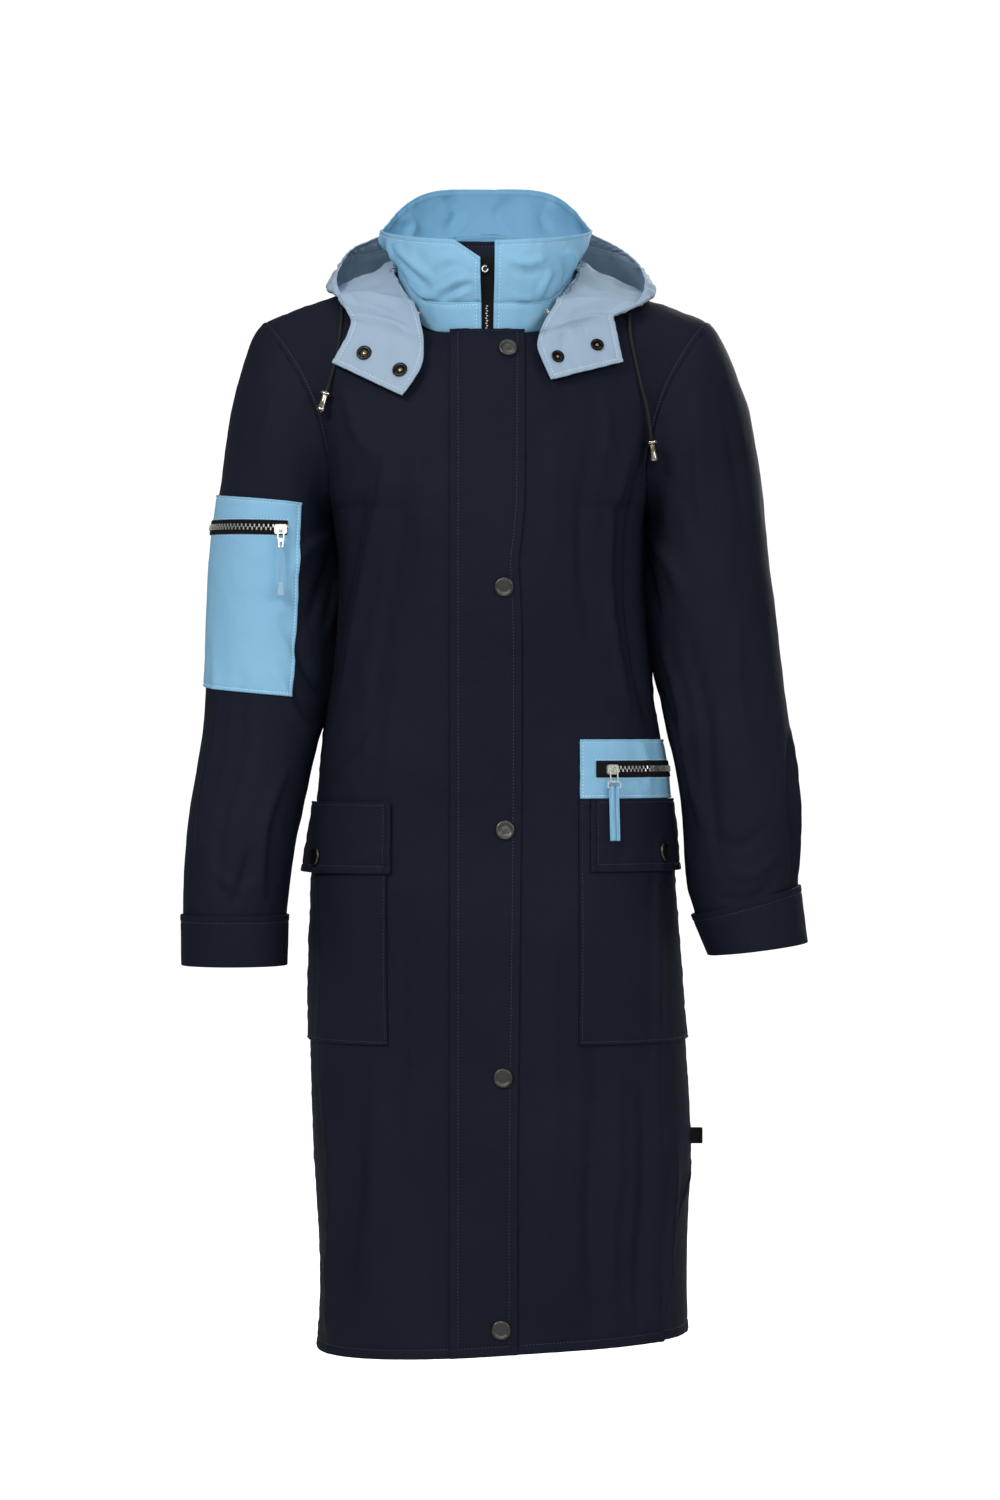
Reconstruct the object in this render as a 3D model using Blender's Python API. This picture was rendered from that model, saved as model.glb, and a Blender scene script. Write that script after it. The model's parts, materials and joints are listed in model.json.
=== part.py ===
"""A hooded raincoat, standing open as it is worn, with nobody in it.

Metres, +Z up. The coat faces -Y and the wearer's left is at +X. The origin is
between the two shoulder points of the neck, where the wearer carries the coat.
Every cloth piece is a closed wall, worked out from the ring tables and the
named sizes below. Angles round the coat run from 0 at the middle of the front
through 90 at the wearer's left side to 180 at the middle of the back.
"""

import math
from collections import namedtuple

import bmesh
import bpy
from mathutils import Matrix, Vector
from mathutils.bvhtree import BVHTree

# ------------------------------------------------------------------ cloth
CLOTH = 0.0015  # one wall of cloth
GAP = 0.0003  # between neighbouring pieces
HALF_GAP = GAP / 2
SEAM_ANGLE = 0.06  # half a seam gap, in degrees round the coat
RIGHT, LEFT = -1, 1  # the wearer's sides, as signs of X

# ------------------------------------------------------------------ body
# Half widths to the wearer's right and left, and depths to front and back.
Ring = namedtuple("Ring", "z right left front back")
BODY_RINGS = [
    Ring(-1.090, 0.1700, 0.2020, 0.135, 0.140),
    Ring(-0.994, 0.1670, 0.2000, 0.134, 0.139),
    Ring(-0.874, 0.1730, 0.2040, 0.131, 0.135),
    Ring(-0.774, 0.1760, 0.1980, 0.127, 0.130),
    Ring(-0.714, 0.1770, 0.1930, 0.125, 0.126),
    Ring(-0.614, 0.1740, 0.1850, 0.120, 0.118),
    Ring(-0.554, 0.1710, 0.1830, 0.116, 0.112),
    Ring(-0.494, 0.1665, 0.1770, 0.113, 0.107),
    Ring(-0.454, 0.1610, 0.1700, 0.112, 0.105),
    Ring(-0.400, 0.1520, 0.1620, 0.114, 0.106),
    Ring(-0.340, 0.1465, 0.1560, 0.120, 0.110),
    Ring(-0.300, 0.1465, 0.1550, 0.124, 0.113),
    Ring(-0.245, 0.1550, 0.1580, 0.125, 0.115),
]
SQUARENESS = 2.4  # 2 would be an oval
UNDERARM_Z = -0.245
HEM_Z = -1.070
HEM_TILT = 0.008  # the hem hangs this much lower at the wearer's right

NECK_HALF = 0.088
NECK_FRONT_Y = -0.085
NECK_BACK_Y = 0.075
NECK_FRONT_Z = -0.075
NECK_SIDE_Z = -0.018
NECK_BACK_Z = 0.012
NECK_SHARE = 1 / 2  # share of a quarter's width that lies under the neck seam
NECK_ANGLE = 90 * NECK_SHARE  # angle round the coat below the neck's side point

SHOULDER_TIP = {RIGHT: Vector((-0.226, 0.005, -0.058)), LEFT: Vector((0.224, 0.005, -0.058))}
SHOULDER_CROWN = 0.006  # how far the shoulder line bows up between its ends
ARMHOLE_HALF_DEPTH = 0.068
ARMHOLE_HOLLOW = 0.022  # the seam runs in over the chest by this much

NECK_COLUMNS = 6  # for a quarter of the way round, under the neck seam
SHOULDER_COLUMNS = 6  # and under the shoulder seam
HEM_TO_UNDERARM_ROWS = 14
ARMHOLE_ROWS = 10
SHOULDER_ROUNDNESS = 0.7  # 0.5 would bring the chest level with the neck seam

FRONT_EDGE = {RIGHT: 1.8, LEFT: 2.3}  # each front stops short of the zip's teeth, degrees
# The wearer's left side seam is open from the label down: the front's edge
# swings forward and the back runs on underneath it.
Vent = namedtuple("Vent", "z front_angle")
LEFT_VENT = [
    Vent(-1.090, 64.0),
    Vent(-1.040, 65.0),
    Vent(-0.986, 67.5),
    Vent(-0.938, 72.0),
    Vent(-0.900, 82.5),
    Vent(-0.850, 90.0),
    Vent(-0.200, 90.0),
]
VENT_FREE = 83.0  # the back runs on under the front where the front's edge is past this
VENT_UNDERLAP = 9.0  # degrees that the back runs on past the front's edge
VENT_INSET = 0.0045  # how far inside the front it lies

# ------------------------------------------------------------------ sleeves
# A section of a sleeve: its outer and inner point seen from the front, its
# half depth and how far its centre lies behind or before the shoulder line.
Section = namedtuple("Section", "share outer_x outer_z inner_x inner_z half_depth centre_y")
SLEEVES = {
    RIGHT: [
        Section(0, 0.2260, -0.0580, 0.1550, -0.2450, 0.068, 0.005),
        Section(1, 0.2340, -0.0700, 0.1556, -0.2510, 0.069, 0.005),
        Section(2, 0.2410, -0.0900, 0.1558, -0.2580, 0.070, 0.005),
        Section(3, 0.2485, -0.1150, 0.1556, -0.2660, 0.071, 0.005),
        Section(4, 0.2555, -0.1450, 0.1552, -0.2750, 0.071, 0.004),
        Section(5, 0.2610, -0.1800, 0.1545, -0.2860, 0.070, 0.003),
        Section(6, 0.2670, -0.2250, 0.1535, -0.3010, 0.069, 0.002),
        Section(7, 0.2745, -0.2800, 0.1520, -0.3230, 0.067, 0.000),
        Section(8, 0.2780, -0.3400, 0.1520, -0.3560, 0.065, -0.002),
        Section(9, 0.2800, -0.4000, 0.1550, -0.4080, 0.063, -0.005),
        Section(10, 0.2825, -0.4600, 0.1660, -0.4640, 0.061, -0.009),
        Section(11, 0.2880, -0.5000, 0.1745, -0.5030, 0.059, -0.013),
        Section(12, 0.2955, -0.5500, 0.1845, -0.5510, 0.057, -0.018),
        Section(13, 0.2995, -0.6000, 0.1935, -0.6010, 0.054, -0.023),
        Section(14, 0.3010, -0.6560, 0.1998, -0.6570, 0.052, -0.028),
    ],
    LEFT: [
        Section(0, 0.2240, -0.0580, 0.1580, -0.2450, 0.068, 0.005),
        Section(1, 0.2320, -0.0700, 0.1592, -0.2510, 0.069, 0.005),
        Section(2, 0.2415, -0.0900, 0.1600, -0.2580, 0.070, 0.005),
        Section(3, 0.2515, -0.1150, 0.1604, -0.2660, 0.071, 0.005),
        Section(4, 0.2615, -0.1450, 0.1606, -0.2750, 0.071, 0.004),
        Section(5, 0.2680, -0.1800, 0.1608, -0.2860, 0.070, 0.003),
        Section(6, 0.2750, -0.2250, 0.1610, -0.3010, 0.069, 0.002),
        Section(7, 0.2805, -0.2800, 0.1612, -0.3230, 0.067, 0.000),
        Section(8, 0.2880, -0.3400, 0.1620, -0.3560, 0.065, -0.002),
        Section(9, 0.2945, -0.4000, 0.1690, -0.4080, 0.063, -0.005),
        Section(10, 0.3020, -0.4600, 0.1790, -0.4640, 0.061, -0.009),
        Section(11, 0.3075, -0.5000, 0.1885, -0.5030, 0.059, -0.013),
        Section(12, 0.3110, -0.5500, 0.1955, -0.5550, 0.057, -0.018),
        Section(13, 0.3105, -0.5950, 0.1985, -0.6100, 0.054, -0.023),
        Section(14, 0.3080, -0.6330, 0.2105, -0.6600, 0.052, -0.028),
    ],
}
CUFFS = {
    RIGHT: [
        Section(0, 0.3030, -0.6966, 0.1980, -0.6966, 0.054, -0.030),
        Section(1, 0.3036, -0.6475, 0.1966, -0.6475, 0.056, -0.027),
    ],
    LEFT: [
        Section(0, 0.3185, -0.6740, 0.2195, -0.6870, 0.054, -0.030),
        Section(1, 0.3115, -0.6180, 0.2030, -0.6480, 0.056, -0.027),
    ],
}
SLEEVE_BLEND = 3  # sections over which the armhole's curve becomes an oval

# ------------------------------------------------------------------ collar
STAND_HEIGHT = 0.029
STAND_LEAN = 0.004
RIM_HALF = 0.105
RIM_FRONT_Y = -0.100
RIM_BACK_Y = 0.100
RIM_FRONT_Z = 0.013
RIM_SIDE_Z = 0.036
RIM_BACK_Z = 0.090
COLLAR_BULGE = 0.004
POINT_CUT = 0.021  # the right end's top corner is cut away by this much
POINT_WIDTH = 0.032

# ------------------------------------------------------------------ hood
# The hood lies open. Each tab hangs on the chest: a row is a line across it,
# from its inner to its outer edge, in x outwards from the middle and z.
Strip = namedtuple("Strip", "place inner_x inner_z outer_x outer_z lift")
TABS = {
    RIGHT: [
        Strip(0, 0.0805, -0.1415, 0.1465, -0.1075, 0.010),
        Strip(1, 0.0690, -0.1250, 0.1395, -0.0945, 0.010),
        Strip(2, 0.0622, -0.1105, 0.1328, -0.0805, 0.010),
        Strip(3, 0.0618, -0.0930, 0.1302, -0.0670, 0.009),
    ],
    LEFT: [
        Strip(0, 0.0620, -0.1275, 0.1293, -0.1080, 0.010),
        Strip(1, 0.0515, -0.1060, 0.1270, -0.0960, 0.010),
        Strip(2, 0.0478, -0.0950, 0.1252, -0.0850, 0.010),
        Strip(3, 0.0500, -0.0840, 0.1233, -0.0710, 0.010),
    ],
}
# Above the tabs a row is a fold of the hood from the neck out to its edge.
# sag lowers it beside the neck; drop and bulge shape its outer side.
Fold = namedtuple(
    "Fold", "place inner_x inner_y inner_z edge_x edge_y edge_z sag drop bulge"
)
FOLDS = {
    RIGHT: [
        Fold(4, 0.0632, -0.0960, -0.0740, 0.1378, -0.0680, -0.0530, -0.004, 0.004, -0.010),
        Fold(5, 0.0705, -0.0700, -0.0480, 0.1455, -0.0400, -0.0330, -0.006, 0.012, 0.012),
        Fold(6, 0.0850, -0.0500, -0.0310, 0.1500, -0.0120, -0.0140, -0.004, 0.026, 0.030),
        Fold(7, 0.0985, -0.0250, -0.0080, 0.1480, 0.0220, 0.0040, 0.006, 0.050, 0.034),
        Fold(8, 0.1010, 0.0080, 0.0040, 0.1390, 0.0580, 0.0230, 0.030, 0.080, 0.034),
    ],
    LEFT: [
        Fold(4, 0.0545, -0.0950, -0.0700, 0.1250, -0.0760, -0.0560, -0.004, 0.004, -0.010),
        Fold(5, 0.0680, -0.0720, -0.0450, 0.1460, -0.0560, -0.0440, -0.006, 0.010, 0.010),
        Fold(6, 0.0825, -0.0500, -0.0290, 0.1560, -0.0200, -0.0260, -0.004, 0.020, 0.030),
        Fold(7, 0.0945, -0.0250, -0.0080, 0.1560, 0.0180, -0.0040, 0.006, 0.044, 0.036),
        Fold(8, 0.1000, 0.0080, 0.0040, 0.1440, 0.0560, 0.0170, 0.030, 0.076, 0.036),
    ],
}
# Behind the neck it hangs as a pouch, the same on both sides.
POUCH_FOLDS = [
    Fold(9, 0.0800, 0.0420, 0.0060, 0.1230, 0.0950, 0.0360, 0.110, 0.160, 0.034),
    Fold(10, 0.0620, 0.0600, 0.0140, 0.0850, 0.1400, 0.0560, 0.230, 0.290, 0.040),
    Fold(11, 0.0330, 0.0760, 0.0180, 0.0440, 0.1650, 0.0520, 0.320, 0.370, 0.044),
    Fold(12, 0.0000, 0.0820, 0.0200, 0.0000, 0.1740, 0.0480, 0.350, 0.400, 0.046),
]
HOOD_CLEARANCE = 0.0055  # from the coat and the collar to the hood's upper face
SEWN_FROM = 7  # from this place on the hood's inner edge lies against the stand
SEWN_CLEARANCE = 0.0023
HOOD_SEAM_PLACE = 10.5  # where a side of the hood meets its middle panel
HOOD_ROWS = 2  # rows for each step of place
HOOD_COLUMNS = 14

# ------------------------------------------------------------------ front opening
PLACKET_LEFT_X = -0.035
PLACKET_TOP_Z = -0.0715
Edge = namedtuple("Edge", "z x")
PLACKET_EDGE = [  # its free edge, which waves in between the snaps
    Edge(-1.090, 0.0294),
    Edge(-0.919, 0.0294),
    Edge(-0.8035, 0.0304),
    Edge(-0.630, 0.0324),
    Edge(-0.494, 0.0334),
    Edge(-0.377, 0.0334),
    Edge(-0.326, 0.0319),
    Edge(-0.304, 0.0300),
    Edge(-0.276, 0.0334),
    Edge(-0.242, 0.0363),
    Edge(-0.089, 0.0364),
    Edge(-0.070, 0.0355),
]
TAPE_HALF = 0.0105
TAPE_THICKNESS = 0.001
TAPE_DEPTH = 0.0021
TAPE_ENDS = (-1.020, 1.7)  # height of the foot, and the part of the collar at the top
WIND_FLAP_X = (-0.045, 0.013)
WIND_FLAP_DEPTH = 0.0036
WIND_FLAP_ENDS = (-1.040, 1.98)

# ------------------------------------------------------------------ pockets
# On the coat: x of the inner edge at the top and bottom, angle of the outer
# edge, heights, and how far the lower outer corner stands away.
Patch = namedtuple("Patch", "top_x bottom_x outer_angle top_z bottom_z flare")
POCKETS = {
    RIGHT: Patch(-0.0970, -0.0958, -88.0, -0.5356, -0.7706, 0),
    LEFT: Patch(0.0899, 0.0899, 88.0, -0.5327, -0.7703, 0),
}
FLAPS = {
    RIGHT: Patch(-0.0932, -0.0932, -88.5, -0.5356, -0.6047, 0.008),
    LEFT: Patch(0.1007, 0.1007, 88.5, -0.5327, -0.6027, 0.004),
}
WAIST_PATCH = Patch(0.0910, 0.0910, 87.5, -0.4743, -0.5312, 0)
WAIST_TAPE = Patch(0.1062, 0.1062, 87.0, -0.4953, -0.5103, 0)
ON_COAT = GAP  # lift of a piece's inner face
ON_PATCH = 2 * GAP + CLOTH

# On the right sleeve: turns and heights at its inner (front) and outer edges.
SleevePatch = namedtuple("SleevePatch", "first_turn last_turn first_z last_z height")
SLEEVE_PATCH = SleevePatch(116, -18, -0.2410, -0.2280, 0.190)
SLEEVE_TAPE = SleevePatch(103, -17, -0.2590, -0.2555, 0.013)

# ------------------------------------------------------------------ trims
Snap = namedtuple("Snap", "x z diameter height")
PLACKET_SNAPS = [
    Snap(0.0208, -0.0925, 0.019, 0.0025),
    Snap(0.0169, -0.3259, 0.019, 0.0025),
    Snap(0.0179, -0.5617, 0.019, 0.0025),
    Snap(0.0159, -0.8015, 0.019, 0.0025),
    Snap(0.0140, -1.0445, 0.019, 0.0025),
]
FLAP_SNAPS = {RIGHT: Snap(-0.1695, -0.5891, 0.019, 0.0025), LEFT: Snap(0.1750, -0.5838, 0.019, 0.0025)}
HOOD_SOCKETS = {
    RIGHT: [Snap(-0.1196, -0.0965, 0.015, 0.0020), Snap(-0.0842, -0.1145, 0.015, 0.0020)],
    LEFT: [Snap(0.1078, -0.0887, 0.013, 0.0020), Snap(0.0691, -0.1013, 0.013, 0.0020)],
}
COLLAR_STUDS = {RIGHT: Snap(-0.0670, -0.0536, 0.009, 0.003), LEFT: Snap(0.0613, -0.0536, 0.009, 0.003)}
SEAT = 0.0006  # under a snap, so that its flat foot clears the curved cloth
DOME = [(1.0, 0.0), (1.0, 0.35), (0.85, 0.8), (0.5, 0.97), (0.2, 1.0)]  # radius, height
STUD = [(1.0, 0.0), (1.0, 0.3), (0.55, 0.45), (0.55, 0.7), (0.75, 0.85), (0.6, 1.0)]

# The slider of a pocket's zip lies across its tape. Its arch stands on it, and
# the pull's ring hangs through the arch.
SLIDER_LENGTH = 0.0125
SLIDER_WIDTH = 0.0095
SLIDER_HEIGHT = 0.003
ARCH_WIDTH = 0.0024
ARCH_OUTER = [(-2.6, -0.4), (-2.6, 2.6), (-1.4, 3.8), (1.4, 3.8), (2.6, 2.6), (2.6, -0.4)]
ARCH_INNER = [(1.6, -0.4), (1.6, 2.0), (1.0, 2.8), (-1.0, 2.8), (-1.6, 2.0), (-1.6, -0.4)]
PULL_LIFT = 0.0014  # from the slider's face to the pull's axis
PULL_SWING = 2.0  # degrees that a pull hangs off the cloth
WIRE = 0.0012
WAIST_SLIDER = (0.1205, -0.5031)  # x and z
SLEEVE_SLIDER = (97.0, -0.2670)  # turn and z
MAIN_SLIDER = (-0.0016, -0.0150)  # x and z
MAIN_SLIDER_RING = (2.1, 3.4)  # inner and outer radius, in millimetres

# Outlines in millimetres. A pull is drawn along the zip and up from its axis,
# a soft loop up and out.
PULL_OUTLINE = [
    (-3.9, 0.6), (3.9, 0.6), (4.5, 0.0), (4.5, -11.4), (7.2, -12.0), (7.2, -17.9),
    (6.6, -18.5), (-6.6, -18.5), (-7.2, -17.9), (-7.2, -12.0), (-4.5, -11.4), (-4.5, 0.0),
]
RIBBON_OUTLINE = [
    (-70.0, 1.7), (-16.6, 1.7), (-15.8, 0.9), (-15.8, -0.9), (-16.6, -1.7), (-70.0, -1.7),
    (-70.0, -0.9), (-17.0, -0.9), (-16.7, -0.6), (-16.7, 0.6), (-17.0, 0.9), (-70.0, 0.9),
]
SLEEVE_PULL_OUTLINE = [
    (-2.9, 0.6), (2.9, 0.6), (3.5, 0.0), (3.5, -9.0), (2.6, -11.0), (2.6, -17.4),
    (2.0, -18.0), (-2.0, -18.0), (-2.6, -17.4), (-2.6, -11.0), (-3.5, -9.0), (-3.5, 0.0),
]
CORD_LOOP_OUTLINE = [
    (-56.0, 1.9), (-15.6, 1.9), (-14.6, 1.0), (-14.6, -1.0), (-15.6, -1.9), (-56.0, -1.9),
    (-56.0, -0.9), (-16.2, -0.9), (-15.9, -0.6), (-15.9, 0.6), (-16.2, 0.9), (-56.0, 0.9),
]

Label = namedtuple("Label", "y end_x top_z bottom_z thickness")
LABEL = Label(-0.0190, 0.2140, -0.8600, -0.8750, 0.001)

# ------------------------------------------------------------------ cords
CORD = 0.003
Bend = namedtuple("Bend", "x z lift")
CORDS = {
    RIGHT: [
        Bend(-0.1425, -0.0470, 0.0030),
        Bend(-0.1433, -0.0711, 0.0021),
        Bend(-0.1472, -0.1032, 0.0024),
        Bend(-0.1528, -0.1341, 0.0072),
    ],
    LEFT: [
        Bend(0.1395, -0.0560, 0.0040),
        Bend(0.1405, -0.0776, 0.0024),
        Bend(0.1451, -0.1034, 0.0021),
        Bend(0.1498, -0.1286, 0.0030),
        Bend(0.1534, -0.1519, 0.0060),
        Bend(0.1548, -0.1789, 0.0080),
    ],
}
CORD_END = [  # radius and distance along, from the cord downwards
    (0.0032, 0.0000),
    (0.0060, 0.0010),
    (0.0062, 0.0030),
    (0.0034, 0.0042),
    (0.0030, 0.0085),
    (0.0038, 0.0135),
    (0.0047, 0.0180),
    (0.0042, 0.0200),
]

# ------------------------------------------------------------------ colours
Finish = namedtuple("Finish", "red green blue roughness metallic")
FINISHES = {
    "navy_cloth": Finish(0.012, 0.014, 0.023, 0.75, 0.0),
    "blue_cloth": Finish(0.230, 0.474, 0.658, 0.70, 0.0),
    "hood_cloth": Finish(0.361, 0.474, 0.584, 0.65, 0.0),
    "gunmetal": Finish(0.060, 0.060, 0.050, 0.35, 1.0),
    "bright_metal": Finish(0.600, 0.600, 0.580, 0.25, 1.0),
    "black_cord": Finish(0.006, 0.006, 0.007, 0.80, 0.0),
}


# ------------------------------------------------------------------ helpers
def finish(name):
    """The material of one finish, made once."""
    found = bpy.data.materials.get(name)
    if found:
        return found
    look = FINISHES[name]
    made = bpy.data.materials.new(name)
    made.use_nodes = True
    shader = made.node_tree.nodes["Principled BSDF"]
    shader.inputs["Base Color"].default_value = (look.red, look.green, look.blue, 1)
    shader.inputs["Roughness"].default_value = look.roughness
    shader.inputs["Metallic"].default_value = look.metallic
    return made


def read(rows, name, at):
    """A named column of a table between its rows, on a smooth curve."""
    rows = sorted(rows)
    keys = [row[0] for row in rows]
    values = [getattr(row, name) for row in rows]
    at = min(max(at, keys[0]), keys[-1])
    low = max(i for i in range(len(keys) - 1) if keys[i] <= at)
    span = keys[low + 1] - keys[low]
    f = (at - keys[low]) / span

    def slope(i):
        before, after = max(i - 1, 0), min(i + 1, len(keys) - 1)
        return (values[after] - values[before]) / (keys[after] - keys[before])

    start = f - 2 * f**2 + f**3
    end = f**3 - f**2
    step = f**2 * (3 - 2 * f)
    curve = span * (slope(low) * start + slope(low + 1) * end)
    return values[low] + (values[low + 1] - values[low]) * step + curve


def spaced(start, end, steps):
    """Evenly spaced values from start to end, both included."""
    return [start + (end - start) * i / steps for i in range(steps + 1)]


def add(name, mesh, finish_name):
    """Put a finished mesh into the scene as one named piece."""
    mesh.materials.append(finish(finish_name))
    piece = bpy.data.objects.new(name, mesh)
    bpy.context.scene.collection.objects.link(piece)
    return piece


def grid_normals(grid, closed):
    """Outward normals of a grid whose rows rise and run left to right."""
    rows, columns = len(grid), len(grid[0])
    normals = []
    for i in range(rows):
        line = []
        for j in range(columns):
            if closed:
                across = grid[i][(j + 1) % columns] - grid[i][j - 1]
            else:
                across = grid[i][min(j + 1, columns - 1)] - grid[i][max(j - 1, 0)]
            up = grid[min(i + 1, rows - 1)][j] - grid[max(i - 1, 0)][j]
            line.append(across.cross(up).normalized())
        normals.append(line)
    return normals


def wall(name, grid, finish_name, closed=False, thickness=CLOTH, inward=None, normals=None):
    """A closed wall of cloth behind a grid of its outer points.

    Rows rise and run left to right as seen from outside. closed joins the last
    column to the first. inward(i, j, own) may turn the direction in which a
    point of the inner face lies, so that two panels meet in a mitre. Panels
    that are cut from one larger grid bring its normals with them.
    """
    rows, columns = len(grid), len(grid[0])
    normals = normals or grid_normals(grid, closed)
    mesh = bmesh.new()
    outer, inner = [], []
    for i in range(rows):
        outer.append([mesh.verts.new(point) for point in grid[i]])
        line = []
        for j in range(columns):
            own = -normals[i][j]
            turned = inward(i, j, own) if inward else own
            line.append(mesh.verts.new(grid[i][j] + turned * thickness))
        inner.append(line)
    last = columns if closed else columns - 1
    for i in range(rows - 1):
        for j in range(last):
            k = (j + 1) % columns
            mesh.faces.new((outer[i][j], outer[i][k], outer[i + 1][k], outer[i + 1][j]))
            mesh.faces.new((inner[i][j], inner[i + 1][j], inner[i + 1][k], inner[i][k]))
    for j in range(last):
        k = (j + 1) % columns
        mesh.faces.new((outer[0][j], inner[0][j], inner[0][k], outer[0][k]))
        mesh.faces.new((outer[-1][j], outer[-1][k], inner[-1][k], inner[-1][j]))
    if not closed:
        for i in range(rows - 1):
            mesh.faces.new((outer[i][0], outer[i + 1][0], inner[i + 1][0], inner[i][0]))
            mesh.faces.new((outer[i][-1], inner[i][-1], inner[i + 1][-1], outer[i + 1][-1]))
    data = bpy.data.meshes.new(name)
    mesh.to_mesh(data)
    mesh.free()
    return add(name, data, finish_name)


def skin(grids):
    """A search tree over the outer faces of some walls."""
    points, faces = [], []
    for grid in grids:
        first, columns = len(points), len(grid[0])
        points += [point for row in grid for point in row]
        for i in range(len(grid) - 1):
            for j in range(columns - 1):
                low = first + i * columns + j
                high = low + columns
                faces += [(low, low + 1, high + 1), (low, high + 1, high)]
    return BVHTree.FromPolygons(points, faces)


def clear_of(tree, point, distance):
    """The point, moved out if it lies nearer to a skin than a distance, or inside it."""
    place, normal, _, _ = tree.find_nearest(point)
    if (point - place).dot(normal) >= distance:
        return point
    return place + normal * distance


# ------------------------------------------------------------------ body shape
def hem_z(angle):
    return HEM_Z + HEM_TILT * math.sin(math.radians(angle))


def body(angle, z, lift=0.0):
    """A point of the coat's body from the hem to the underarm, moved out by lift."""
    turn = math.radians(angle)
    half = read(BODY_RINGS, "left" if math.sin(turn) > 0 else "right", z)
    deep = read(BODY_RINGS, "front" if math.cos(turn) > 0 else "back", z)
    across = abs(math.sin(turn) / half) ** SQUARENESS
    along = abs(math.cos(turn) / deep) ** SQUARENESS
    radius = (across + along) ** (-1 / SQUARENESS)
    point = Vector((radius * math.sin(turn), -radius * math.cos(turn), z))
    if not lift:
        return point
    step = 0.5
    out = body(angle + step, z) - body(angle - step, z)
    rise = body(angle, z + 0.002) - body(angle, z - 0.002)
    return point + out.cross(rise).normalized() * lift


def neckline(angle):
    """A point of the neck seam."""
    turn = math.radians(angle)
    side, ahead = math.sin(turn), math.cos(turn)
    if ahead > 0:
        z = NECK_SIDE_Z + (NECK_FRONT_Z - NECK_SIDE_Z) * (1 - side**6)
        return Vector((NECK_HALF * side, NECK_FRONT_Y * ahead, z))
    z = NECK_SIDE_Z + (NECK_BACK_Z - NECK_SIDE_Z) * ahead**2
    return Vector((NECK_HALF * side, -NECK_BACK_Y * ahead, z))


def neck_slope(angle):
    """How steeply the neck seam climbs."""
    along = neckline(angle + 1) - neckline(angle - 1)
    return abs(along.z) / along.xy.length


def neck_inward(angle):
    """Where the inner points of the neck seam lie, the same for coat and stand."""
    base = neckline(angle)
    inward = Vector((-base.x, -base.y, 0)).normalized()
    return (inward - Vector((0, 0, neck_slope(angle)))).normalized()


def top_edge(side, front, share):
    """The neck seam and then the shoulder seam, from the middle (0) to the tip (1)."""
    apart = Vector((0, -HALF_GAP if front else HALF_GAP, 0))
    if share <= NECK_SHARE:
        angle = 90 * share / NECK_SHARE
        return neckline(side * (angle if front else 180 - angle)) + apart
    along = (share - NECK_SHARE) / (1 - NECK_SHARE)
    neck, tip = neckline(side * 90), SHOULDER_TIP[side]
    crown = Vector((0, 0, SHOULDER_CROWN * math.sin(math.pi * along)))
    return neck.lerp(tip, along) + crown + apart


def armhole(side, turn):
    """A point of the armhole seam: 0 at the shoulder tip, 90 in front, 180 under the arm."""
    turn = math.radians(turn)
    tip = SHOULDER_TIP[side]
    underarm = body(side * 90, UNDERARM_Z)
    drop = (1 - math.cos(turn)) / 2
    hollow = ARMHOLE_HOLLOW * math.sin(turn) ** 2
    x = tip.x + (underarm.x - tip.x) * drop - side * hollow
    y = tip.y * (1 - drop) - ARMHOLE_HALF_DEPTH * math.sin(turn)
    return Vector((x, y, tip.z + (UNDERARM_Z - tip.z) * drop))


def coat(angle, level, inset=None):
    """A point of the coat's body.

    level runs from 0 at the hem to 1 at the underarm and 2 at the neck and
    shoulder seams. inset(angle, z) may set a point of the skirt further in.
    """
    if level <= 1:
        bottom = hem_z(angle)
        z = bottom + (UNDERARM_Z - bottom) * level
        return body(angle, z, -inset(angle, z) if inset else 0)
    angle = (angle + 180) % 360 - 180
    side = LEFT if angle > 0 else RIGHT
    front = abs(angle) < 90
    share = abs(angle) / 90 if front else (180 - abs(angle)) / 90
    rise = min(level - 1, 1)
    full = 1 - (1 - rise**3) ** SHOULDER_ROUNDNESS
    low, top = body(angle, UNDERARM_Z), top_edge(side, front, share)
    low_end, top_end = body(side * 90, UNDERARM_Z), top_edge(side, front, 1)
    turn = math.degrees(math.acos(2 * rise - 1))
    edge = armhole(side, turn if front else -turn)
    bend = edge - low_end.lerp(top_end, full)
    point = low.lerp(top, full) + bend * share**3
    point.z = low.z + (top.z - low.z) * rise
    return point


def angle_at(x, z):
    """The angle at which the front of the skirt has this x."""
    half = read(BODY_RINGS, "left" if x > 0 else "right", z)
    deep = read(BODY_RINGS, "front", z)
    y = deep * max(1 - abs(x / half) ** SQUARENESS, 0) ** (1 / SQUARENESS)
    return math.degrees(math.atan2(x, y))


def on_coat(x, z, front=True):
    """The point of the coat's front or back that is seen at x and z."""
    side = LEFT if x > 0 else RIGHT
    if z <= UNDERARM_Z:
        half = read(BODY_RINGS, "left" if x > 0 else "right", z)
        deep = read(BODY_RINGS, "front" if front else "back", z)
        y = deep * max(1 - abs(x / half) ** SQUARENESS, 0) ** (1 / SQUARENESS)
        return Vector((x, -y if front else y, z))
    low, high = 0.0, 1.0
    for _ in range(24):
        share = (low + high) / 2
        top = top_edge(side, front, share)
        level = 1 + min((z - UNDERARM_Z) / (top.z - UNDERARM_Z), 1)
        turn = max(share * 90, 0.01)
        point = coat(side * (turn if front else 180 - turn), level)
        if abs(point.x) < abs(x):
            low = share
        else:
            high = share
    return point


def front_point(x, z, lift=0.0):
    """The same point moved out from the cloth by lift."""
    reach = 0.002
    across = on_coat(x + reach, z) - on_coat(x - reach, z)
    up = on_coat(x, z + reach) - on_coat(x, z - reach)
    return on_coat(x, z) + across.cross(up).normalized() * lift


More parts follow.
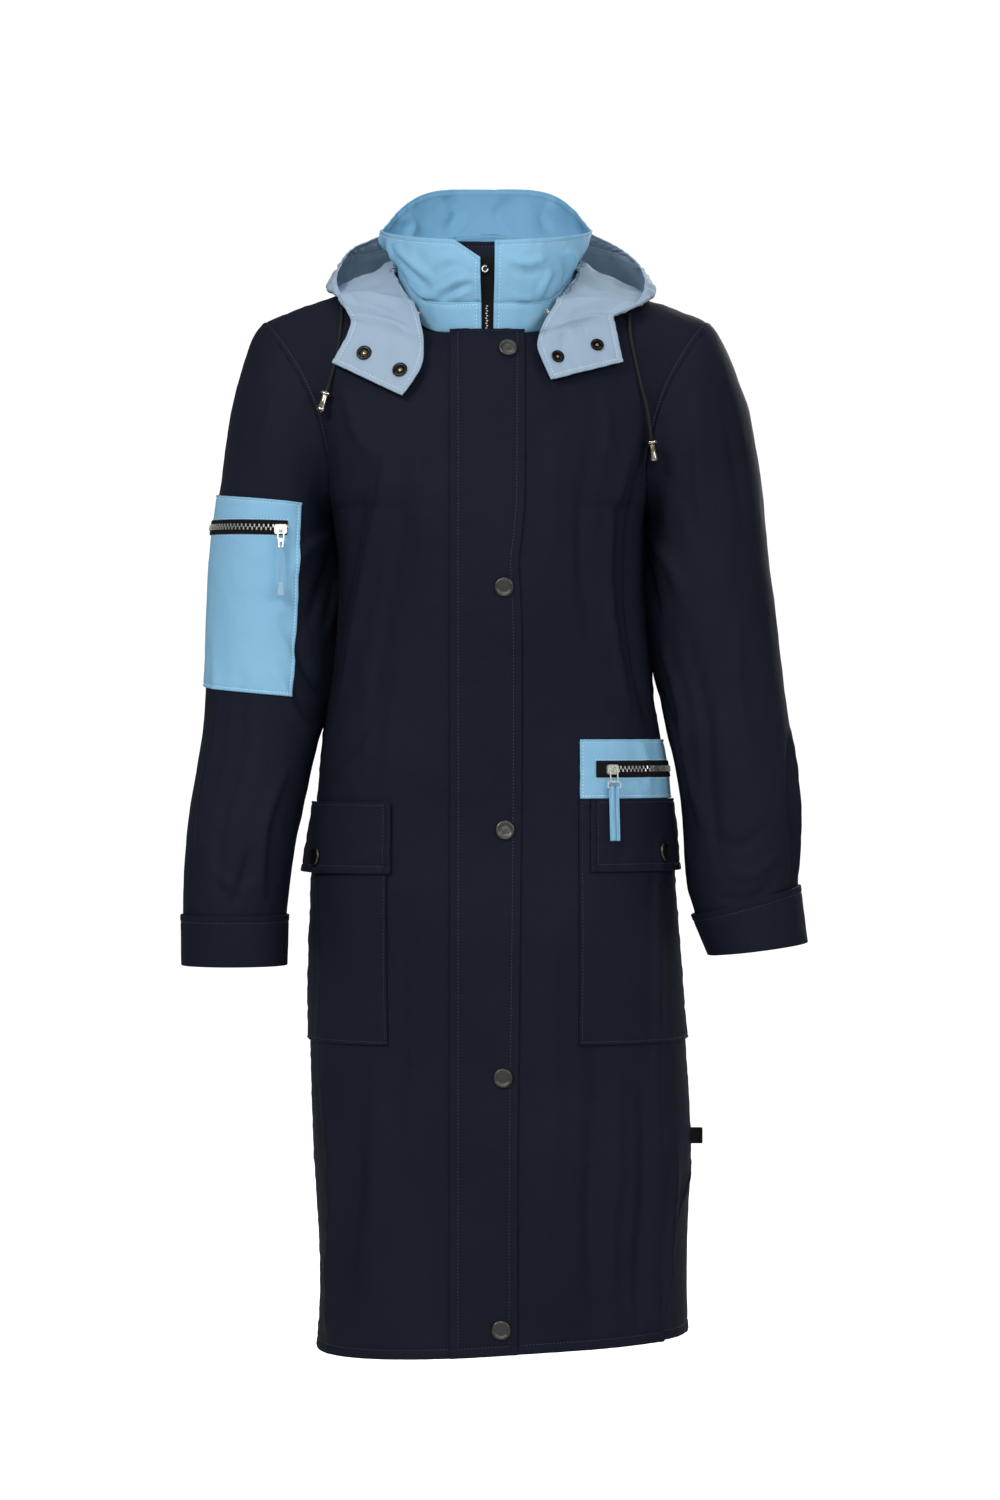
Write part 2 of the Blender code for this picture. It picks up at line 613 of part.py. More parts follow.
def coat_levels():
    """Levels of the rows: even up to the underarm, then closer towards the shoulder."""
    lower = spaced(0, 1, HEM_TO_UNDERARM_ROWS)
    upper = [1 + math.sin(math.radians(90 * i / ARMHOLE_ROWS)) for i in range(1, ARMHOLE_ROWS)]
    return lower + upper + [2]


def coat_panel(name, columns_at, inset=None):
    """One cut panel of the body. columns_at gives the angles of its columns at a height."""
    levels = coat_levels()
    angles = [columns_at(coat(90, level).z) for level in levels]
    grid = [[coat(angle, level, inset) for angle in row] for row, level in zip(angles, levels)]

    def inward(i, j, own):
        level, angle = levels[i], (angles[i][j] + 180) % 360 - 180
        at_side = abs(abs(angle) - 90) < 1
        if level < 2 and not at_side:
            return own
        if level < 1:
            return Vector((own.x, 0, own.z)).normalized()
        side = LEFT if angle > 0 else RIGHT
        if at_side:
            return seam_inward(side, grid[i][j], own, level - 1)
        front = abs(angle) < 90
        share = abs(angle) / 90 if front else (180 - abs(angle)) / 90
        if share < NECK_SHARE - 0.01:
            turn = 90 * share / NECK_SHARE
            return neck_inward(side * (turn if front else 180 - turn))
        if share < NECK_SHARE + 0.01:
            return Vector((-side, 0, -1)).normalized()
        return Vector((0, 0, -1))

    wall(name, grid, "navy_cloth", inward=inward)
    return grid


def seam_inward(side, point, own, rise):
    """Where the inner points of the armhole seam lie, the same for body and sleeve."""
    middle = (SHOULDER_TIP[side] + body(side * 90, UNDERARM_Z)) / 2
    return (own.lerp((middle - point).normalized(), rise)).normalized()


def left_seam(z):
    return read(LEFT_VENT, "front_angle", z)


def underlap(z):
    """Where the back's left edge lies: at the seam, and under the front in the vent."""
    under = min(max((VENT_FREE - left_seam(z)) / VENT_UNDERLAP, 0), 1)
    return left_seam(z) + SEAM_ANGLE - (VENT_UNDERLAP + SEAM_ANGLE) * under


def vent_inset(angle, z):
    """How far the back is set in where it runs under the front's edge."""
    seam = left_seam(z)
    if angle >= 90 or seam > 90 - SEAM_ANGLE:
        return 0
    share = min((90 - angle) / (90 - seam), 1)
    return VENT_INSET * share * min((90 - seam) / 3, 1)


def quarter(middle, seam):
    """Column angles from the middle of the front to a side seam."""
    neck = spaced(middle, NECK_ANGLE, NECK_COLUMNS)
    return neck + spaced(NECK_ANGLE, seam, SHOULDER_COLUMNS)[1:]


def back_columns(z):
    """Column angles of the back. The ones at its left shift with the vent."""
    left = spaced(underlap(z), 180 - NECK_ANGLE, SHOULDER_COLUMNS)
    neck = spaced(180 - NECK_ANGLE, 180 + NECK_ANGLE, 2 * NECK_COLUMNS)
    right = spaced(180 + NECK_ANGLE, 270 - SEAM_ANGLE, SHOULDER_COLUMNS)
    return left + neck[1:-1] + right


def body_panels():
    """Two fronts and one back."""
    right = [-angle for angle in reversed(quarter(FRONT_EDGE[RIGHT], 90 - SEAM_ANGLE))]
    return [
        coat_panel("front_right", lambda z: right),
        coat_panel("front_left", lambda z: quarter(FRONT_EDGE[LEFT], left_seam(z) - SEAM_ANGLE)),
        coat_panel("back", back_columns, vent_inset),
    ]


# ------------------------------------------------------------------ sleeves
def blended(sections, place):
    """The section at any place along a sleeve, between the rows of its table."""
    values = [read(sections, name, place) for name in Section._fields[1:]]
    return Section(place, *values)


def sleeve_turns():
    """Turns round a sleeve that meet the rows of the body's panels at the armhole."""
    rises = [math.sin(math.radians(90 * i / ARMHOLE_ROWS)) for i in range(ARMHOLE_ROWS)] + [1]
    return [math.degrees(math.acos(2 * rise - 1)) for rise in rises]


def sleeve_point(side, place, turn):
    """A point of a sleeve. turn is 0 at the outer line, 90 in front and 180 at the inner line."""
    section = blended(SLEEVES[side], place)
    outer = Vector((side * section.outer_x, section.centre_y, section.outer_z))
    inner = Vector((side * section.inner_x, section.centre_y, section.inner_z))
    centre, half = (outer + inner) / 2, (outer - inner) / 2
    angle = math.radians(turn)
    point = centre + half * math.cos(angle)
    point.y -= section.half_depth * math.sin(angle)
    share = min(place / SLEEVE_BLEND, 1)
    if share == 1:
        return point
    seam = armhole(side, turn)
    start = blended(SLEEVES[side], 0)
    first = Vector((side * (start.outer_x + start.inner_x) / 2, start.centre_y, 0))
    first.z = (start.outer_z + start.inner_z) / 2
    reach = Vector((side * (start.outer_x - start.inner_x) / 2, 0, 0))
    reach.z = (start.outer_z - start.inner_z) / 2
    oval = first + reach * math.cos(angle)
    oval.y -= start.half_depth * math.sin(angle)
    return point + (seam - oval) * (1 - share) ** 2


def sleeve(side):
    """One sleeve, a tube from the armhole to inside the cuff."""
    drops = sleeve_turns()
    front = drops[::-1]  # 0 at the tip up to 180 under the arm
    ring = front + [360 - drop for drop in drops[1:-1]]
    if side == LEFT:
        ring = list(reversed(ring))
    places = [section.share for section in SLEEVES[side] if section.share not in (1, 3)]
    rows = []
    for place in reversed(places):
        start = 0.004 if place == 0 else place
        rows.append([sleeve_point(side, start, turn) for turn in ring])

    def inward(i, j, own):
        if i < len(rows) - 1:
            return own
        rise = (1 + math.cos(math.radians(ring[j]))) / 2
        return seam_inward(side, rows[i][j], own, rise)

    name = "sleeve_left" if side == LEFT else "sleeve_right"
    return wall(name, rows, "navy_cloth", closed=True, inward=inward)


# ------------------------------------------------------------------ collar
def collar_rim(angle):
    """A point of the collar's top edge."""
    turn = math.radians(angle)
    side, ahead = math.sin(turn), math.cos(turn)
    if ahead > 0:
        z = RIM_SIDE_Z + (RIM_FRONT_Z - RIM_SIDE_Z) * ahead
        return Vector((RIM_HALF * side, RIM_FRONT_Y * ahead, z))
    z = RIM_SIDE_Z + (RIM_BACK_Z - RIM_SIDE_Z) * (1 - side**4)
    return Vector((RIM_HALF * side, -RIM_BACK_Y * ahead, z))


def collar(angle, part, cut=True):
    """A point of the collar: part runs from 0 at the neck seam to 1 at the top of
    the stand and 2 at the rim."""
    base = neckline(angle)
    out = Vector((base.x, base.y, 0)).normalized()
    stand_top = base + out * STAND_LEAN + Vector((0, 0, STAND_HEIGHT))
    if part <= 1:
        return base.lerp(stand_top, part)
    rim = collar_rim(angle)
    if cut and rim.y < 0 and rim.x < 0:
        rim.z -= POINT_CUT * max(1 + rim.x / POINT_WIDTH, 0)
    rise = part - 1
    return stand_top.lerp(rim, rise) + out * COLLAR_BULGE * math.sin(math.pi * rise)


def collar_band(name, start, end, rows, finish_name):
    """The stand or the collar: a band right round the neck, open in front."""
    left = spaced(FRONT_EDGE[LEFT] / NECK_SHARE, 90, NECK_COLUMNS)
    back = spaced(90, 270, 2 * NECK_COLUMNS)
    right = spaced(270, 360 - FRONT_EDGE[RIGHT] / NECK_SHARE, NECK_COLUMNS)
    angles = left + back[1:-1] + right
    parts = spaced(start, end, rows)
    grid = [[collar(angle, part) for angle in angles] for part in parts]
    for angle, point in zip(angles, grid[0]):
        point.z += GAP * (1 + neck_slope(angle))

    def inward(i, j, own):
        if 0 < i < rows:
            return own
        if parts[i] == 0:
            return neck_inward(angles[j])
        return Vector((-grid[i][j].x, -grid[i][j].y, 0)).normalized()

    wall(name, grid, finish_name, inward=inward)
    return grid


def closure_point(x, z):
    """A point of the collar's line across its opening, seen from the front at x and z."""
    angle = math.degrees(math.asin(x / NECK_HALF))
    low, high = 0.0, 2.0
    for _ in range(24):
        part = (low + high) / 2
        point = collar(angle, part, cut=False)
        if point.z < z:
            low = part
        else:
            high = part
    return Vector((x, point.y, z))


# ------------------------------------------------------------------ hood
def strip_points(side, strip):
    """Four points across a tab, lying over the chest."""
    points = []
    for share in spaced(0, 1, 3):
        x = strip.inner_x + (strip.outer_x - strip.inner_x) * share
        z = strip.inner_z + (strip.outer_z - strip.inner_z) * share
        points.append(front_point(side * x, z, strip.lift))
    return points


def fold_points(side, fold):
    """Four points that guide a fold of the hood, from the neck to its edge."""
    inner = Vector((side * fold.inner_x, fold.inner_y, fold.inner_z))
    edge = Vector((side * fold.edge_x, fold.edge_y, fold.edge_z))
    out = Vector((edge.x, edge.y, 0)).normalized()
    near = inner.lerp(edge, 0.4) - Vector((0, 0, fold.sag))
    far = edge + out * fold.bulge - Vector((0, 0, fold.drop))
    return [inner, near, far, edge]


def hood_guides(side):
    """The guide points of one side of the hood, a row for each place from 0 at
    the tab's end to 12 at the middle of the back."""
    rows = [strip_points(side, strip) for strip in TABS[side]]
    rows += [fold_points(side, fold) for fold in FOLDS[side] + POUCH_FOLDS]
    return rows


def between(points, place):
    """A point on a smooth curve through evenly numbered points."""
    low = min(int(place), len(points) - 2)
    f = place - low
    before, after = points[max(low - 1, 0)], points[min(low + 2, len(points) - 1)]
    start, end = points[low], points[low + 1]
    start_slope, end_slope = (end - before) / 2, (after - start) / 2
    step = f * f * (3 - 2 * f)
    bend = start_slope * (f - 2 * f**2 + f**3) + end_slope * (f**3 - f**2)
    return start.lerp(end, step) + bend


def across(guides, share):
    """A point along a fold: a cubic curve on its four guide points."""
    rest = 1 - share
    inner, near, far, edge = guides
    return (
        inner * rest**3
        + near * (3 * rest**2 * share)
        + far * (3 * rest * share**2)
        + edge * share**3
    )


def hood(guides, under, place, share):
    """A point of the hood's upper face, kept off the coat and collar under it."""
    point = across([between([row[k] for row in guides], place) for k in range(4)], share)
    if share == 0 and place >= SEWN_FROM:
        place, normal, _, _ = under.find_nearest(point)
        return place + normal * SEWN_CLEARANCE
    for _ in range(4):
        point = clear_of(under, point, HOOD_CLEARANCE)
    return point


def hood_grid(under):
    """The whole hood: a row for each fold from the right tab's end, round the
    back, to the left tab's end, and the rows at which it is cut."""
    middle = POUCH_FOLDS[-1].place
    places = [step / HOOD_ROWS for step in range(middle * HOOD_ROWS + 1)]
    folds = [(RIGHT, place) for place in places] + [(LEFT, place) for place in places[-2::-1]]
    guides = {side: hood_guides(side) for side in (RIGHT, LEFT)}
    shares = spaced(1, 0, HOOD_COLUMNS)
    grid = [[hood(guides[side], under, place, share) for share in shares] for side, place in folds]
    cut = int(HOOD_SEAM_PLACE * HOOD_ROWS)
    return grid, [0, cut, len(grid) - 1 - cut, len(grid) - 1]


def hood_panels(under):
    """Two sides with their tabs, and the middle panel behind."""
    grid, cuts = hood_grid(under)
    normals, panels = grid_normals(grid, False), []
    for name, first, last in zip(("hood_right", "hood_middle", "hood_left"), cuts, cuts[1:]):
        rows = [list(row) for row in grid[first : last + 1]]
        for row, following in ((rows[0], rows[1]), (rows[-1], rows[-2])):
            for k, point in enumerate(row):
                row[k] = point + (following[k] - point).normalized() * HALF_GAP
        wall(name, rows, "hood_cloth", normals=normals[first : last + 1])
        panels.append(rows)
    return panels


# ------------------------------------------------------------------ pieces laid on the coat
def angle_for(x, level):
    """The angle at which a level of the front has this x."""
    low, high = -89.9, 89.9
    for _ in range(24):
        angle = (low + high) / 2
        if coat(angle, level).x < x:
            low = angle
        else:
            high = angle
    return angle


def level_at(angle, z):
    """The level of a height on the skirt."""
    bottom = hem_z(angle)
    return (z - bottom) / (UNDERARM_Z - bottom)


def front_lines():
    """The angles of all columns of the two fronts."""
    right = [-angle for angle in reversed(quarter(FRONT_EDGE[RIGHT], 90 - SEAM_ANGLE))]
    return right + quarter(FRONT_EDGE[LEFT], 90 - SEAM_ANGLE)


def laid(angle, level, lift):
    """A point moved out from the fronts' flat facets, so that what lies on them stays clear."""
    columns, rows = front_lines(), coat_levels()
    i = max(k for k in range(len(rows) - 1) if rows[k] <= level + 1e-9)
    j = max([k for k in range(len(columns) - 1) if columns[k] <= angle] or [0])
    up = (level - rows[i]) / (rows[i + 1] - rows[i])
    along = (angle - columns[j]) / (columns[j + 1] - columns[j])
    low = coat(columns[j], rows[i]).lerp(coat(columns[j + 1], rows[i]), along)
    high = coat(columns[j], rows[i + 1]).lerp(coat(columns[j + 1], rows[i + 1]), along)
    below, above = coat(angle, level - 0.01), coat(angle, min(level + 0.01, 2))
    side = coat(angle + 0.5, level) - coat(angle - 0.5, level)
    return low.lerp(high, up) + side.cross(above - below).normalized() * lift


def directions(feet, heads):
    """Unit directions from one row of points to another."""
    return [(head - foot).normalized() for foot, head in zip(feet, heads)]


def rows_inside(first, last, bottom, top):
    """The fronts' rows that lie well between two heights at both of two angles,
    as their height in the middle and their level."""
    rows = []
    for level in coat_levels():
        heights = [coat(angle, level).z for angle in (first, last)]
        if min(heights) > bottom + 0.004 and max(heights) < top - 0.004:
            rows.append((coat((first + last) / 2, level).z, level))
    return rows


def overlay(name, span, ends, lift, finish_name, thickness=CLOTH):
    """A wall on the fronts that follows their columns and rows.

    span(z) gives the angles of its left and right edge, ends the heights of
    its lower and upper edge, lift(angle, z) how far its inner face stands off.
    """
    bottom, top = ends
    spans = [span(bottom), span(top)]
    first, last = max(pair[0] for pair in spans), min(pair[1] for pair in spans)
    inside = [angle for angle in front_lines() if first + 0.3 < angle < last - 0.3]
    rows = [(bottom, None)] + rows_inside(first, last, bottom, top) + [(top, None)]
    outer, normals = [], []
    for z, level in rows:
        left, right = span(z)
        angles = [left] + inside + [right]
        places = [level_at(angle, z) if level is None else level for angle in angles]
        lifts = [lift(angle, z) for angle in angles]
        feet = [laid(*place) for place in zip(angles, places, lifts)]
        heads = [laid(angle, place, off + thickness) for angle, place, off in zip(angles, places, lifts)]
        outer.append(heads)
        normals.append(directions(feet, heads))
    wall(name, outer, finish_name, thickness=thickness, normals=normals)
    return outer


def patch(name, shape, lift, finish_name, thickness=CLOTH):
    """A pocket, flap, patch or tape that reaches round towards a side seam."""

    def span(z):
        down = (shape.top_z - z) / (shape.top_z - shape.bottom_z)
        inner = angle_at(shape.top_x + (shape.bottom_x - shape.top_x) * down, z)
        return tuple(sorted((inner, shape.outer_angle)))

    def stand_off(angle, z):
        down = (shape.top_z - z) / (shape.top_z - shape.bottom_z)
        start = angle_at(shape.top_x, shape.top_z)
        out = (angle - start) / (shape.outer_angle - start)
        return lift + shape.flare * max(out, 0) ** 2 * down

    return overlay(name, span, (shape.bottom_z, shape.top_z), stand_off, finish_name, thickness)


def pockets():
    """Both pockets with their flaps, and the zipped patch over the left one."""
    built = {}
    for side, word in ((RIGHT, "right"), (LEFT, "left")):
        patch("pocket_" + word, POCKETS[side], ON_COAT, "navy_cloth")
        built[side] = patch("flap_" + word, FLAPS[side], ON_PATCH, "navy_cloth")
    patch("waist_patch", WAIST_PATCH, ON_COAT, "blue_cloth")
    patch("waist_zip_tape", WAIST_TAPE, ON_PATCH, "black_cord", TAPE_THICKNESS)
    return built


def placket():
    """The strip over the opening. Its top edge turns up over the foot of the stand."""
    levels = coat_levels()

    def edges(level):
        z = coat(0, level).z
        return angle_for(PLACKET_LEFT_X, level), angle_for(read(PLACKET_EDGE, "x", z), level)

    inside = [angle for angle in front_lines() if abs(angle) < 10.5]
    outer, normals = [], []
    for level in levels:
        left, right = edges(level)
        angles = [left] + inside + [right]
        feet = [laid(angle, level, GAP) for angle in angles]
        heads = [laid(angle, level, GAP + CLOTH) for angle in angles]
        if level == 2:
            feet = [on_seam(angle, GAP) for angle in angles]
            heads = [on_seam(angle, GAP + CLOTH) for angle in angles]
        outer.append(heads)
        normals.append(directions(feet, heads))
    top = [on_stand(angle, GAP) for angle in angles]
    outer.append([on_stand(angle, GAP + CLOTH) for angle in angles])
    normals.append(directions(top, outer[-1]))
    wall("placket", outer, "navy_cloth", normals=normals)
    return outer


def on_seam(angle, lift):
    """A point off the neck seam's outer corner, between the coat's face and the stand's."""
    turn = angle / NECK_SHARE
    base = neckline(turn)
    out = Vector((base.x, base.y, 0)).normalized()
    return base + (out * 1.1 + Vector((0, 0, 0.6))) * lift


def on_stand(angle, lift):
    """A point off the stand's foot."""
    turn = angle / NECK_SHARE
    base = neckline(turn)
    rise = (PLACKET_TOP_Z - base.z) / STAND_HEIGHT
    out = Vector((base.x, base.y, 0)).normalized()
    return collar(turn, rise) + out * lift


def on_collar(angle, part, lift):
    """A point off the flat facets of the stand or collar, over an angle of the coat."""
    columns = front_lines()
    j = max([k for k in range(len(columns) - 1) if columns[k] <= angle] or [0])
    along = (angle - columns[j]) / (columns[j + 1] - columns[j])
    ends = [collar(columns[k] / NECK_SHARE, part, cut=False) for k in (j, j + 1)]
    point = ends[0].lerp(ends[1], along)
    return point + Vector((point.x, point.y, 0)).normalized() * lift


def behind(angle, place, depth):
    """A point behind the fronts (place up to 2) or behind the collar (2 and more)."""
    if place < 2:
        return laid(angle, place, -depth)
    if place == 2:
        return on_collar(angle, 0, -depth) - Vector((0, 0, depth))
    return on_collar(angle, place - 2, -depth)


def opening_strip(name, edges, ends, depth, thickness, finish_name):
    """The zip's tape or the wind flap, upright behind the fronts and the collar.

    edges are x values, ends the height of its foot and the collar's part at its top.
    """
    levels = [level for level in coat_levels() if coat(0, level).z > ends[0] + 0.01]
    places = [level_at(0, ends[0])] + levels
    places += [2 + part for part in (0.5, 1, 1.2, 1.4, 1.6, 1.8) if part < ends[1]] + [2 + ends[1]]
    narrow = [angle_for(x, 2) for x in edges]
    inside = [angle for angle in front_lines() if narrow[0] + 0.3 < angle < narrow[1] - 0.3]
    outer, normals = [], []
    for place in places:
        angles = [angle_for(x, min(place, 2)) for x in edges]
        angles = angles[:1] + inside + angles[1:]
        heads = [behind(angle, place, depth) for angle in angles]
        feet = [behind(angle, place, depth + thickness) for angle in angles]
        outer.append(heads)
        normals.append(directions(feet, heads))
    wall(name, outer, finish_name, thickness=thickness, normals=normals)


# ------------------------------------------------------------------ pieces laid on the right sleeve
def sleeve_ring():
    """The turns of a sleeve's columns, all the way round."""
    drops = sleeve_turns()
    return sorted(drops + [-drop for drop in drops[1:-1]])


def laid_on_sleeve(turn, place, lift):
    """A point moved out from the right sleeve's flat facets."""
    ring = sleeve_ring()
    j = max(k for k in range(len(ring) - 1) if ring[k] <= turn)
    along = (turn - ring[j]) / (ring[j + 1] - ring[j])
    row = int(place)
    rows = [
        sleeve_point(RIGHT, k, ring[j]).lerp(sleeve_point(RIGHT, k, ring[j + 1]), along)
        for k in (row, row + 1)
    ]
    around = sleeve_point(RIGHT, place, turn + 1) - sleeve_point(RIGHT, place, turn - 1)
    down = sleeve_point(RIGHT, place + 0.05, turn) - sleeve_point(RIGHT, place - 0.05, turn)
    return rows[0].lerp(rows[1], place - row) + down.cross(around).normalized() * lift


def sleeve_place(turn, z):
    """The place along the right sleeve at which it has this height."""
    low, high = 2.0, 13.0
    for _ in range(24):
        place = (low + high) / 2
        if sleeve_point(RIGHT, place, turn).z > z:
            low = place
        else:
            high = place
    return place


def sleeve_overlay(name, shape, lift, finish_name, thickness=CLOTH):
    """A patch or tape round the front of the right sleeve."""
    turns = [t for t in sleeve_ring() if shape.last_turn + 2 < t < shape.first_turn - 2]
    turns = [shape.last_turn] + turns + [shape.first_turn]
    columns = []
    for turn in turns:
        share = (turn - shape.last_turn) / (shape.first_turn - shape.last_turn)
        top_z = shape.last_z + (shape.first_z - shape.last_z) * share
        top, bottom = sleeve_place(turn, top_z), sleeve_place(turn, top_z - shape.height)
        columns.append((turn, top, bottom))
    first = int(max(top for _, top, _ in columns)) + 1
    last = int(min(bottom for _, _, bottom in columns))
    outer, normals = [], []
    for k in range(last - first + 4):
        spots = [(turn, sleeve_row(top, bottom, first, last, k)) for turn, top, bottom in columns]
        feet = [laid_on_sleeve(*spot, lift) for spot in spots]
        heads = [laid_on_sleeve(*spot, lift + thickness) for spot in spots]
        outer.append(heads)
        normals.append(directions(feet, heads))
    outer.reverse()
    normals.reverse()
    wall(name, outer, finish_name, thickness=thickness, normals=normals)
    return outer


def sleeve_row(top, bottom, first, last, k):
    """The place of row k: the top edge, each of the sleeve's own rows, the bottom edge."""
    if k == 0:
        return top
    if k == last - first + 3:
        return bottom
    return min(max(first - 2 + k, top + 0.04), bottom - 0.04)


def cuff(side):
    """A band round the end of a sleeve, whose columns meet the sleeve's."""
    bottom, top = CUFFS[side]
    ring = sleeve_ring()
    turns = ring if side == RIGHT else list(reversed(ring))
    grid = []
    for share in spaced(0, 1, 2):
        values = [low + (high - low) * share for low, high in zip(bottom, top)]
        section = Section(*values)
        outer = Vector((side * section.outer_x, section.centre_y, section.outer_z))
        inner = Vector((side * section.inner_x, section.centre_y, section.inner_z))
        row = []
        for turn in turns:
            angle = math.radians(turn)
            point = (outer + inner) / 2 + (outer - inner) / 2 * math.cos(angle)
            point.y -= section.half_depth * math.sin(angle)
            row.append(point)
        grid.append(row)
    wall("cuff_left" if side == LEFT else "cuff_right", grid, "navy_cloth", closed=True)


# ------------------------------------------------------------------ trims
def loft(name, rings, finish_name):
    """A solid through rings of points, closed at both ends."""
    mesh = bmesh.new()
    loops = [[mesh.verts.new(point) for point in ring] for ring in rings]
    count = len(rings[0])
    for low, high in zip(loops, loops[1:]):
        for j in range(count):
            k = (j + 1) % count
            mesh.faces.new((low[j], low[k], high[k], high[j]))
    mesh.faces.new(list(reversed(loops[0])))
    mesh.faces.new(loops[-1])
    bmesh.ops.recalc_face_normals(mesh, faces=mesh.faces)
    data = bpy.data.meshes.new(name)
    mesh.to_mesh(data)
    mesh.free()
    return add(name, data, finish_name)


def turned(name, foot, axis, profile, finish_name, segments=12):
    """A solid of revolution. profile holds radius and distance along the axis."""
    axis = axis.normalized()
    across = axis.orthogonal().normalized()
    third = axis.cross(across)
    rings = []
    for radius, along in profile:
        ring = []
        for k in range(segments):
            turn = 2 * math.pi * k / segments
            rim = across * math.cos(turn) + third * math.sin(turn)
            ring.append(foot + axis * along + rim * radius)
        rings.append(ring)
    return loft(name, rings, finish_name)


def tube(name, points, diameter, finish_name, sides=7, steps=4):
    """A round cord along a smooth curve through some points."""
    path = [between(points, k / steps) for k in range((len(points) - 1) * steps)] + [points[-1]]
    rings = []
    for k, centre in enumerate(path):
        ahead = (path[min(k + 1, len(path) - 1)] - path[max(k - 1, 0)]).normalized()
        across = ahead.cross(Vector((0, 1, 0))).normalized()
        third = ahead.cross(across)
        ring = []
        for j in range(sides):
            turn = 2 * math.pi * j / sides
            rim = across * math.cos(turn) + third * math.sin(turn)
            ring.append(centre + rim * diameter / 2)
        rings.append(ring)
    loft(name, rings, finish_name)
    return path


Frame = namedtuple("Frame", "origin along up out")


def frame_at(point, out):
    """Upright axes at a point of the cloth: along it, up and straight out."""
    level = Vector((out.x, out.y, 0)).normalized()
    return Frame(point, Vector((0, 0, 1)).cross(level), Vector((0, 0, 1)), level)


def tilted(frame, degrees):
    """The same axes with what hangs down swung outward by some degrees."""
    turn = Matrix.Rotation(math.radians(-degrees), 3, frame.along)
    return Frame(frame.origin, frame.along, turn @ frame.up, turn @ frame.out)


def in_frame(frame, along, up, out):
    return frame.origin + frame.along * along + frame.up * up + frame.out * out


def plate(name, frame, outline, low, high, finish_name):
    """A flat plate facing out, from an outline in millimetres along and up."""
    rings = [
        [in_frame(frame, x / 1000, z / 1000, level) for x, z in outline] for level in (low, high)
    ]
    return loft(name, rings, finish_name)


def extrusion(name, frame, outline, half_width, finish_name):
    """A bar along the zip from an outline in millimetres up and out."""
    rings = [
        [in_frame(frame, along, z / 1000, y / 1000) for z, y in outline]
        for along in (-half_width, half_width)
    ]
    return loft(name, rings, finish_name)


def combine(solid, operand, operation):
    """Join a helper to a solid or cut it out, and keep the helper out of sight."""
    operand.hide_render = True
    operand.display_type = "WIRE"
    change = solid.modifiers.new(operand.name, "BOOLEAN")
    change.operation = operation
    change.solver = "EXACT"
    change.object = operand


def cut_hole(solid, name, frame, outline):
    """Cut an outline in millimetres right through a flat plate."""
    hole = plate(name, frame, outline, -0.01, 0.01, "gunmetal")
    combine(solid, hole, "DIFFERENCE")


def rectangle(half_width, top, bottom, corner):
    """An outline with cut corners, in millimetres."""
    inner = half_width - corner
    return [
        (-inner, top),
        (inner, top),
        (half_width, top - corner),
        (half_width, bottom + corner),
        (inner, bottom),
        (-inner, bottom),
        (-half_width, bottom + corner),
        (-half_width, top - corner),
    ]


def slider(name, frame, lift):
    """A pocket zip's slider with the arch that carries its pull."""
    half, high = SLIDER_LENGTH * 500, SLIDER_WIDTH * 500
    top = lift + SLIDER_HEIGHT
    body_part = plate(name, frame, rectangle(half, high, -high, 1.5), lift, top, "gunmetal")
    base = Frame(frame.origin + frame.out * top, *frame[1:])
    arch = extrusion(name + "_arch", base, ARCH_OUTER + ARCH_INNER, ARCH_WIDTH / 2, "gunmetal")
    combine(body_part, arch, "UNION")
    return Frame(base.origin + frame.out * PULL_LIFT, *frame[1:])


def snap(name, foot, out, size, profile):
    """A round snap of some profile, seated just off the cloth."""
    shape = [(radius * size.diameter / 2, height * size.height) for radius, height in profile]
    turned(name, foot + out * SEAT, out, shape, "gunmetal")


def facing(tree, x, z):
    """The point of a skin seen from the front at x and z, and its outward normal."""
    place, normal, _, _ = tree.ray_cast(Vector((x, -1, z)), Vector((0, 1, 0)))
    return place, normal


def snaps(placket_grid, flap_grids, hood_grids, collar_grids):
    """All snaps, sockets and studs, each on the piece that carries it."""
    tree = skin([placket_grid])
    for k, size in enumerate(PLACKET_SNAPS):
        foot, out = facing(tree, size.x, size.z)
        snap("placket_snap_%d" % (k + 1), foot, out, size, DOME)
    hood_tree, collar_tree = skin(hood_grids), skin(collar_grids)
    for side, word in ((RIGHT, "right"), (LEFT, "left")):
        size = FLAP_SNAPS[side]
        foot, out = facing(skin([flap_grids[side]]), size.x, size.z)
        snap("flap_snap_" + word, foot, out, size, DOME)
        size = COLLAR_STUDS[side]
        foot, out = facing(collar_tree, size.x, size.z)
        snap("collar_stud_" + word, foot, out, size, STUD)
        for k, size in enumerate(HOOD_SOCKETS[side]):
            foot, out = facing(hood_tree, size.x, size.z)
            snap("hood_socket_%s_%d" % (word, k + 1), foot, out, size, DOME)


def waist_zip():
    """The slider of the waist patch with its ring and ribbon."""
    foot = front_point(*WAIST_SLIDER)
    frame = frame_at(foot, front_point(*WAIST_SLIDER, 1.0) - foot)
    axis = slider("waist_zip_slider", frame, ON_PATCH + TAPE_THICKNESS + 2 * GAP)
    hanging = tilted(axis, PULL_SWING)
    ring = plate("waist_zip_pull", hanging, PULL_OUTLINE, -WIRE / 2, WIRE / 2, "bright_metal")
    cut_hole(ring, "ring_upper_hole", hanging, rectangle(3.3, -0.6, -11.0, 0.6))
    cut_hole(ring, "ring_lower_hole", hanging, rectangle(6.0, -12.4, -17.3, 0.4))
    extrusion("waist_zip_ribbon", hanging, RIBBON_OUTLINE, 0.00475, "blue_cloth")


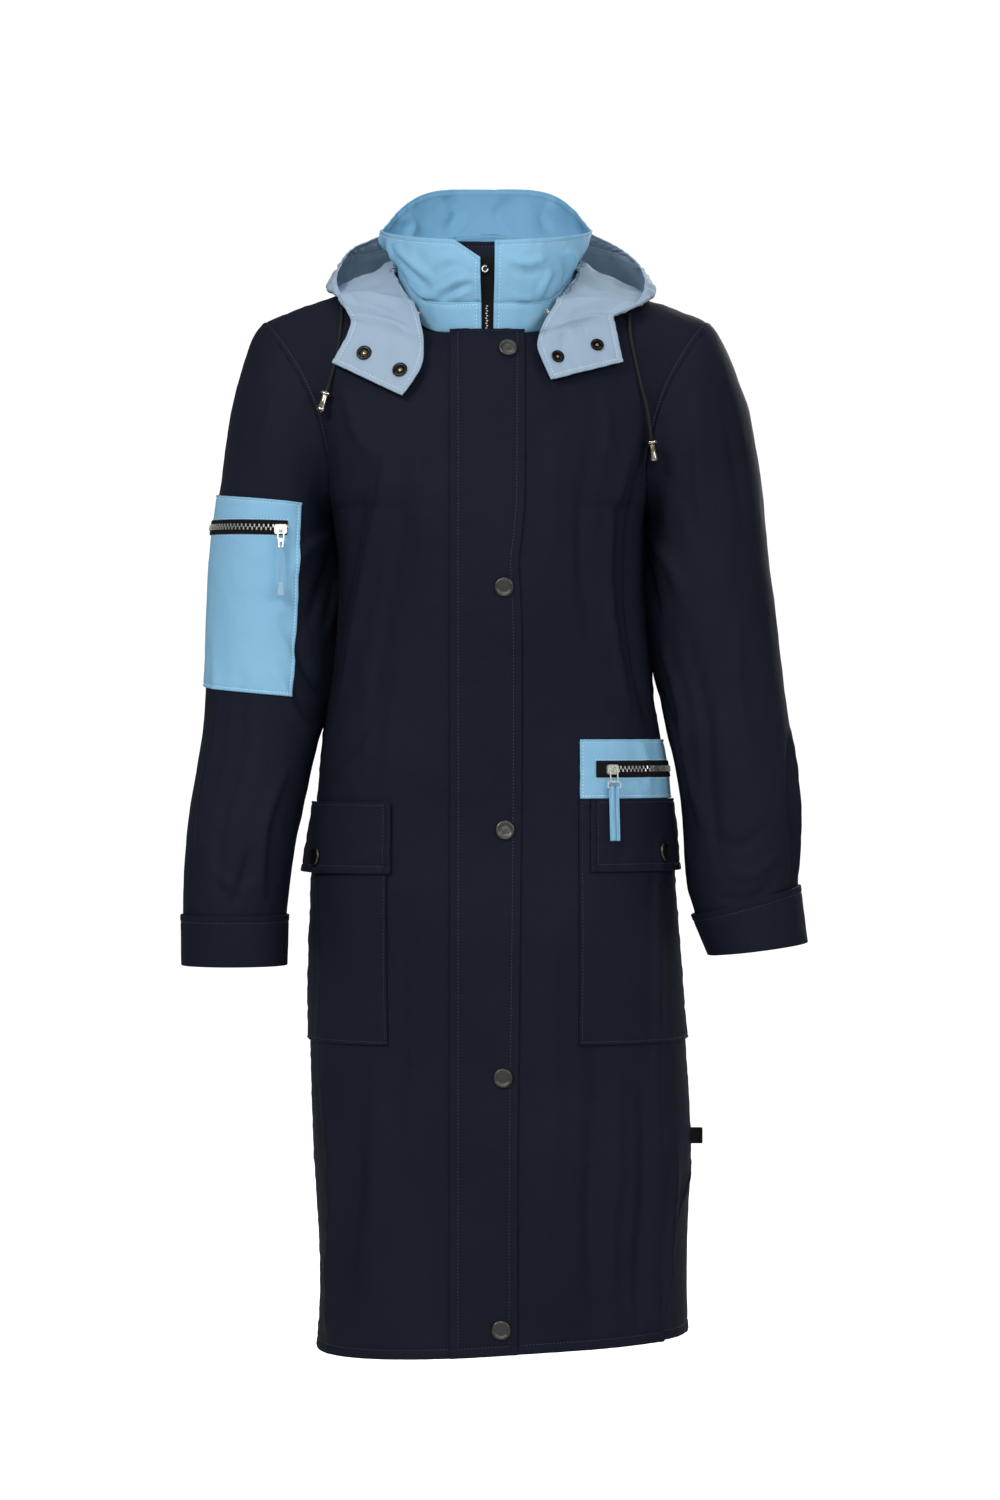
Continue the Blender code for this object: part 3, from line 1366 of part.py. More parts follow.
def sleeve_zip():
    """The slider of the sleeve's patch with its metal pull, cord and tab."""
    turn, z = SLEEVE_SLIDER
    place = sleeve_place(turn, z)
    foot = laid_on_sleeve(turn, place, 0)
    frame = frame_at(foot, laid_on_sleeve(turn, place, 1.0) - foot)
    axis = slider("sleeve_zip_slider", frame, ON_PATCH + TAPE_THICKNESS + 2 * GAP)
    hanging = tilted(axis, PULL_SWING)
    metal = plate("sleeve_zip_pull", hanging, SLEEVE_PULL_OUTLINE, -WIRE / 2, WIRE / 2, "bright_metal")
    cut_hole(metal, "pull_upper_hole", hanging, rectangle(2.3, -0.6, -9.0, 0.5))
    cut_hole(metal, "pull_lower_hole", hanging, rectangle(1.5, -12.4, -16.8, 0.4))
    cord = extrusion("sleeve_zip_tab", hanging, CORD_LOOP_OUTLINE, 0.0011, "hood_cloth")
    tab = plate("tab_end", hanging, rectangle(4, -53, -66, 0.8), -0.0022, 0.0022, "hood_cloth")
    combine(cord, tab, "UNION")


def main_slider():
    """The main zip's slider between the two ends of the collar."""
    place = closure_point(*MAIN_SLIDER)
    frame = frame_at(place, Vector((0, -1, 0)))
    body_part = plate("main_zip_slider", frame, rectangle(3.7, 5, -5, 1), -0.0014, 0.0022, "gunmetal")
    arc = [math.radians(60 + 300 * k / 12) for k in range(13)]
    inner, outer = MAIN_SLIDER_RING
    outline = [(outer * math.cos(a), outer * math.sin(a)) for a in arc]
    outline += [(inner * math.cos(a), inner * math.sin(a)) for a in reversed(arc)]
    ring = plate("slider_ring", frame, outline, 0.0020, 0.0042, "bright_metal")
    combine(body_part, ring, "UNION")


def drawcords():
    """The two free ends of the hood's cord with their metal ends."""
    for side, word in ((RIGHT, "right"), (LEFT, "left")):
        points = [front_point(bend.x, bend.z, bend.lift) for bend in CORDS[side]]
        path = tube("drawcord_" + word, points, CORD, "black_cord")
        down = (path[-1] - path[-2]).normalized()
        turned("cord_end_" + word, path[-1] + down * GAP, down, CORD_END, "gunmetal")


def side_label(front_grid):
    """A blank loop of tape sewn in at the front's edge, just above the left vent."""
    tree, heights = skin([front_grid]), (LABEL.top_z, LABEL.bottom_z)
    starts = []
    for z in heights:
        place, _, _, _ = tree.ray_cast(Vector((1, LABEL.y, z)), Vector((-1, 0, 0)))
        starts.append(place.x + 3 * GAP)
    corners = list(zip(starts, heights)) + [(LABEL.end_x, z) for z in reversed(heights)]
    half = LABEL.thickness / 2
    rings = [[Vector((x, LABEL.y + y, z)) for x, z in corners] for y in (-half, half)]
    loft("side_label", rings, "black_cord")


# ------------------------------------------------------------------ build
def clear():
    """Leave an empty scene."""
    for old in list(bpy.data.objects):
        bpy.data.objects.remove(old)


def main():
    clear()
    outer = body_panels()
    for side in (RIGHT, LEFT):
        sleeve(side)
        cuff(side)
    collars = [
        collar_band("collar_stand", 0, 1, 2, "blue_cloth"),
        collar_band("collar", 1, 2, 5, "blue_cloth"),
    ]
    hoods = hood_panels(skin(outer + collars))
    flaps = pockets()
    strip = placket()
    tape_x = (-TAPE_HALF, TAPE_HALF)
    opening_strip("main_zip_tape", tape_x, TAPE_ENDS, TAPE_DEPTH, TAPE_THICKNESS, "black_cord")
    opening_strip("wind_flap", WIND_FLAP_X, WIND_FLAP_ENDS, WIND_FLAP_DEPTH, CLOTH, "navy_cloth")
    sleeve_overlay("sleeve_patch", SLEEVE_PATCH, ON_COAT, "blue_cloth")
    sleeve_overlay("sleeve_zip_tape", SLEEVE_TAPE, ON_PATCH, "black_cord", TAPE_THICKNESS)
    snaps(strip, flaps, hoods, collars)
    waist_zip()
    sleeve_zip()
    main_slider()
    drawcords()
    side_label(outer[1])


main()
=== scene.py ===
# %% [markdown]
# # The looks of a hooded raincoat
#
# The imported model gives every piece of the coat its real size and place: closed
# walls of cloth, snaps, zips and cords. This lesson dresses it. Each cloth piece
# is made again as a fine thin shell on the same form, with its folds, turned
# edges and seams. Stitches and zip teeth are set along those edges, the trims
# get their turned profiles, and every surface gets a procedural finish.

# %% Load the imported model
import json
import math
from collections import namedtuple
from functools import lru_cache

import bpy
import numpy as np
from mathutils import Matrix, Vector, noise
from mathutils.bvhtree import BVHTree

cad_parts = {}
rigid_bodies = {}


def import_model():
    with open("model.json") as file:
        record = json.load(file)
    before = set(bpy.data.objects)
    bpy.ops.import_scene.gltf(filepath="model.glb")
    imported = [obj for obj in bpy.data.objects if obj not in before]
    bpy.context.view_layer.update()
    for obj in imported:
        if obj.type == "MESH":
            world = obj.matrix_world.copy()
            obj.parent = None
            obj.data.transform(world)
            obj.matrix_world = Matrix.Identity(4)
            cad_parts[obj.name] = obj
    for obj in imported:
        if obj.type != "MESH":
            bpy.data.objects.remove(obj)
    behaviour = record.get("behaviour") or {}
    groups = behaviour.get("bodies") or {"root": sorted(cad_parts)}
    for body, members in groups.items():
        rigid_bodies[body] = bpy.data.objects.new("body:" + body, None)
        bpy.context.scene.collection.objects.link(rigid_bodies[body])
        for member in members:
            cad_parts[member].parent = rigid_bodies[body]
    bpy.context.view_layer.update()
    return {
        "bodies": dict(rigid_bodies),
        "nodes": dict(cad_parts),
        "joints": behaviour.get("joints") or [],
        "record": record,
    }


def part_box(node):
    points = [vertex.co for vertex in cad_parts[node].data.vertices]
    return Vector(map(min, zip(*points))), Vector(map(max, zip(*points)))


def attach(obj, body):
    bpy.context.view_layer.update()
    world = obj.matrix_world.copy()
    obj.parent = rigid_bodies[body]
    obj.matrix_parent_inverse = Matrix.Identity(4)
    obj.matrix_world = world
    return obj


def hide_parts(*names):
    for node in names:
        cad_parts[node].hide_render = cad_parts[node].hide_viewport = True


for old in list(bpy.data.objects):
    bpy.data.objects.remove(old)
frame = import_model()
RIGHT, LEFT = -1, 1  # the wearer's sides, as signs of X
SIDES = ((RIGHT, "right"), (LEFT, "left"))

# %% [markdown]
# ## Camera, floor and light
#
# The coat is seen straight from the front at the height of its waist, from four
# metres, so that the lens flattens it very little. A pale floor and a white
# surround carry it, and five large soft lights shape it: a strong one from the
# upper left, weaker ones from the right and from near the camera, one from
# above for the shoulders and the hood, and one behind for the back.

# %% Camera
CAMERA_PLACE = Vector((0.013, -4.0, -0.484))
SENSOR = 36.0
SEEN_HEIGHT = 1.5  # metres of the coat's plane from the top to the bottom of the frame

lens = bpy.data.cameras.new("camera")
lens.sensor_fit = "VERTICAL"
lens.sensor_height = SENSOR
lens.lens = SENSOR * -CAMERA_PLACE.y / SEEN_HEIGHT
camera = bpy.data.objects.new("camera", lens)
camera.location = CAMERA_PLACE
camera.rotation_euler = (math.pi / 2, 0, 0)
bpy.context.scene.collection.objects.link(camera)
bpy.context.scene.camera = camera
bpy.context.scene.view_settings.view_transform = "Standard"
print("camera at", tuple(camera.location), "lens", round(lens.lens, 1), "mm")


# %% Nodes
def feed(tree, node, inputs):
    """Give a node its inputs, each one a value or another node's socket."""
    for title, value in inputs.items():
        if isinstance(value, bpy.types.NodeSocket):
            tree.links.new(value, node.inputs[title])
        else:
            node.inputs[title].default_value = value


def add_node(tree, kind, inputs=None, **settings):
    """A new node of some kind, with its settings and inputs."""
    node = tree.nodes.new(kind)
    for title, value in settings.items():
        setattr(node, title, value)
    feed(tree, node, inputs or {})
    return node


def math_node(tree, operation, *values):
    """One arithmetic step. Its operands are sockets or numbers."""
    return add_node(tree, "ShaderNodeMath", dict(enumerate(values)), operation=operation).outputs["Value"]


def new_material(name):
    made = bpy.data.materials.new(name)
    made.use_nodes = True
    return made, made.node_tree


print("nodes are fed by name")

# %% Floor and surround
FLOOR_Z = -1.30
FLOOR_SIZE = 30.0
WHITE = (1, 1, 1, 1)
CAMERA_RAY = "Is Camera Ray"


def link(piece):
    bpy.context.scene.collection.objects.link(piece)
    return piece


def floor_material(color, roughness, glow):
    """A pale matt floor that looks lit right through, and lights nothing itself."""
    made, tree = new_material("pale_floor")
    seen = add_node(tree, "ShaderNodeLightPath").outputs[CAMERA_RAY]
    look = {"Base Color": (*color, 1), "Roughness": roughness, "Emission Color": WHITE}
    look["Emission Strength"] = math_node(tree, "MULTIPLY", seen, glow)
    feed(tree, tree.nodes["Principled BSDF"], look)
    return made


half = FLOOR_SIZE / 2
corners = [(x * half, y * half, FLOOR_Z) for x, y in ((-1, -1), (1, -1), (1, 1), (-1, 1))]
floor_mesh = bpy.data.meshes.new("floor")
floor_mesh.from_pydata(corners, [], [(0, 1, 2, 3)])
floor_mesh.materials.append(floor_material((0.8, 0.8, 0.8), 0.9, 0.95))
floor = link(bpy.data.objects.new("floor", floor_mesh))

world = bpy.data.worlds.new("surround")
world.use_nodes = True
bpy.context.scene.world = world
tree = world.node_tree
backdrop = tree.nodes["Background"]
feed(tree, backdrop, {"Color": WHITE, "Strength": 1.05})
ambient = add_node(tree, "ShaderNodeBackground", {"Color": (0.93, 0.96, 1.0, 1), "Strength": 0.24})
seen = add_node(tree, "ShaderNodeLightPath").outputs[CAMERA_RAY]
lights = {"Fac": seen, 1: ambient.outputs["Background"], 2: backdrop.outputs["Background"]}
choice = add_node(tree, "ShaderNodeMixShader", lights)
feed(tree, tree.nodes["World Output"], {"Surface": choice.outputs["Shader"]})
print("floor", FLOOR_SIZE, "m wide at", FLOOR_Z)

# %% Lights
Lamp = namedtuple("Lamp", "name place aim size power")
LAMPS = [
    Lamp("key", (-1.6, -2.2, 1.3), (0, 0, -0.15), 1.0, 46),
    Lamp("fill", (2.3, -2.3, 0.8), (0, 0, -0.1), 1.6, 28),
    Lamp("front", (0.2, -3.6, 0.7), (0, 0, -0.1), 1.2, 26),
    Lamp("top", (0.1, -0.2, 1.9), (0, 0, -0.1), 1.0, 10),
    Lamp("back", (1.4, 2.8, 0.9), (0, 0, -0.4), 2.0, 45),
]
for row in LAMPS:
    light = bpy.data.lights.new(row.name, "AREA")
    light.shape = "DISK"
    light.size = row.size
    light.energy = row.power
    lamp = link(bpy.data.objects.new(row.name, light))
    lamp.location = row.place
    lamp.rotation_euler = (Vector(row.aim) - Vector(row.place)).to_track_quat("-Z", "Y").to_euler()
print(len(LAMPS), "lamps")

# %% [markdown]
# ## The coat's shape
#
# A coat is cut from flat panels, but worn it is a smooth shape all round. So it
# is described once, by rings for the body, sections for the sleeves, a neck
# seam, a collar above it and guide rows for the hood. Every panel, and every
# patch that lies on a panel, is a window on these shapes. The numbers are the
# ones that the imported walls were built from, so a fine shell lies on its wall.
# The tables of its points hold millimetres, everything else holds metres.


# %% Reading a table
def metres(kind, rows, plain=0):
    """Rows of some kind from a table in millimetres. Its first few numbers may stay plain."""
    return tuple(kind(*row[:plain], *(n / 1000 for n in row[plain:])) for row in rows)


@lru_cache(maxsize=None)
def column(rows, name):
    """The sorted keys and one named column of a table, with its slope at each row."""
    rows = sorted(rows)
    keys = [row[0] for row in rows]
    values = [getattr(row, name) for row in rows]
    slopes = []
    for i in range(len(keys)):
        before, after = max(i - 1, 0), min(i + 1, len(keys) - 1)
        slopes.append((values[after] - values[before]) / (keys[after] - keys[before]))
    return keys, values, slopes


def read(rows, name, at):
    """A named column of a table between its rows, on a smooth curve."""
    keys, values, slopes = column(rows, name)
    at = min(max(at, keys[0]), keys[-1])
    low = 0
    while low < len(keys) - 2 and keys[low + 1] <= at:
        low += 1
    span = keys[low + 1] - keys[low]
    f = (at - keys[low]) / span
    start, end = f - 2 * f**2 + f**3, f**3 - f**2
    curve = span * (slopes[low] * start + slopes[low + 1] * end)
    return values[low] + (values[low + 1] - values[low]) * f**2 * (3 - 2 * f) + curve


def bisect(low, high, too_low):
    """Where a rising quantity stops being too low."""
    for _ in range(22):
        middle = (low + high) / 2
        if too_low(middle):
            low = middle
        else:
            high = middle
    return (low + high) / 2


print("a root of two:", bisect(0, 2, lambda x: x * x < 2))

# %% Tables of the body
CLOTH = 0.0015  # one wall of cloth
SEAM_ANGLE = 0.06  # half the gap of a side seam, in degrees round the coat
Ring = namedtuple("Ring", "z right left front back")
BODY_RINGS = metres(Ring, (
    (-1090, 170, 202, 135, 140),
    (-994, 167, 200, 134, 139),
    (-874, 173, 204, 131, 135),
    (-774, 176, 198, 127, 130),
    (-714, 177, 193, 125, 126),
    (-614, 174, 185, 120, 118),
    (-554, 171, 183, 116, 112),
    (-494, 166.5, 177, 113, 107),
    (-454, 161, 170, 112, 105),
    (-400, 152, 162, 114, 106),
    (-340, 146.5, 156, 120, 110),
    (-300, 146.5, 155, 124, 113),
    (-245, 155, 158, 125, 115),
))
SQUARENESS = 2.4  # 2 would be an oval
UNDERARM_Z, HEM_Z = -0.245, -1.070
HEM_TILT = 0.008  # the hem hangs this much lower at the wearer's right

NECK_HALF, NECK_FRONT_Y, NECK_BACK_Y = 0.088, -0.085, 0.075
NECK_FRONT_Z, NECK_SIDE_Z, NECK_BACK_Z = -0.075, -0.018, 0.012
NECK_SHARE = 1 / 2  # share of a quarter's width that lies under the neck seam

SHOULDER_TIP = {RIGHT: Vector((-0.226, 0.005, -0.058)), LEFT: Vector((0.224, 0.005, -0.058))}
SHOULDER_CROWN = 0.006  # how far the shoulder line bows up
ARMHOLE_HALF_DEPTH = 0.068
ARMHOLE_HOLLOW = 0.022  # the armhole's seam runs in over the chest by this much
SHOULDER_ROUNDNESS = 0.7
FRONT_EDGE = {RIGHT: 1.8, LEFT: 2.3}  # each front stops short of the zip's teeth, degrees

# The wearer's left side seam is open below the label: the front's edge swings
# forward and the back runs on underneath it. A row is a height in metres and an
# angle.
Vent = namedtuple("Vent", "z front_angle")
LEFT_VENT = tuple(Vent(*row) for row in (
    (-1.09, 64), (-1.04, 65), (-0.986, 67.5), (-0.938, 72), (-0.9, 82.5), (-0.85, 90), (-0.2, 90),
))
VENT_FREE, VENT_UNDERLAP = 83.0, 9.0  # degrees
VENT_INSET = 0.0045
print("half width at the hem, right:", read(BODY_RINGS, "right", HEM_Z))


# %% The body
def hem_z(angle):
    return HEM_Z + HEM_TILT * math.sin(math.radians(angle))


def body(angle, z):
    """A point of the body below the underarm. Angles run from 0 in front, 90 at the left."""
    turn = math.radians(angle)
    half = read(BODY_RINGS, "left" if math.sin(turn) > 0 else "right", z)
    deep = read(BODY_RINGS, "front" if math.cos(turn) > 0 else "back", z)
    across = abs(math.sin(turn) / half) ** SQUARENESS
    along = abs(math.cos(turn) / deep) ** SQUARENESS
    radius = (across + along) ** (-1 / SQUARENESS)
    return Vector((radius * math.sin(turn), -radius * math.cos(turn), z))


def neckline(angle):
    """A point of the neck seam."""
    turn = math.radians(angle)
    side, ahead = math.sin(turn), math.cos(turn)
    if ahead > 0:
        z = NECK_SIDE_Z + (NECK_FRONT_Z - NECK_SIDE_Z) * (1 - side**6)
        return Vector((NECK_HALF * side, NECK_FRONT_Y * ahead, z))
    z = NECK_SIDE_Z + (NECK_BACK_Z - NECK_SIDE_Z) * ahead**2
    return Vector((NECK_HALF * side, -NECK_BACK_Y * ahead, z))


def top_edge(side, front, share):
    """The neck seam and then the shoulder seam, from the middle (0) to the tip (1)."""
    apart = Vector((0, -0.00015 if front else 0.00015, 0))
    if share <= NECK_SHARE:
        angle = 90 * share / NECK_SHARE
        return neckline(side * (angle if front else 180 - angle)) + apart
    along = (share - NECK_SHARE) / (1 - NECK_SHARE)
    crown = Vector((0, 0, SHOULDER_CROWN * math.sin(math.pi * along)))
    return neckline(side * 90).lerp(SHOULDER_TIP[side], along) + crown + apart


def armhole(side, turn):
    """A point of the armhole's seam: 0 at the shoulder tip, 90 in front, 180 under the arm."""
    turn = math.radians(turn)
    tip = SHOULDER_TIP[side]
    underarm = body(side * 90, UNDERARM_Z)
    drop = (1 - math.cos(turn)) / 2
    x = tip.x + (underarm.x - tip.x) * drop - side * ARMHOLE_HOLLOW * math.sin(turn) ** 2
    y = tip.y * (1 - drop) - ARMHOLE_HALF_DEPTH * math.sin(turn)
    return Vector((x, y, tip.z + (UNDERARM_Z - tip.z) * drop))


def coat(angle, level):
    """A point of the body: level 0 at the hem, 1 at the underarm, 2 at the top seams."""
    if level <= 1:
        bottom = hem_z(angle)
        return body(angle, bottom + (UNDERARM_Z - bottom) * level)
    angle = (angle + 180) % 360 - 180
    side = LEFT if angle > 0 else RIGHT
    front = abs(angle) < 90
    share = abs(angle) / 90 if front else (180 - abs(angle)) / 90
    rise = min(level - 1, 1)
    full = 1 - (1 - rise**3) ** SHOULDER_ROUNDNESS
    low, top = body(angle, UNDERARM_Z), top_edge(side, front, share)
    low_end, top_end = body(side * 90, UNDERARM_Z), top_edge(side, front, 1)
    turn = math.degrees(math.acos(2 * rise - 1))
    bend = armhole(side, turn if front else -turn) - low_end.lerp(top_end, full)
    point = low.lerp(top, full) + bend * share**3
    point.z = low.z + (top.z - low.z) * rise
    return point


print("left underarm", tuple(round(v, 4) for v in coat(90, 1)))


# %% Places on the body
def angle_at(x, z):
    """The angle at which the front of the skirt has this x."""
    half = read(BODY_RINGS, "left" if x > 0 else "right", z)
    deep = read(BODY_RINGS, "front", z)
    y = deep * max(1 - abs(x / half) ** SQUARENESS, 0) ** (1 / SQUARENESS)
    return math.degrees(math.atan2(x, y))


def level_at(angle, z):
    """The level of a height on the skirt."""
    bottom = hem_z(angle)
    return (z - bottom) / (UNDERARM_Z - bottom)


def front_place(x, z):
    """Angle and level of the point of the front that is seen at x and z."""
    if z <= UNDERARM_Z:
        angle = angle_at(x, z)
        return angle, level_at(angle, z)
    side = LEFT if x > 0 else RIGHT

    def place(share):
        top = top_edge(side, True, share)
        level = 1 + min((z - UNDERARM_Z) / (top.z - UNDERARM_Z), 1)
        return side * max(share * 90, 0.01), level

    return place(bisect(0.0, 1.0, lambda share: abs(coat(*place(share)).x) < abs(x)))


def front_point(x, z, lift=0.0, reach=0.002):
    """A point of the front seen at x and z, moved out by lift along its normal."""
    across = coat(*front_place(x + reach, z)) - coat(*front_place(x - reach, z))
    up = coat(*front_place(x, z + reach)) - coat(*front_place(x, z - reach))
    return coat(*front_place(x, z)) + across.cross(up).normalized() * lift


def left_seam(z):
    return read(LEFT_VENT, "front_angle", z)


def underlap(z):
    """Where the back's left edge lies: at the seam, and under the front in the vent."""
    under = min(max((VENT_FREE - left_seam(z)) / VENT_UNDERLAP, 0), 1)
    return left_seam(z) + SEAM_ANGLE - (VENT_UNDERLAP + SEAM_ANGLE) * under


def vent_inset(angle, z):
    """How far the back is set in where it runs under the front's edge."""
    seam = left_seam(z)
    if angle >= 90 or seam > 90 - SEAM_ANGLE:
        return 0.0
    return VENT_INSET * min((90 - angle) / (90 - seam), 1) * min((90 - seam) / 3, 1)


print("the vent's corner is at", round(left_seam(HEM_Z), 1), "degrees")

# %% Tables of the sleeves
# A section is given by its outer and its inner point as seen from the front,
# its half depth and how far its centre lies behind or before the shoulder line.
# Sections are numbered down the sleeve and up the cuff, from 0.
Section = namedtuple("Section", "place outer_x outer_z inner_x inner_z half_depth centre_y")
SLEEVE_OUTLINES = {
    RIGHT: (
        (226, -58, 155, -245), (234, -70, 155.6, -251), (241, -90, 155.8, -258),
        (248.5, -115, 155.6, -266), (255.5, -145, 155.2, -275), (261, -180, 154.5, -286),
        (267, -225, 153.5, -301), (274.5, -280, 152, -323), (278, -340, 152, -356),
        (280, -400, 155, -408), (282.5, -460, 166, -464), (288, -500, 174.5, -503),
        (295.5, -550, 184.5, -551), (299.5, -600, 193.5, -601), (301, -656, 199.8, -657),
    ),
    LEFT: (
        (224, -58, 158, -245), (232, -70, 159.2, -251), (241.5, -90, 160, -258),
        (251.5, -115, 160.4, -266), (261.5, -145, 160.6, -275), (268, -180, 160.8, -286),
        (275, -225, 161, -301), (280.5, -280, 161.2, -323), (288, -340, 162, -356),
        (294.5, -400, 169, -408), (302, -460, 179, -464), (307.5, -500, 188.5, -503),
        (311, -550, 195.5, -555), (310.5, -595, 198.5, -610), (308, -633, 210.5, -660),
    ),
}
SLEEVE_DEPTHS = (
    (68, 5), (69, 5), (70, 5), (71, 5), (71, 4), (70, 3), (69, 2), (67, 0), (65, -2), (63, -5),
    (61, -9), (59, -13), (57, -18), (54, -23), (52, -28),
)
CUFF_OUTLINES = {
    RIGHT: ((303, -696.6, 198, -696.6), (303.6, -647.5, 196.6, -647.5)),
    LEFT: ((318.5, -674, 219.5, -687), (311.5, -618, 203, -648)),
}
CUFF_DEPTHS = ((54, -30), (56, -27))


def sections(outlines, depths):
    """The sections of both sides, which have the same depths."""
    numbered = range(len(depths))
    return {
        side: metres(Section, [(k, *outlines[side][k], *depths[k]) for k in numbered], 1)
        for side in outlines
    }


SLEEVES = sections(SLEEVE_OUTLINES, SLEEVE_DEPTHS)
CUFFS = sections(CUFF_OUTLINES, CUFF_DEPTHS)
SLEEVE_BLEND = 3  # sections over which the armhole's curve becomes an oval
print({side: len(rows) for side, rows in SLEEVES.items()}, "sections")


# %% The sleeves
def section_point(sections, side, place, turn):
    """A point of a tube through sections: turn 0 at the outer line, 90 in front."""
    s = Section(place, *(read(sections, name, place) for name in Section._fields[1:]))
    return oval_point(s, side, turn)


def oval_point(section, side, turn):
    outer = Vector((side * section.outer_x, section.centre_y, section.outer_z))
    inner = Vector((side * section.inner_x, section.centre_y, section.inner_z))
    angle = math.radians(turn)
    point = (outer + inner) / 2 + (outer - inner) / 2 * math.cos(angle)
    point.y -= section.half_depth * math.sin(angle)
    return point


def sleeve_point(side, place, turn):
    """A point of a sleeve. Its top follows the armhole's seam."""
    point = section_point(SLEEVES[side], side, place, turn)
    share = min(place / SLEEVE_BLEND, 1)
    if share == 1:
        return point
    oval = section_point(SLEEVES[side], side, 0, turn)
    return point + (armhole(side, turn) - oval) * (1 - share) ** 2


def sleeve_place(turn, z):
    """The place along the right sleeve at which it has this height."""
    return bisect(2.0, 13.0, lambda place: sleeve_point(RIGHT, place, turn).z > z)


print("right elbow, front", tuple(round(v, 3) for v in sleeve_point(RIGHT, 9, 90)))

# %% The collar
STAND_HEIGHT, STAND_LEAN = 0.029, 0.004
RIM_HALF, RIM_FRONT_Y, RIM_BACK_Y = 0.105, -0.100, 0.100
RIM_FRONT_Z, RIM_SIDE_Z, RIM_BACK_Z = 0.013, 0.036, 0.090
COLLAR_BULGE = 0.004
POINT_CUT, POINT_WIDTH = 0.021, 0.032  # the cut at the right end's top corner


def collar_rim(angle):
    """A point of the collar's top edge."""
    turn = math.radians(angle)
    side, ahead = math.sin(turn), math.cos(turn)
    if ahead > 0:
        z = RIM_SIDE_Z + (RIM_FRONT_Z - RIM_SIDE_Z) * ahead
        return Vector((RIM_HALF * side, RIM_FRONT_Y * ahead, z))
    z = RIM_SIDE_Z + (RIM_BACK_Z - RIM_SIDE_Z) * (1 - side**4)
    return Vector((RIM_HALF * side, -RIM_BACK_Y * ahead, z))


def collar(angle, part, cut=True):
    """A point of the collar: part 0 at the neck seam, 1 at the top of the stand, 2 at the rim."""
    base = neckline(angle)
    out = Vector((base.x, base.y, 0)).normalized()
    stand_top = base + out * STAND_LEAN + Vector((0, 0, STAND_HEIGHT))
    if part <= 1:
        return base.lerp(stand_top, part)
    rim = collar_rim(angle)
    if cut and rim.y < 0 and rim.x < 0:
        rim.z -= POINT_CUT * max(1 + rim.x / POINT_WIDTH, 0)
    rise = part - 1
    return stand_top.lerp(rim, rise) + out * COLLAR_BULGE * math.sin(math.pi * rise)


print("back of the rim", tuple(round(v, 3) for v in collar(180, 2)))

# %% Tables of the hood
# The hood lies open. A row of a tab is a line across it from its inner to its
# outer edge, in x outwards and z, lifted off the chest. Above the tabs a row is
# a fold from the neck out to the hood's edge: sag lowers it beside the neck,
# drop and bulge shape its outer side. Rows are numbered up from the tab's end.
Strip = namedtuple("Strip", "inner_x inner_z outer_x outer_z lift")
TABS = {
    RIGHT: (
        (80.5, -141.5, 146.5, -107.5, 10), (69, -125, 139.5, -94.5, 10),
        (62.2, -110.5, 132.8, -80.5, 10), (61.8, -93, 130.2, -67, 9),
    ),
    LEFT: (
        (62, -127.5, 129.3, -108, 10), (51.5, -106, 127, -96, 10), (47.8, -95, 125.2, -85, 10),
        (50, -84, 123.3, -71, 10),
    ),
}
Fold = namedtuple("Fold", "inner_x inner_y inner_z edge_x edge_y edge_z sag drop bulge")
FOLDS = {
    RIGHT: (
        (63.2, -96, -74, 137.8, -68, -53, -4, 4, -10),
        (70.5, -70, -48, 145.5, -40, -33, -6, 12, 12),
        (85, -50, -31, 150, -12, -14, -4, 26, 30),
        (98.5, -25, -8, 148, 22, 4, 6, 50, 34),
        (101, 8, 4, 139, 58, 23, 30, 80, 34),
    ),
    LEFT: (
        (54.5, -95, -70, 125, -76, -56, -4, 4, -10),
        (68, -72, -45, 146, -56, -44, -6, 10, 10),
        (82.5, -50, -29, 156, -20, -26, -4, 20, 30),
        (94.5, -25, -8, 156, 18, -4, 6, 44, 36),
        (100, 8, 4, 144, 56, 17, 30, 76, 36),
    ),
}
POUCH_FOLDS = (
    (80, 42, 6, 123, 95, 36, 110, 160, 34),
    (62, 60, 14, 85, 140, 56, 230, 290, 40),
    (33, 76, 18, 44, 165, 52, 320, 370, 44),
    (0, 82, 20, 0, 174, 48, 350, 400, 46),
)
HOOD_END = 12  # the place in the middle of the back
HOOD_CLEARANCE = 0.0055  # from the coat and the collar to the hood's upper face
SEWN_FROM = 7  # from this place on its inner edge lies against the stand
SEWN_CLEARANCE = 0.0023
HOOD_SEAM_PLACE = 10.5
print(len(POUCH_FOLDS), "folds shape the pouch")


# %% The hood
def between(points, place):
    """A point on a smooth curve through evenly numbered points."""
    low = min(int(place), len(points) - 2)
    f = place - low
    before, after = points[max(low - 1, 0)], points[min(low + 2, len(points) - 1)]
    start, end = points[low], points[low + 1]
    bend = (end - before) / 2 * (f - 2 * f**2 + f**3) + (after - start) / 2 * (f**3 - f**2)
    return start.lerp(end, f * f * (3 - 2 * f)) + bend


def strip_points(side, strip):
    """Four points across a tab, lying over the chest."""
    points = []
    for share in (0, 1 / 3, 2 / 3, 1):
        x = strip.inner_x + (strip.outer_x - strip.inner_x) * share
        z = strip.inner_z + (strip.outer_z - strip.inner_z) * share
        points.append(front_point(side * x, z, strip.lift))
    return points


def fold_points(side, fold):
    """Four points that guide a fold of the hood, from the neck to its edge."""
    inner = Vector((side * fold.inner_x, fold.inner_y, fold.inner_z))
    edge = Vector((side * fold.edge_x, fold.edge_y, fold.edge_z))
    out = Vector((edge.x, edge.y, 0)).normalized()
    near = inner.lerp(edge, 0.4) - Vector((0, 0, fold.sag))
    far = edge + out * fold.bulge - Vector((0, 0, fold.drop))
    return [inner, near, far, edge]


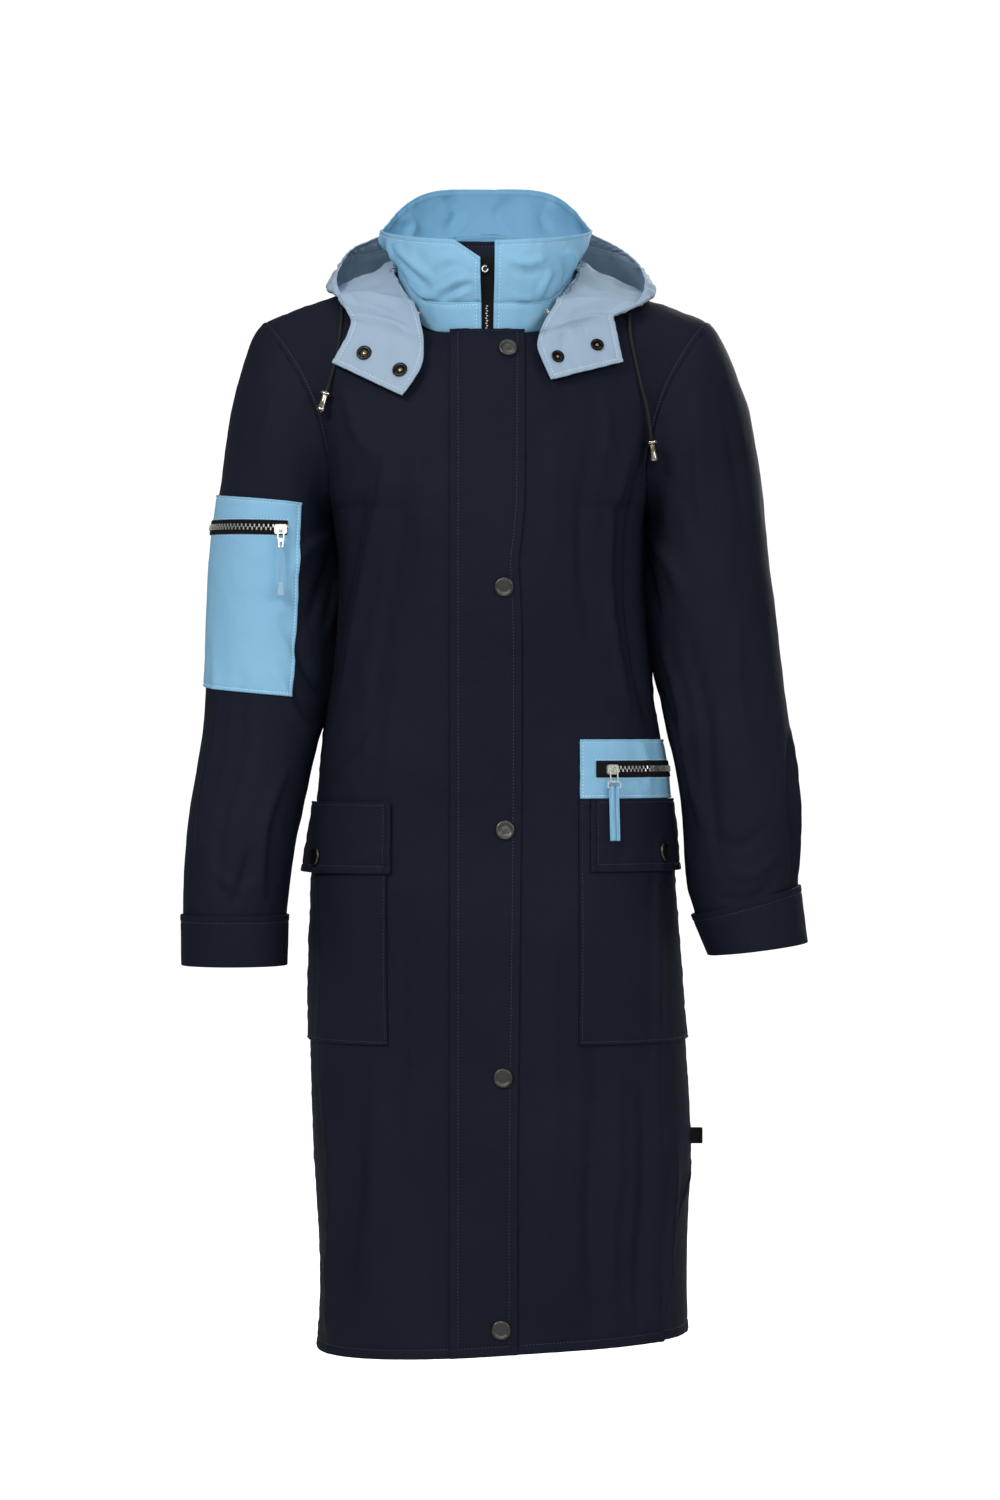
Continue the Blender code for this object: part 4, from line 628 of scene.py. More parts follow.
def guide_columns(side):
    """The guide points of one side of the hood, a list for each of the four columns."""
    rows = [strip_points(side, strip) for strip in metres(Strip, TABS[side])]
    rows += [fold_points(side, fold) for fold in metres(Fold, FOLDS[side] + POUCH_FOLDS)]
    return list(zip(*rows))


HOOD_GUIDES = {side: guide_columns(side) for side, _ in SIDES}


def hood_point(under, way, share):
    """A point of the hood's upper face. way runs from the right tab's end (0) round
    the back (12) to the left tab's end (24), share from the neck (0) to the edge (1)."""
    side, place = (RIGHT, way) if way <= HOOD_END else (LEFT, 2 * HOOD_END - way)
    inner, near, far, edge = (between(points, place) for points in HOOD_GUIDES[side])
    rest = 1 - share
    point = inner * rest**3 + near * (3 * rest**2 * share)
    point += far * (3 * rest * share**2) + edge * share**3
    if share <= 0 and place >= SEWN_FROM:
        seat, normal, _, _ = under.find_nearest(point)
        return seat + normal * SEWN_CLEARANCE
    for _ in range(3):
        seat, normal, _, _ = under.find_nearest(point)
        if (point - seat).dot(normal) < HOOD_CLEARANCE:
            point = seat + normal * HOOD_CLEARANCE
    return point


print("hood guides", {word: len(HOOD_GUIDES[side][0]) for side, word in SIDES})

# %% [markdown]
# ## Finishes
#
# The coat is a tightly woven cloth with a dull face, in navy, light blue and a
# pale grey-blue for the hood. Close up it is a plain weave, from a step away it
# is slightly uneven, with faint rubbed places. One node group draws the weave
# from the piece's own cut, so that the threads follow each panel, and one draws
# the crumple of worn cloth from object coordinates. Both put out heights and
# shades only, and each material mixes its own colours.


# %% The weave group
def new_group(name, title, value, outputs):
    """A shader node group with one named number going in and named numbers coming out."""
    group = bpy.data.node_groups.new(name, "ShaderNodeTree")
    number = {"socket_type": "NodeSocketFloat"}
    group.interface.new_socket(title, in_out="INPUT", **number).default_value = value
    for output in outputs:
        group.interface.new_socket(output, in_out="OUTPUT", **number)
    return group, group.nodes.new("NodeGroupInput").outputs[title]


def make_weave():
    """Threads over and under each other, from the cut's own metres."""
    group, thread = new_group("weave", "Thread", 0.0006, ("Height", "Shade"))
    cut = add_node(group, "ShaderNodeUVMap", uv_map="cut").outputs["UV"]
    parts = add_node(group, "ShaderNodeSeparateXYZ", {"Vector": cut})
    turns = math_node(group, "DIVIDE", math.pi, thread)
    warp, weft = (
        math_node(group, "SINE", math_node(group, "MULTIPLY", parts.outputs[axis], turns)) for axis in "XY"
    )
    crossing = math_node(group, "MULTIPLY", warp, weft)
    heights = {"Height": math_node(group, "ABSOLUTE", crossing)}
    heights["Shade"] = math_node(group, "MULTIPLY", crossing, 0.5)
    add_node(group, "NodeGroupOutput", heights)
    return group


def make_crumple():
    """Soft unevenness at two sizes, for bump and for rubbed colour."""
    group, scale = new_group("crumple", "Scale", 60.0, ("Height", "Rub"))
    place = add_node(group, "ShaderNodeTexCoord").outputs["Object"]
    noise_look = {"Vector": place, "Scale": scale, "Detail": 3.0, "Roughness": 0.55, "Distortion": 0.4}
    coarse = add_node(group, "ShaderNodeTexNoise", noise_look)
    wide = add_node(group, "ShaderNodeTexNoise", {"Vector": place, "Scale": 7.0, "Detail": 4.0})
    add_node(group, "NodeGroupOutput", {"Height": coarse.outputs["Fac"], "Rub": wide.outputs["Fac"]})
    return group


WEAVE = make_weave()
CRUMPLE = make_crumple()
print("groups", WEAVE.name, CRUMPLE.name)

# %% Cloth finishes
# A cloth is a dark and a light shade of its colour, a roughness, a gloss and in
# millimetres its thread and the depths of its crumple and its weave.
MIX_FACTOR, MIX_FIRST, MIX_SECOND, MIX_COLOR = 0, 6, 7, 2  # sockets of a colour mix
WEAVE_SHADE, RUBBED = 0.25, 0.05  # how much the weave shows, and how much rubbing smooths


def mix_colors(tree, factor, first, second):
    """A colour between two colours, by a factor socket."""
    colors = [(*value, 1) if isinstance(value, tuple) else value for value in (first, second)]
    inputs = {MIX_FACTOR: factor, MIX_FIRST: colors[0], MIX_SECOND: colors[1]}
    return add_node(tree, "ShaderNodeMix", inputs, data_type="RGBA").outputs[MIX_COLOR]


def mapped(tree, value, low, high):
    """A 0 to 1 value spread between two others."""
    spread = {"From Min": 0.25, "From Max": 0.75, "To Min": low, "To Max": high, "Value": value}
    return add_node(tree, "ShaderNodeMapRange", spread).outputs["Result"]


def bump(tree, height, depth, **under):
    """A normal bent by a height of some millimetres, over the one under it."""
    look = {"Distance": depth / 1000, "Height": height, **under}
    return add_node(tree, "ShaderNodeBump", look).outputs["Normal"]


def cloth_material(name, dark, light, roughness, gloss, thread, crumple_depth, weave_depth):
    made, tree = new_material(name)
    weave = add_node(tree, "ShaderNodeGroup", {"Thread": thread / 1000}, node_tree=WEAVE)
    crumple = add_node(tree, "ShaderNodeGroup", node_tree=CRUMPLE)
    rub = crumple.outputs["Rub"]
    tone = mix_colors(tree, mapped(tree, rub, 0.0, 1.0), dark, light)
    shade = math_node(tree, "ADD", weave.outputs["Shade"], 0.5)
    look = {"Specular IOR Level": gloss}
    look["Base Color"] = mix_colors(tree, math_node(tree, "MULTIPLY", shade, WEAVE_SHADE), tone, light)
    look["Roughness"] = mapped(tree, rub, roughness + RUBBED, roughness - RUBBED)
    soft = bump(tree, crumple.outputs["Height"], crumple_depth)
    look["Normal"] = bump(tree, weave.outputs["Height"], weave_depth, Normal=soft)
    feed(tree, tree.nodes["Principled BSDF"], look)
    return made


CLOTHS = (
    ("woven_navy", (0.0070, 0.0085, 0.0165), (0.0105, 0.0125, 0.0225), 0.62, 0.06, 0.6, 0.9, 0.06),
    ("woven_blue", (0.215, 0.450, 0.650), (0.245, 0.490, 0.690), 0.60, 0.25, 0.6, 0.8, 0.05),
    ("woven_hood", (0.275, 0.372, 0.482), (0.315, 0.412, 0.512), 0.55, 0.30, 0.5, 0.9, 0.04),
    ("zip_tape", (0.0040, 0.0042, 0.0050), (0.0070, 0.0072, 0.0080), 0.75, 0.12, 0.9, 0.2, 0.20),
    # The last blue is the same cloth made darker for the collar's inner faces: painted shade.
    ("woven_blue_painted_shade", (0.125, 0.310, 0.490), (0.150, 0.345, 0.525), 0.60, 0.25, 0.6, 0.8, 0.05),
)
NAVY, BLUE, HOOD, TAPE, BLUE_PAINTED_SHADE = (cloth_material(*row) for row in CLOTHS)
# The record's slot name for each cloth, by which the rows of stitches are sorted.
CLOTH_SLOTS = {NAVY: "navy_cloth", BLUE: "blue_cloth", HOOD: "hood_cloth", TAPE: "black_cord"}
print("cloths", [m.name for m in CLOTH_SLOTS])

# %% Threads, metals and cord
# Each is two shades, a roughness, how metallic it is, and the scale and the
# depth in millimetres of its grain.
GRAIN = 0.08  # how much the grain varies the roughness


def worn_material(name, dark, light, roughness, metallic, grain_scale, grain_depth):
    """A hard or corded surface with a fine grain and rubbed shade."""
    made, tree = new_material(name)
    crumple = add_node(tree, "ShaderNodeGroup", {"Scale": grain_scale}, node_tree=CRUMPLE)
    grain = crumple.outputs["Height"]
    look = {"Metallic": metallic, "Base Color": mix_colors(tree, grain, dark, light)}
    look["Roughness"] = mapped(tree, grain, roughness + GRAIN, roughness - GRAIN)
    look["Normal"] = bump(tree, grain, grain_depth)
    feed(tree, tree.nodes["Principled BSDF"], look)
    return made


TRIMS = (
    ("navy_thread", (0.020, 0.028, 0.052), (0.036, 0.048, 0.082), 0.5, 0.0, 900, 0.1),
    ("blue_thread", (0.60, 0.78, 0.90), (0.80, 0.92, 0.98), 0.5, 0.0, 900, 0.1),
    ("hood_thread", (0.62, 0.72, 0.84), (0.78, 0.86, 0.94), 0.5, 0.0, 900, 0.1),
    ("dark_bronze", (0.050, 0.050, 0.045), (0.110, 0.110, 0.100), 0.36, 1.0, 700, 0.04),
    ("dark_metal", (0.012, 0.012, 0.012), (0.030, 0.030, 0.028), 0.30, 1.0, 700, 0.04),
    ("aged_nickel", (0.34, 0.31, 0.25), (0.50, 0.46, 0.38), 0.19, 1.0, 500, 0.01),
    ("bright_nickel", (0.78, 0.76, 0.71), (0.92, 0.90, 0.85), 0.30, 0.85, 500, 0.03),
    ("braided_cord", (0.0020, 0.0020, 0.0022), (0.0060, 0.0060, 0.0065), 0.85, 0.0, 800, 0.3),
    ("blue_grey_cord", (0.24, 0.40, 0.54), (0.34, 0.52, 0.66), 0.6, 0.0, 900, 0.3),
    ("brass_heart", (0.30, 0.21, 0.10), (0.45, 0.32, 0.15), 0.34, 1.0, 500, 0.03),
)
NAVY_THREAD, BLUE_THREAD, HOOD_THREAD, *METALS_AND_CORDS = (worn_material(*row) for row in TRIMS)
BRONZE, DARK_METAL, AGED_NICKEL, NICKEL, BRAIDED, PULL_CORD, BRASS = METALS_AND_CORDS
print("trims", BRONZE.name, NICKEL.name, BRAIDED.name)

# %% [markdown]
# ## The drawcords
#
# The hood's cord comes out through its casing at both sides, just behind the
# tabs, and hangs down over the shoulder and chest to a metal end. It is a soft
# round braid that follows the cloth under it, so a tube along a smooth line
# through a few points is all that it needs.

# %% Solids
TAU = 2 * math.pi


def mesh_piece(name, points, faces, material, uvs=None):
    """A smooth mesh object of one material, in place, with its cut as UVs in metres."""
    mesh = bpy.data.meshes.new(name)
    mesh.from_pydata([tuple(p) for p in points], [], faces)
    layer = mesh.uv_layers.new(name="cut")
    if uvs is not None:
        layer.data.foreach_set("uv", np.asarray(uvs, float).ravel())
    mesh.materials.append(material)
    mesh.polygons.foreach_set("use_smooth", [True] * len(mesh.polygons))
    mesh.update()
    return link(bpy.data.objects.new(name, mesh))


def lofted(name, rings, material, body_name="coat"):
    """A solid through closed rings of points, capped at both ends."""
    count = len(rings[0])
    points = [point for ring in rings for point in ring]
    faces = []
    for low in range(0, (len(rings) - 1) * count, count):
        for j in range(count):
            k = (j + 1) % count
            faces.append((low + j, low + k, low + count + k, low + count + j))
    faces.append(tuple(reversed(range(count))))
    faces.append(tuple(range(len(points) - count, len(points))))
    piece = mesh_piece(name, points, faces, material)
    piece.data.set_sharp_from_angle(angle=math.radians(40))
    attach(piece, body_name)
    return piece


def circle(centre, across, third, radius, turns):
    """Points on a circle in the plane of two directions."""
    return [centre + (across * math.cos(t) + third * math.sin(t)) * radius for t in turns]


def turned(name, foot, axis, profile, material, segments=40):
    """A solid of revolution. profile holds radius and distance along the axis."""
    axis = axis.normalized()
    across = axis.orthogonal().normalized()
    third = axis.cross(across)
    turns = [TAU * k / segments for k in range(segments)]
    rings = [circle(foot + axis * along, across, third, radius, turns) for radius, along in profile]
    return lofted(name, rings, material)


def round_tube(name, path, diameter, material, sides=14, side_axis=None, body_name="coat"):
    """A round tube along a path of points, in rings square to it."""
    rings = []
    turns = [-TAU * j / sides for j in range(sides)]
    for k, centre in enumerate(path):
        ahead = (path[min(k + 1, len(path) - 1)] - path[max(k - 1, 0)]).normalized()
        across = side_axis if side_axis else ahead.cross(Vector((0, 1, 0))).normalized()
        rings.append(circle(centre, across, ahead.cross(across), diameter / 2, turns))
    return lofted(name, rings, material, body_name)


def smooth_path(points, steps):
    """A path through points, with some steps from each one to the next."""
    return [between(points, k / steps) for k in range((len(points) - 1) * steps)] + [points[-1]]


print("a cord is a tube along a smooth path")

# %% The cords' routes
CORD = 0.003
Bend = namedtuple("Bend", "x z lift")
CORDS = {
    RIGHT: ((-142.5, -47, 3), (-143.3, -71.1, 2.1), (-147.2, -103.2, 2.4), (-152.8, -134.1, 7.2)),
    LEFT: (
        (139.5, -56, 4), (140.5, -77.6, 2.4), (145.1, -103.4, 2.1), (149.8, -128.6, 3),
        (153.4, -151.9, 6), (154.8, -178.9, 8),
    ),
}
# Radius and distance along a cord end in millimetres, from the cord downwards:
# a flat button on top, a waist and a bell-shaped foot.
CORD_END = (
    (0.5, -0.1), (3.2, 0), (5.7, 0.6), (6.2, 1.7), (6, 2.9), (4.6, 3.7), (3.4, 4.5), (3, 8.5),
    (3.6, 13), (4.6, 17.5), (4.7, 19), (4.2, 20), (2.6, 20), (2.3, 18), (0.5, 17.5),
)


for side, word in SIDES:
    path = smooth_path([front_point(*bend) for bend in metres(Bend, CORDS[side])], 8)
    cord = round_tube("cord_" + word, path, CORD, BRAIDED)
    down = (path[-1] - path[-2]).normalized()
    profile = [(radius / 1000, along / 1000) for radius, along in CORD_END]
    end = turned("cord_bell_" + word, path[-1] + down * 0.0003, down, profile, AGED_NICKEL)
    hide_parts("drawcord_" + word)
    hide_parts("cord_end_" + word)

# %% [markdown]
# ## How a cloth piece is made
#
# A real panel is cut flat and sewn, so its edges are turned in, its seams sink a
# little and pucker, and the cloth between them folds where the body bends or the
# weight pulls. Sculpting by hand would lose the shared edges, and a simulation
# would move them. So a panel is a grid of points on the coat's shape, with lines
# close together where an edge or a row of stitches needs them. Each point moves
# along its normal by the folds, which are routes on the coat, and by the sink of
# seams and stitches. An inner face and a round rim make it a closed shell.

# %% Folds
Route = namedtuple("Route", "points width depth lean")
SOFTNESS = 0.7  # 2 gives a fold a round crest, 0 a sharp one
# Layers of noise: how fine across and up the coat, and a shift up.
SOFT_WAVES, CREASES, SMALL_WAVES = (11, 4, 0), (34, 21, 5), (85, 70, 9)


def routes(rows, place_of, unit=1):
    """Folds as paths in space. A row holds a fold's width and depth in millimetres, its
    lean and then pairs of numbers, which place_of turns into points."""
    made = []
    for width, depth, lean, *numbers in rows:
        pairs = zip(numbers[::2], numbers[1::2])
        path = smooth_path([place_of(a / unit, b / unit) for a, b in pairs], 6)
        made.append(Route(np.array([tuple(p) for p in path]), width / 1000, depth / 1000, lean))
    return made


def fold_height(routes, points, normals):
    """How far each of many points is moved out by the folds near it."""
    height = np.zeros(len(points))
    for path, width, depth, lean in routes:
        reach = width * (1 + abs(lean))
        inside = (points > path.min(axis=0) - reach) & (points < path.max(axis=0) + reach)
        near = np.flatnonzero(inside.all(axis=1))
        if not len(near):
            continue
        spots, out = points[near], normals[near]
        spans = np.linalg.norm(np.diff(path, axis=0), axis=1)
        starts = np.concatenate([[0], np.cumsum(spans)])
        distance = np.full(len(near), 9.0)
        along, side = np.zeros(len(near)), np.zeros(len(near))
        for k, span in enumerate(spans):
            step = path[k + 1] - path[k]
            t = np.clip((spots - path[k]) @ step / max(span**2, 1e-12), 0, 1)
            away = spots - path[k] - t[:, None] * step
            far = np.linalg.norm(away, axis=1)
            closer = far < distance
            distance[closer] = far[closer]
            along[closer] = (starts[k] + t * span)[closer]
            side[closer] = np.sign(np.einsum("ij,ij->i", np.cross(step, away), out))[closer]
        x = np.clip(distance / (width * (1 + lean * side)), 0, 1)
        shape = (1 - x) ** 2 * (1 + SOFTNESS * x)
        ends = np.sin(np.pi * np.clip(along / starts[-1], 0.001, 0.999)) ** 0.6
        height[near] += depth * shape * ends
    return height


def layer(spot, across, up, shift):
    x, y, z = spot
    return noise.noise(Vector((x * across, y * across, z * up + shift)))


def unevenness(points, wide, fine):
    """Wide soft waves and fine crumples, the same for pieces that lie on each other."""
    height = np.empty(len(points))
    for k, spot in enumerate(points):
        crumples = 0.4 - abs(layer(spot, *CREASES)) + 0.3 * layer(spot, *SMALL_WAVES)
        height[k] = wide * layer(spot, *SOFT_WAVES) + fine * crumples
    return height


print("folds have a crest of softness", SOFTNESS)

# %% Edges of a panel
# stitch is the distance of a row of stitches from the edge, or 0, and sink is how
# far the cloth falls into the seam there.
Edge = namedtuple("Edge", "stitch sink")
RAW = Edge(0, 0.0)
SEAM = Edge(0, 0.0010)
SINK_REACH = 0.0022
TURNED_RISE, TURNED_REACH = 0.0004, 0.001  # a turned edge is a little thicker
STITCH_SINK, STITCH_REACH = 0.0006, 0.0011
PUCKER, PUCKER_REACH = 0.0005, 0.011
NEAR_EDGE, NEAR_STITCH = [0, 0.0008], (-0.0012, 0, 0.0012, 0.0035)  # grid lines


def edge_lines(edge):
    """Distances from an edge at which the grid has lines."""
    if edge.stitch:
        return NEAR_EDGE + [edge.stitch + step for step in NEAR_STITCH if edge.stitch + step > 0.0012]
    return NEAR_EDGE + ([0.0020, 0.0045] if edge.sink else [0.0020])


def edge_height(edge, distance, along, pucker):
    """The sink, rise and pucker beside an edge. along is a place on it in metres."""
    height = -edge.sink * np.exp(-distance / SINK_REACH)
    beyond = distance - edge.stitch
    if edge.stitch:
        height += TURNED_RISE * np.clip(-beyond / TURNED_REACH, 0, 1)
        height -= STITCH_SINK * np.exp(-((beyond / STITCH_REACH) ** 2))
    if edge.stitch or edge.sink:
        wave = np.sin(along * 390 + 3 * np.sin(along * 41)) * np.sin(along * 97 + 2)
        height += pucker * wave * np.exp(-np.maximum(beyond, 0) / PUCKER_REACH)
    return height


def lines_over(span, first, last, steps):
    """Distances of all grid lines over a span: close at its edges and even between."""
    start = list(first)
    end = [span - d for d in reversed(last)]
    room = end[0] - start[-1]
    return start + [start[-1] + room * k / steps for k in range(1, steps)] + end


print("lines at a turned edge", edge_lines(Edge(0.006, 0)))


# %% The grid of a panel
def lengths_along(grid, axis):
    """Running lengths along the lines of a grid of points."""
    steps = np.linalg.norm(np.diff(grid, axis=axis), axis=2)
    start = np.zeros_like(steps.take([0], axis=axis))
    return np.concatenate([start, np.cumsum(steps, axis=axis)], axis=axis)


def evenly(lengths, shares, first, last, spacing):
    """Shares at which grid lines cross each of some lines with these running lengths."""
    steps = max(3, round(lengths[:, -1].max() / spacing))
    return np.array([np.interp(lines_over(run[-1], first, last, steps), run, shares) for run in lengths])


def placed_grid(at, left, right, bottom, top, spacing, closed):
    """The places (u, v) of a panel's grid, found on a coarse one."""
    us, vs = np.linspace(0, 1, 37), np.linspace(0, 1, 61)
    coarse = np.array([[tuple(at(u, v)) for u in us] for v in vs])
    first, last = ([0], [0]) if closed else (edge_lines(left), edge_lines(right))
    by_row = evenly(lengths_along(coarse, 1), us, first, last, spacing)
    by_column = evenly(lengths_along(coarse, 0).T, vs, edge_lines(bottom), edge_lines(top), spacing)
    v_line = by_column[len(by_column) // 2]
    u_line = by_row[len(by_row) // 2]
    u_grid = np.array([np.interp(v_line, vs, column) for column in by_row.T]).T
    v_grid = np.array([np.interp(u_line, us, row) for row in by_column.T])
    return u_grid, v_grid


def grid_normals(grid, closed):
    """Unit normals of a grid of points, pointing to its outer side."""
    if closed:
        wrapped = np.concatenate([grid[:, -2:-1], grid, grid[:, 1:2]], axis=1)
        across = wrapped[:, 2:] - wrapped[:, :-2]
    else:
        across = np.gradient(grid, axis=1)
    normals = np.cross(across, np.gradient(grid, axis=0))
    return normals / np.maximum(np.linalg.norm(normals, axis=2, keepdims=True), 1e-12)


print("grids are spaced by their own lengths")

# %% The shell of a panel
RIM_BULGE = 0.4  # how far a rim stands out, as a share of the cloth's thickness


def rim_loops(rows, columns, closed):
    """The places round each open edge of a grid, in order."""
    if closed:
        return [(0, i) for i in range(columns - 1)], [(rows - 1, i) for i in range(columns - 2, -1, -1)]
    loop = [(0, i) for i in range(columns - 1)] + [(j, columns - 1) for j in range(rows - 1)]
    loop += [(rows - 1, i) for i in range(columns - 1, 0, -1)]
    return (loop + [(j, 0) for j in range(rows - 1, 0, -1)],)


def rim_point(outer, inner, place, closed):
    """The middle of a rim at a place, a little outside the cloth's edge."""
    rows, columns = outer.shape[:2]
    j, i = place
    inward = min(max(j, 1), rows - 2), i if closed else min(max(i, 1), columns - 2)
    away = outer[place] - outer[inward]
    away /= max(np.linalg.norm(away), 1e-9)
    return tuple((outer[place] + inner[place]) / 2 + away * CLOTH * RIM_BULGE)


def shell_mesh(name, outer, inner, uv, material, closed):
    """A closed shell between two grids of points. A closed one repeats its first column last."""
    rows, columns = outer.shape[:2]
    count = columns - 1 if closed else columns
    points = [tuple(p) for grid in (outer, inner) for p in grid[:, :count].reshape(-1, 3)]
    faces, corners = [], []

    def index(place, layer):
        return layer * rows * count + place[0] * count + place[1] % count

    for j in range(rows - 1):
        for i in range(columns - 1):
            square = [(j, i), (j, i + 1), (j + 1, i + 1), (j + 1, i)]
            for layer, order in ((0, square), (1, square[::-1])):
                faces.append([index(place, layer) for place in order])
                corners += [tuple(uv[place]) for place in order]
    for loop in rim_loops(rows, columns, closed):
        start = len(points)
        points += [rim_point(outer, inner, place, closed) for place in loop]
        for k, place in enumerate(loop):
            after = (k + 1) % len(loop)
            faces.append([index(loop[after], 0), index(place, 0), start + k, start + after])
            faces.append([start + after, start + k, index(place, 1), index(loop[after], 1)])
            here, there = tuple(uv[place]), tuple(uv[loop[after]])
            corners += [there, here, here, there] * 2
    return mesh_piece(name, points, faces, material, corners)


print("a rim stands out by", CLOTH * RIM_BULGE * 1000, "mm")

# %% The height of a panel
HOLD_RISE, HOLD_REACH = 0.03, 0.022
WAVES = (0.0016, 0.0012)


def freedom(form, from_seam):
    """How freely the cloth may fold: not at all at the seam that holds a sleeve."""
    above = np.clip((form[..., 2] - UNDERARM_Z) / HOLD_RISE, 0, 1)
    return 1 - above * (1 - np.clip(from_seam / HOLD_REACH, 0, 1)) ** 2


def panel_height(form, normals, edges, routes, look):
    """How far each point of a panel stands out from its form."""
    left, right, bottom, top = edges
    across, up = lengths_along(form, 1), lengths_along(form, 0)
    points = form.reshape(-1, 3)
    height = fold_height(routes, points, normals.reshape(-1, 3))
    from_side = {"left": across, "right": across[:, -1:] - across}
    for side in look.get("held", ()):
        height *= freedom(form, from_side[side]).ravel()
    height += unevenness(points, *look.get("waves", WAVES))
    height = height.reshape(across.shape)
    pucker = look.get("pucker", PUCKER)
    if left is None:
        height[:, -1] = height[:, 0]
    else:
        height += edge_height(left, from_side["left"], up, pucker)
        height += edge_height(right, from_side["right"], up, pucker)
    height += edge_height(bottom, up, across, pucker)
    height += edge_height(top, up[-1:] - up, across, pucker)
    return height


print("waves", WAVES)

# %% A panel
SPACING = 0.005
LEAST_FILL = 0.4  # a fan fills less of its oblong, as its cut is folded round a narrower one
Shell = namedtuple("Shell", "piece outer normals lines")
SHELLS = {}


def flat_size(outer):
    """Width, length and area of the cut of a shell, in metres."""
    squares = np.cross(outer[1:, 1:] - outer[:-1, :-1], outer[1:, :-1] - outer[:-1, 1:])
    area = float(np.linalg.norm(squares, axis=2).sum() / 2)
    across, up = lengths_along(outer, 1), lengths_along(outer, 0)
    width, length = float(across[:, -1].max()), float(up[-1].max())
    if area < LEAST_FILL * width * length:
        length = float(up[-1].mean())
    width, length = round(width, 4), round(length, 4)
    return width, length, min(area, width * length)


def panel(name, at, edges, material, routes=(), lift=None, thickness=CLOTH, **look):
    """A cloth piece. at(u, v) is its form, edges are left, right, bottom and top, and lift
    is how far its lower face stands off the form, as a number or a function of the grid."""
    closed = edges[0] is None
    u_grid, v_grid = placed_grid(at, *edges, look.get("spacing", SPACING), closed)
    form = [[tuple(at(u, v)) for u, v in zip(us, vs)] for us, vs in zip(u_grid, v_grid)]
    form = np.array(form)
    if closed:
        form[:, -1] = form[:, 0]
    normals = grid_normals(form, closed)
    across, up = lengths_along(form, 1), lengths_along(form, 0)
    height = panel_height(form, normals, edges, routes, look)
    if "more" in look:
        height += look["more"](u_grid, v_grid, across, up)
    if lift is not None:
        height = height + ((lift(u_grid, v_grid) if callable(lift) else lift) + thickness)
    outer = form + normals * height[..., None]
    inner = outer - normals * thickness
    piece = shell_mesh(name + "_cloth", outer, inner, np.stack([across, up], axis=2), material, closed)
    # The inner faces may take a second material; the collar's is a darker blue that is painted shade.
    if "painted_shade_backing" in look:
        piece.data.materials.append(look["painted_shade_backing"])
        inside = np.zeros(len(piece.data.polygons), dtype=np.int32)
        inside[1 : 2 * (outer.shape[0] - 1) * (outer.shape[1] - 1) : 2] = 1
        piece.data.polygons.foreach_set("material_index", inside)
    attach(piece, look.get("body", "coat"))
    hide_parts(name)
    width, length, area = flat_size(outer)
    SHELLS[name] = Shell(piece, outer, normals, edges)
    print(name, outer.shape[:2], "cut %.0f x %.0f mm" % (width * 1000, length * 1000))


print("grid lines every", SPACING * 1000, "mm")

# %% [markdown]
# ## The body's panels
#
# Two fronts and one back, cut in navy cloth. The fronts stop at the zip, all
# three end in a stitched hem, and the left side seam opens into a vent. The coat
# hangs from the shoulders, so its folds start where something holds it: soft
# drags from the underarms, a dent below the bust and long easy folds down the
# skirt. Each fold is a row of places on the coat with a width, a depth that is
# positive for a ridge and negative for a trough, and a lean to one side.

# %% Folds of the body
# The fronts' folds are pairs of x and z in millimetres.
CHEST_FOLDS = (
    # right: a long light ridge with a trough on either side
    (13, 6.4, 0.35, -98, -190, -103, -225, -114, -285, -130, -363, -147, -440),
    (14, -5.6, -0.2, -118, -215, -128, -280, -142, -350),
    (20, -4.8, 0.3, -82, -230, -88, -300, -103, -380, -112, -440),
    (22, 2.6, -0.3, -60, -150, -66, -215, -63, -290),
    (14, 3.5, 0.3, -140, -130, -128, -175, -106, -205),
    (12, 3.2, 0.3, -104, -455, -125, -490, -150, -515),
    (14, 2.9, -0.3, -70, -395, -92, -450, -96, -505),
    # left: the deep shadowed trough beside the arm and its sharp ridge
    (17, -13.6, 0.3, 160, -175, 150, -222, 141, -285, 142, -350, 150, -410, 158, -455),
    (12, 5.4, -0.3, 150, -172, 136, -215, 121, -280, 122, -340, 131, -395, 143, -450),
    (20, -4.5, 0.3, 100, -190, 92, -245, 94, -320, 104, -385),
    (18, 2.4, 0.2, 62, -170, 66, -240, 61, -310),
    (13, 3.5, 0.3, 66, -400, 90, -430, 125, -447),
    (10, 3.2, 0, 148, -470, 156, -500, 158, -530),
    (12, 2.9, 0.3, 110, -135, 118, -170, 112, -205),
)
SKIRT_FOLDS = (
    (17, 8, 0.3, -163, -800, -153, -870, -150, -940, -156, -1010, -158, -1060),
    (22, -6.7, -0.2, -128, -800, -126, -890, -132, -980, -134, -1060),
    (20, 4.5, 0.3, -107, -780, -108, -880, -112, -960, -110, -1062),
    (20, 2.9, 0.3, -70, -610, -68, -700, -73, -800, -70, -900),
    (18, -3.5, 0.2, -50, -900, -55, -980, -52, -1060),
    (22, -6.1, 0.2, 103, -740, 106, -830, 100, -920, 104, -1055),
    (18, 5.1, -0.3, 126, -790, 128, -880, 121, -970, 124, -1055),
    (17, -6.1, 0.3, 150, -800, 153, -900, 147, -990, 149, -1055),
    (13, 4.2, 0.3, 166, -560, 166, -680, 165, -800, 169, -900),
    (18, 2.9, -0.3, 70, -640, 64, -740, 68, -860, 62, -960),
    (12, 7.2, 0.4, 186, -870, 181, -925, 176, -980, 176, -1050),
    (14, 3.5, 0.2, -166, -600, -160, -700, -166, -780),
)
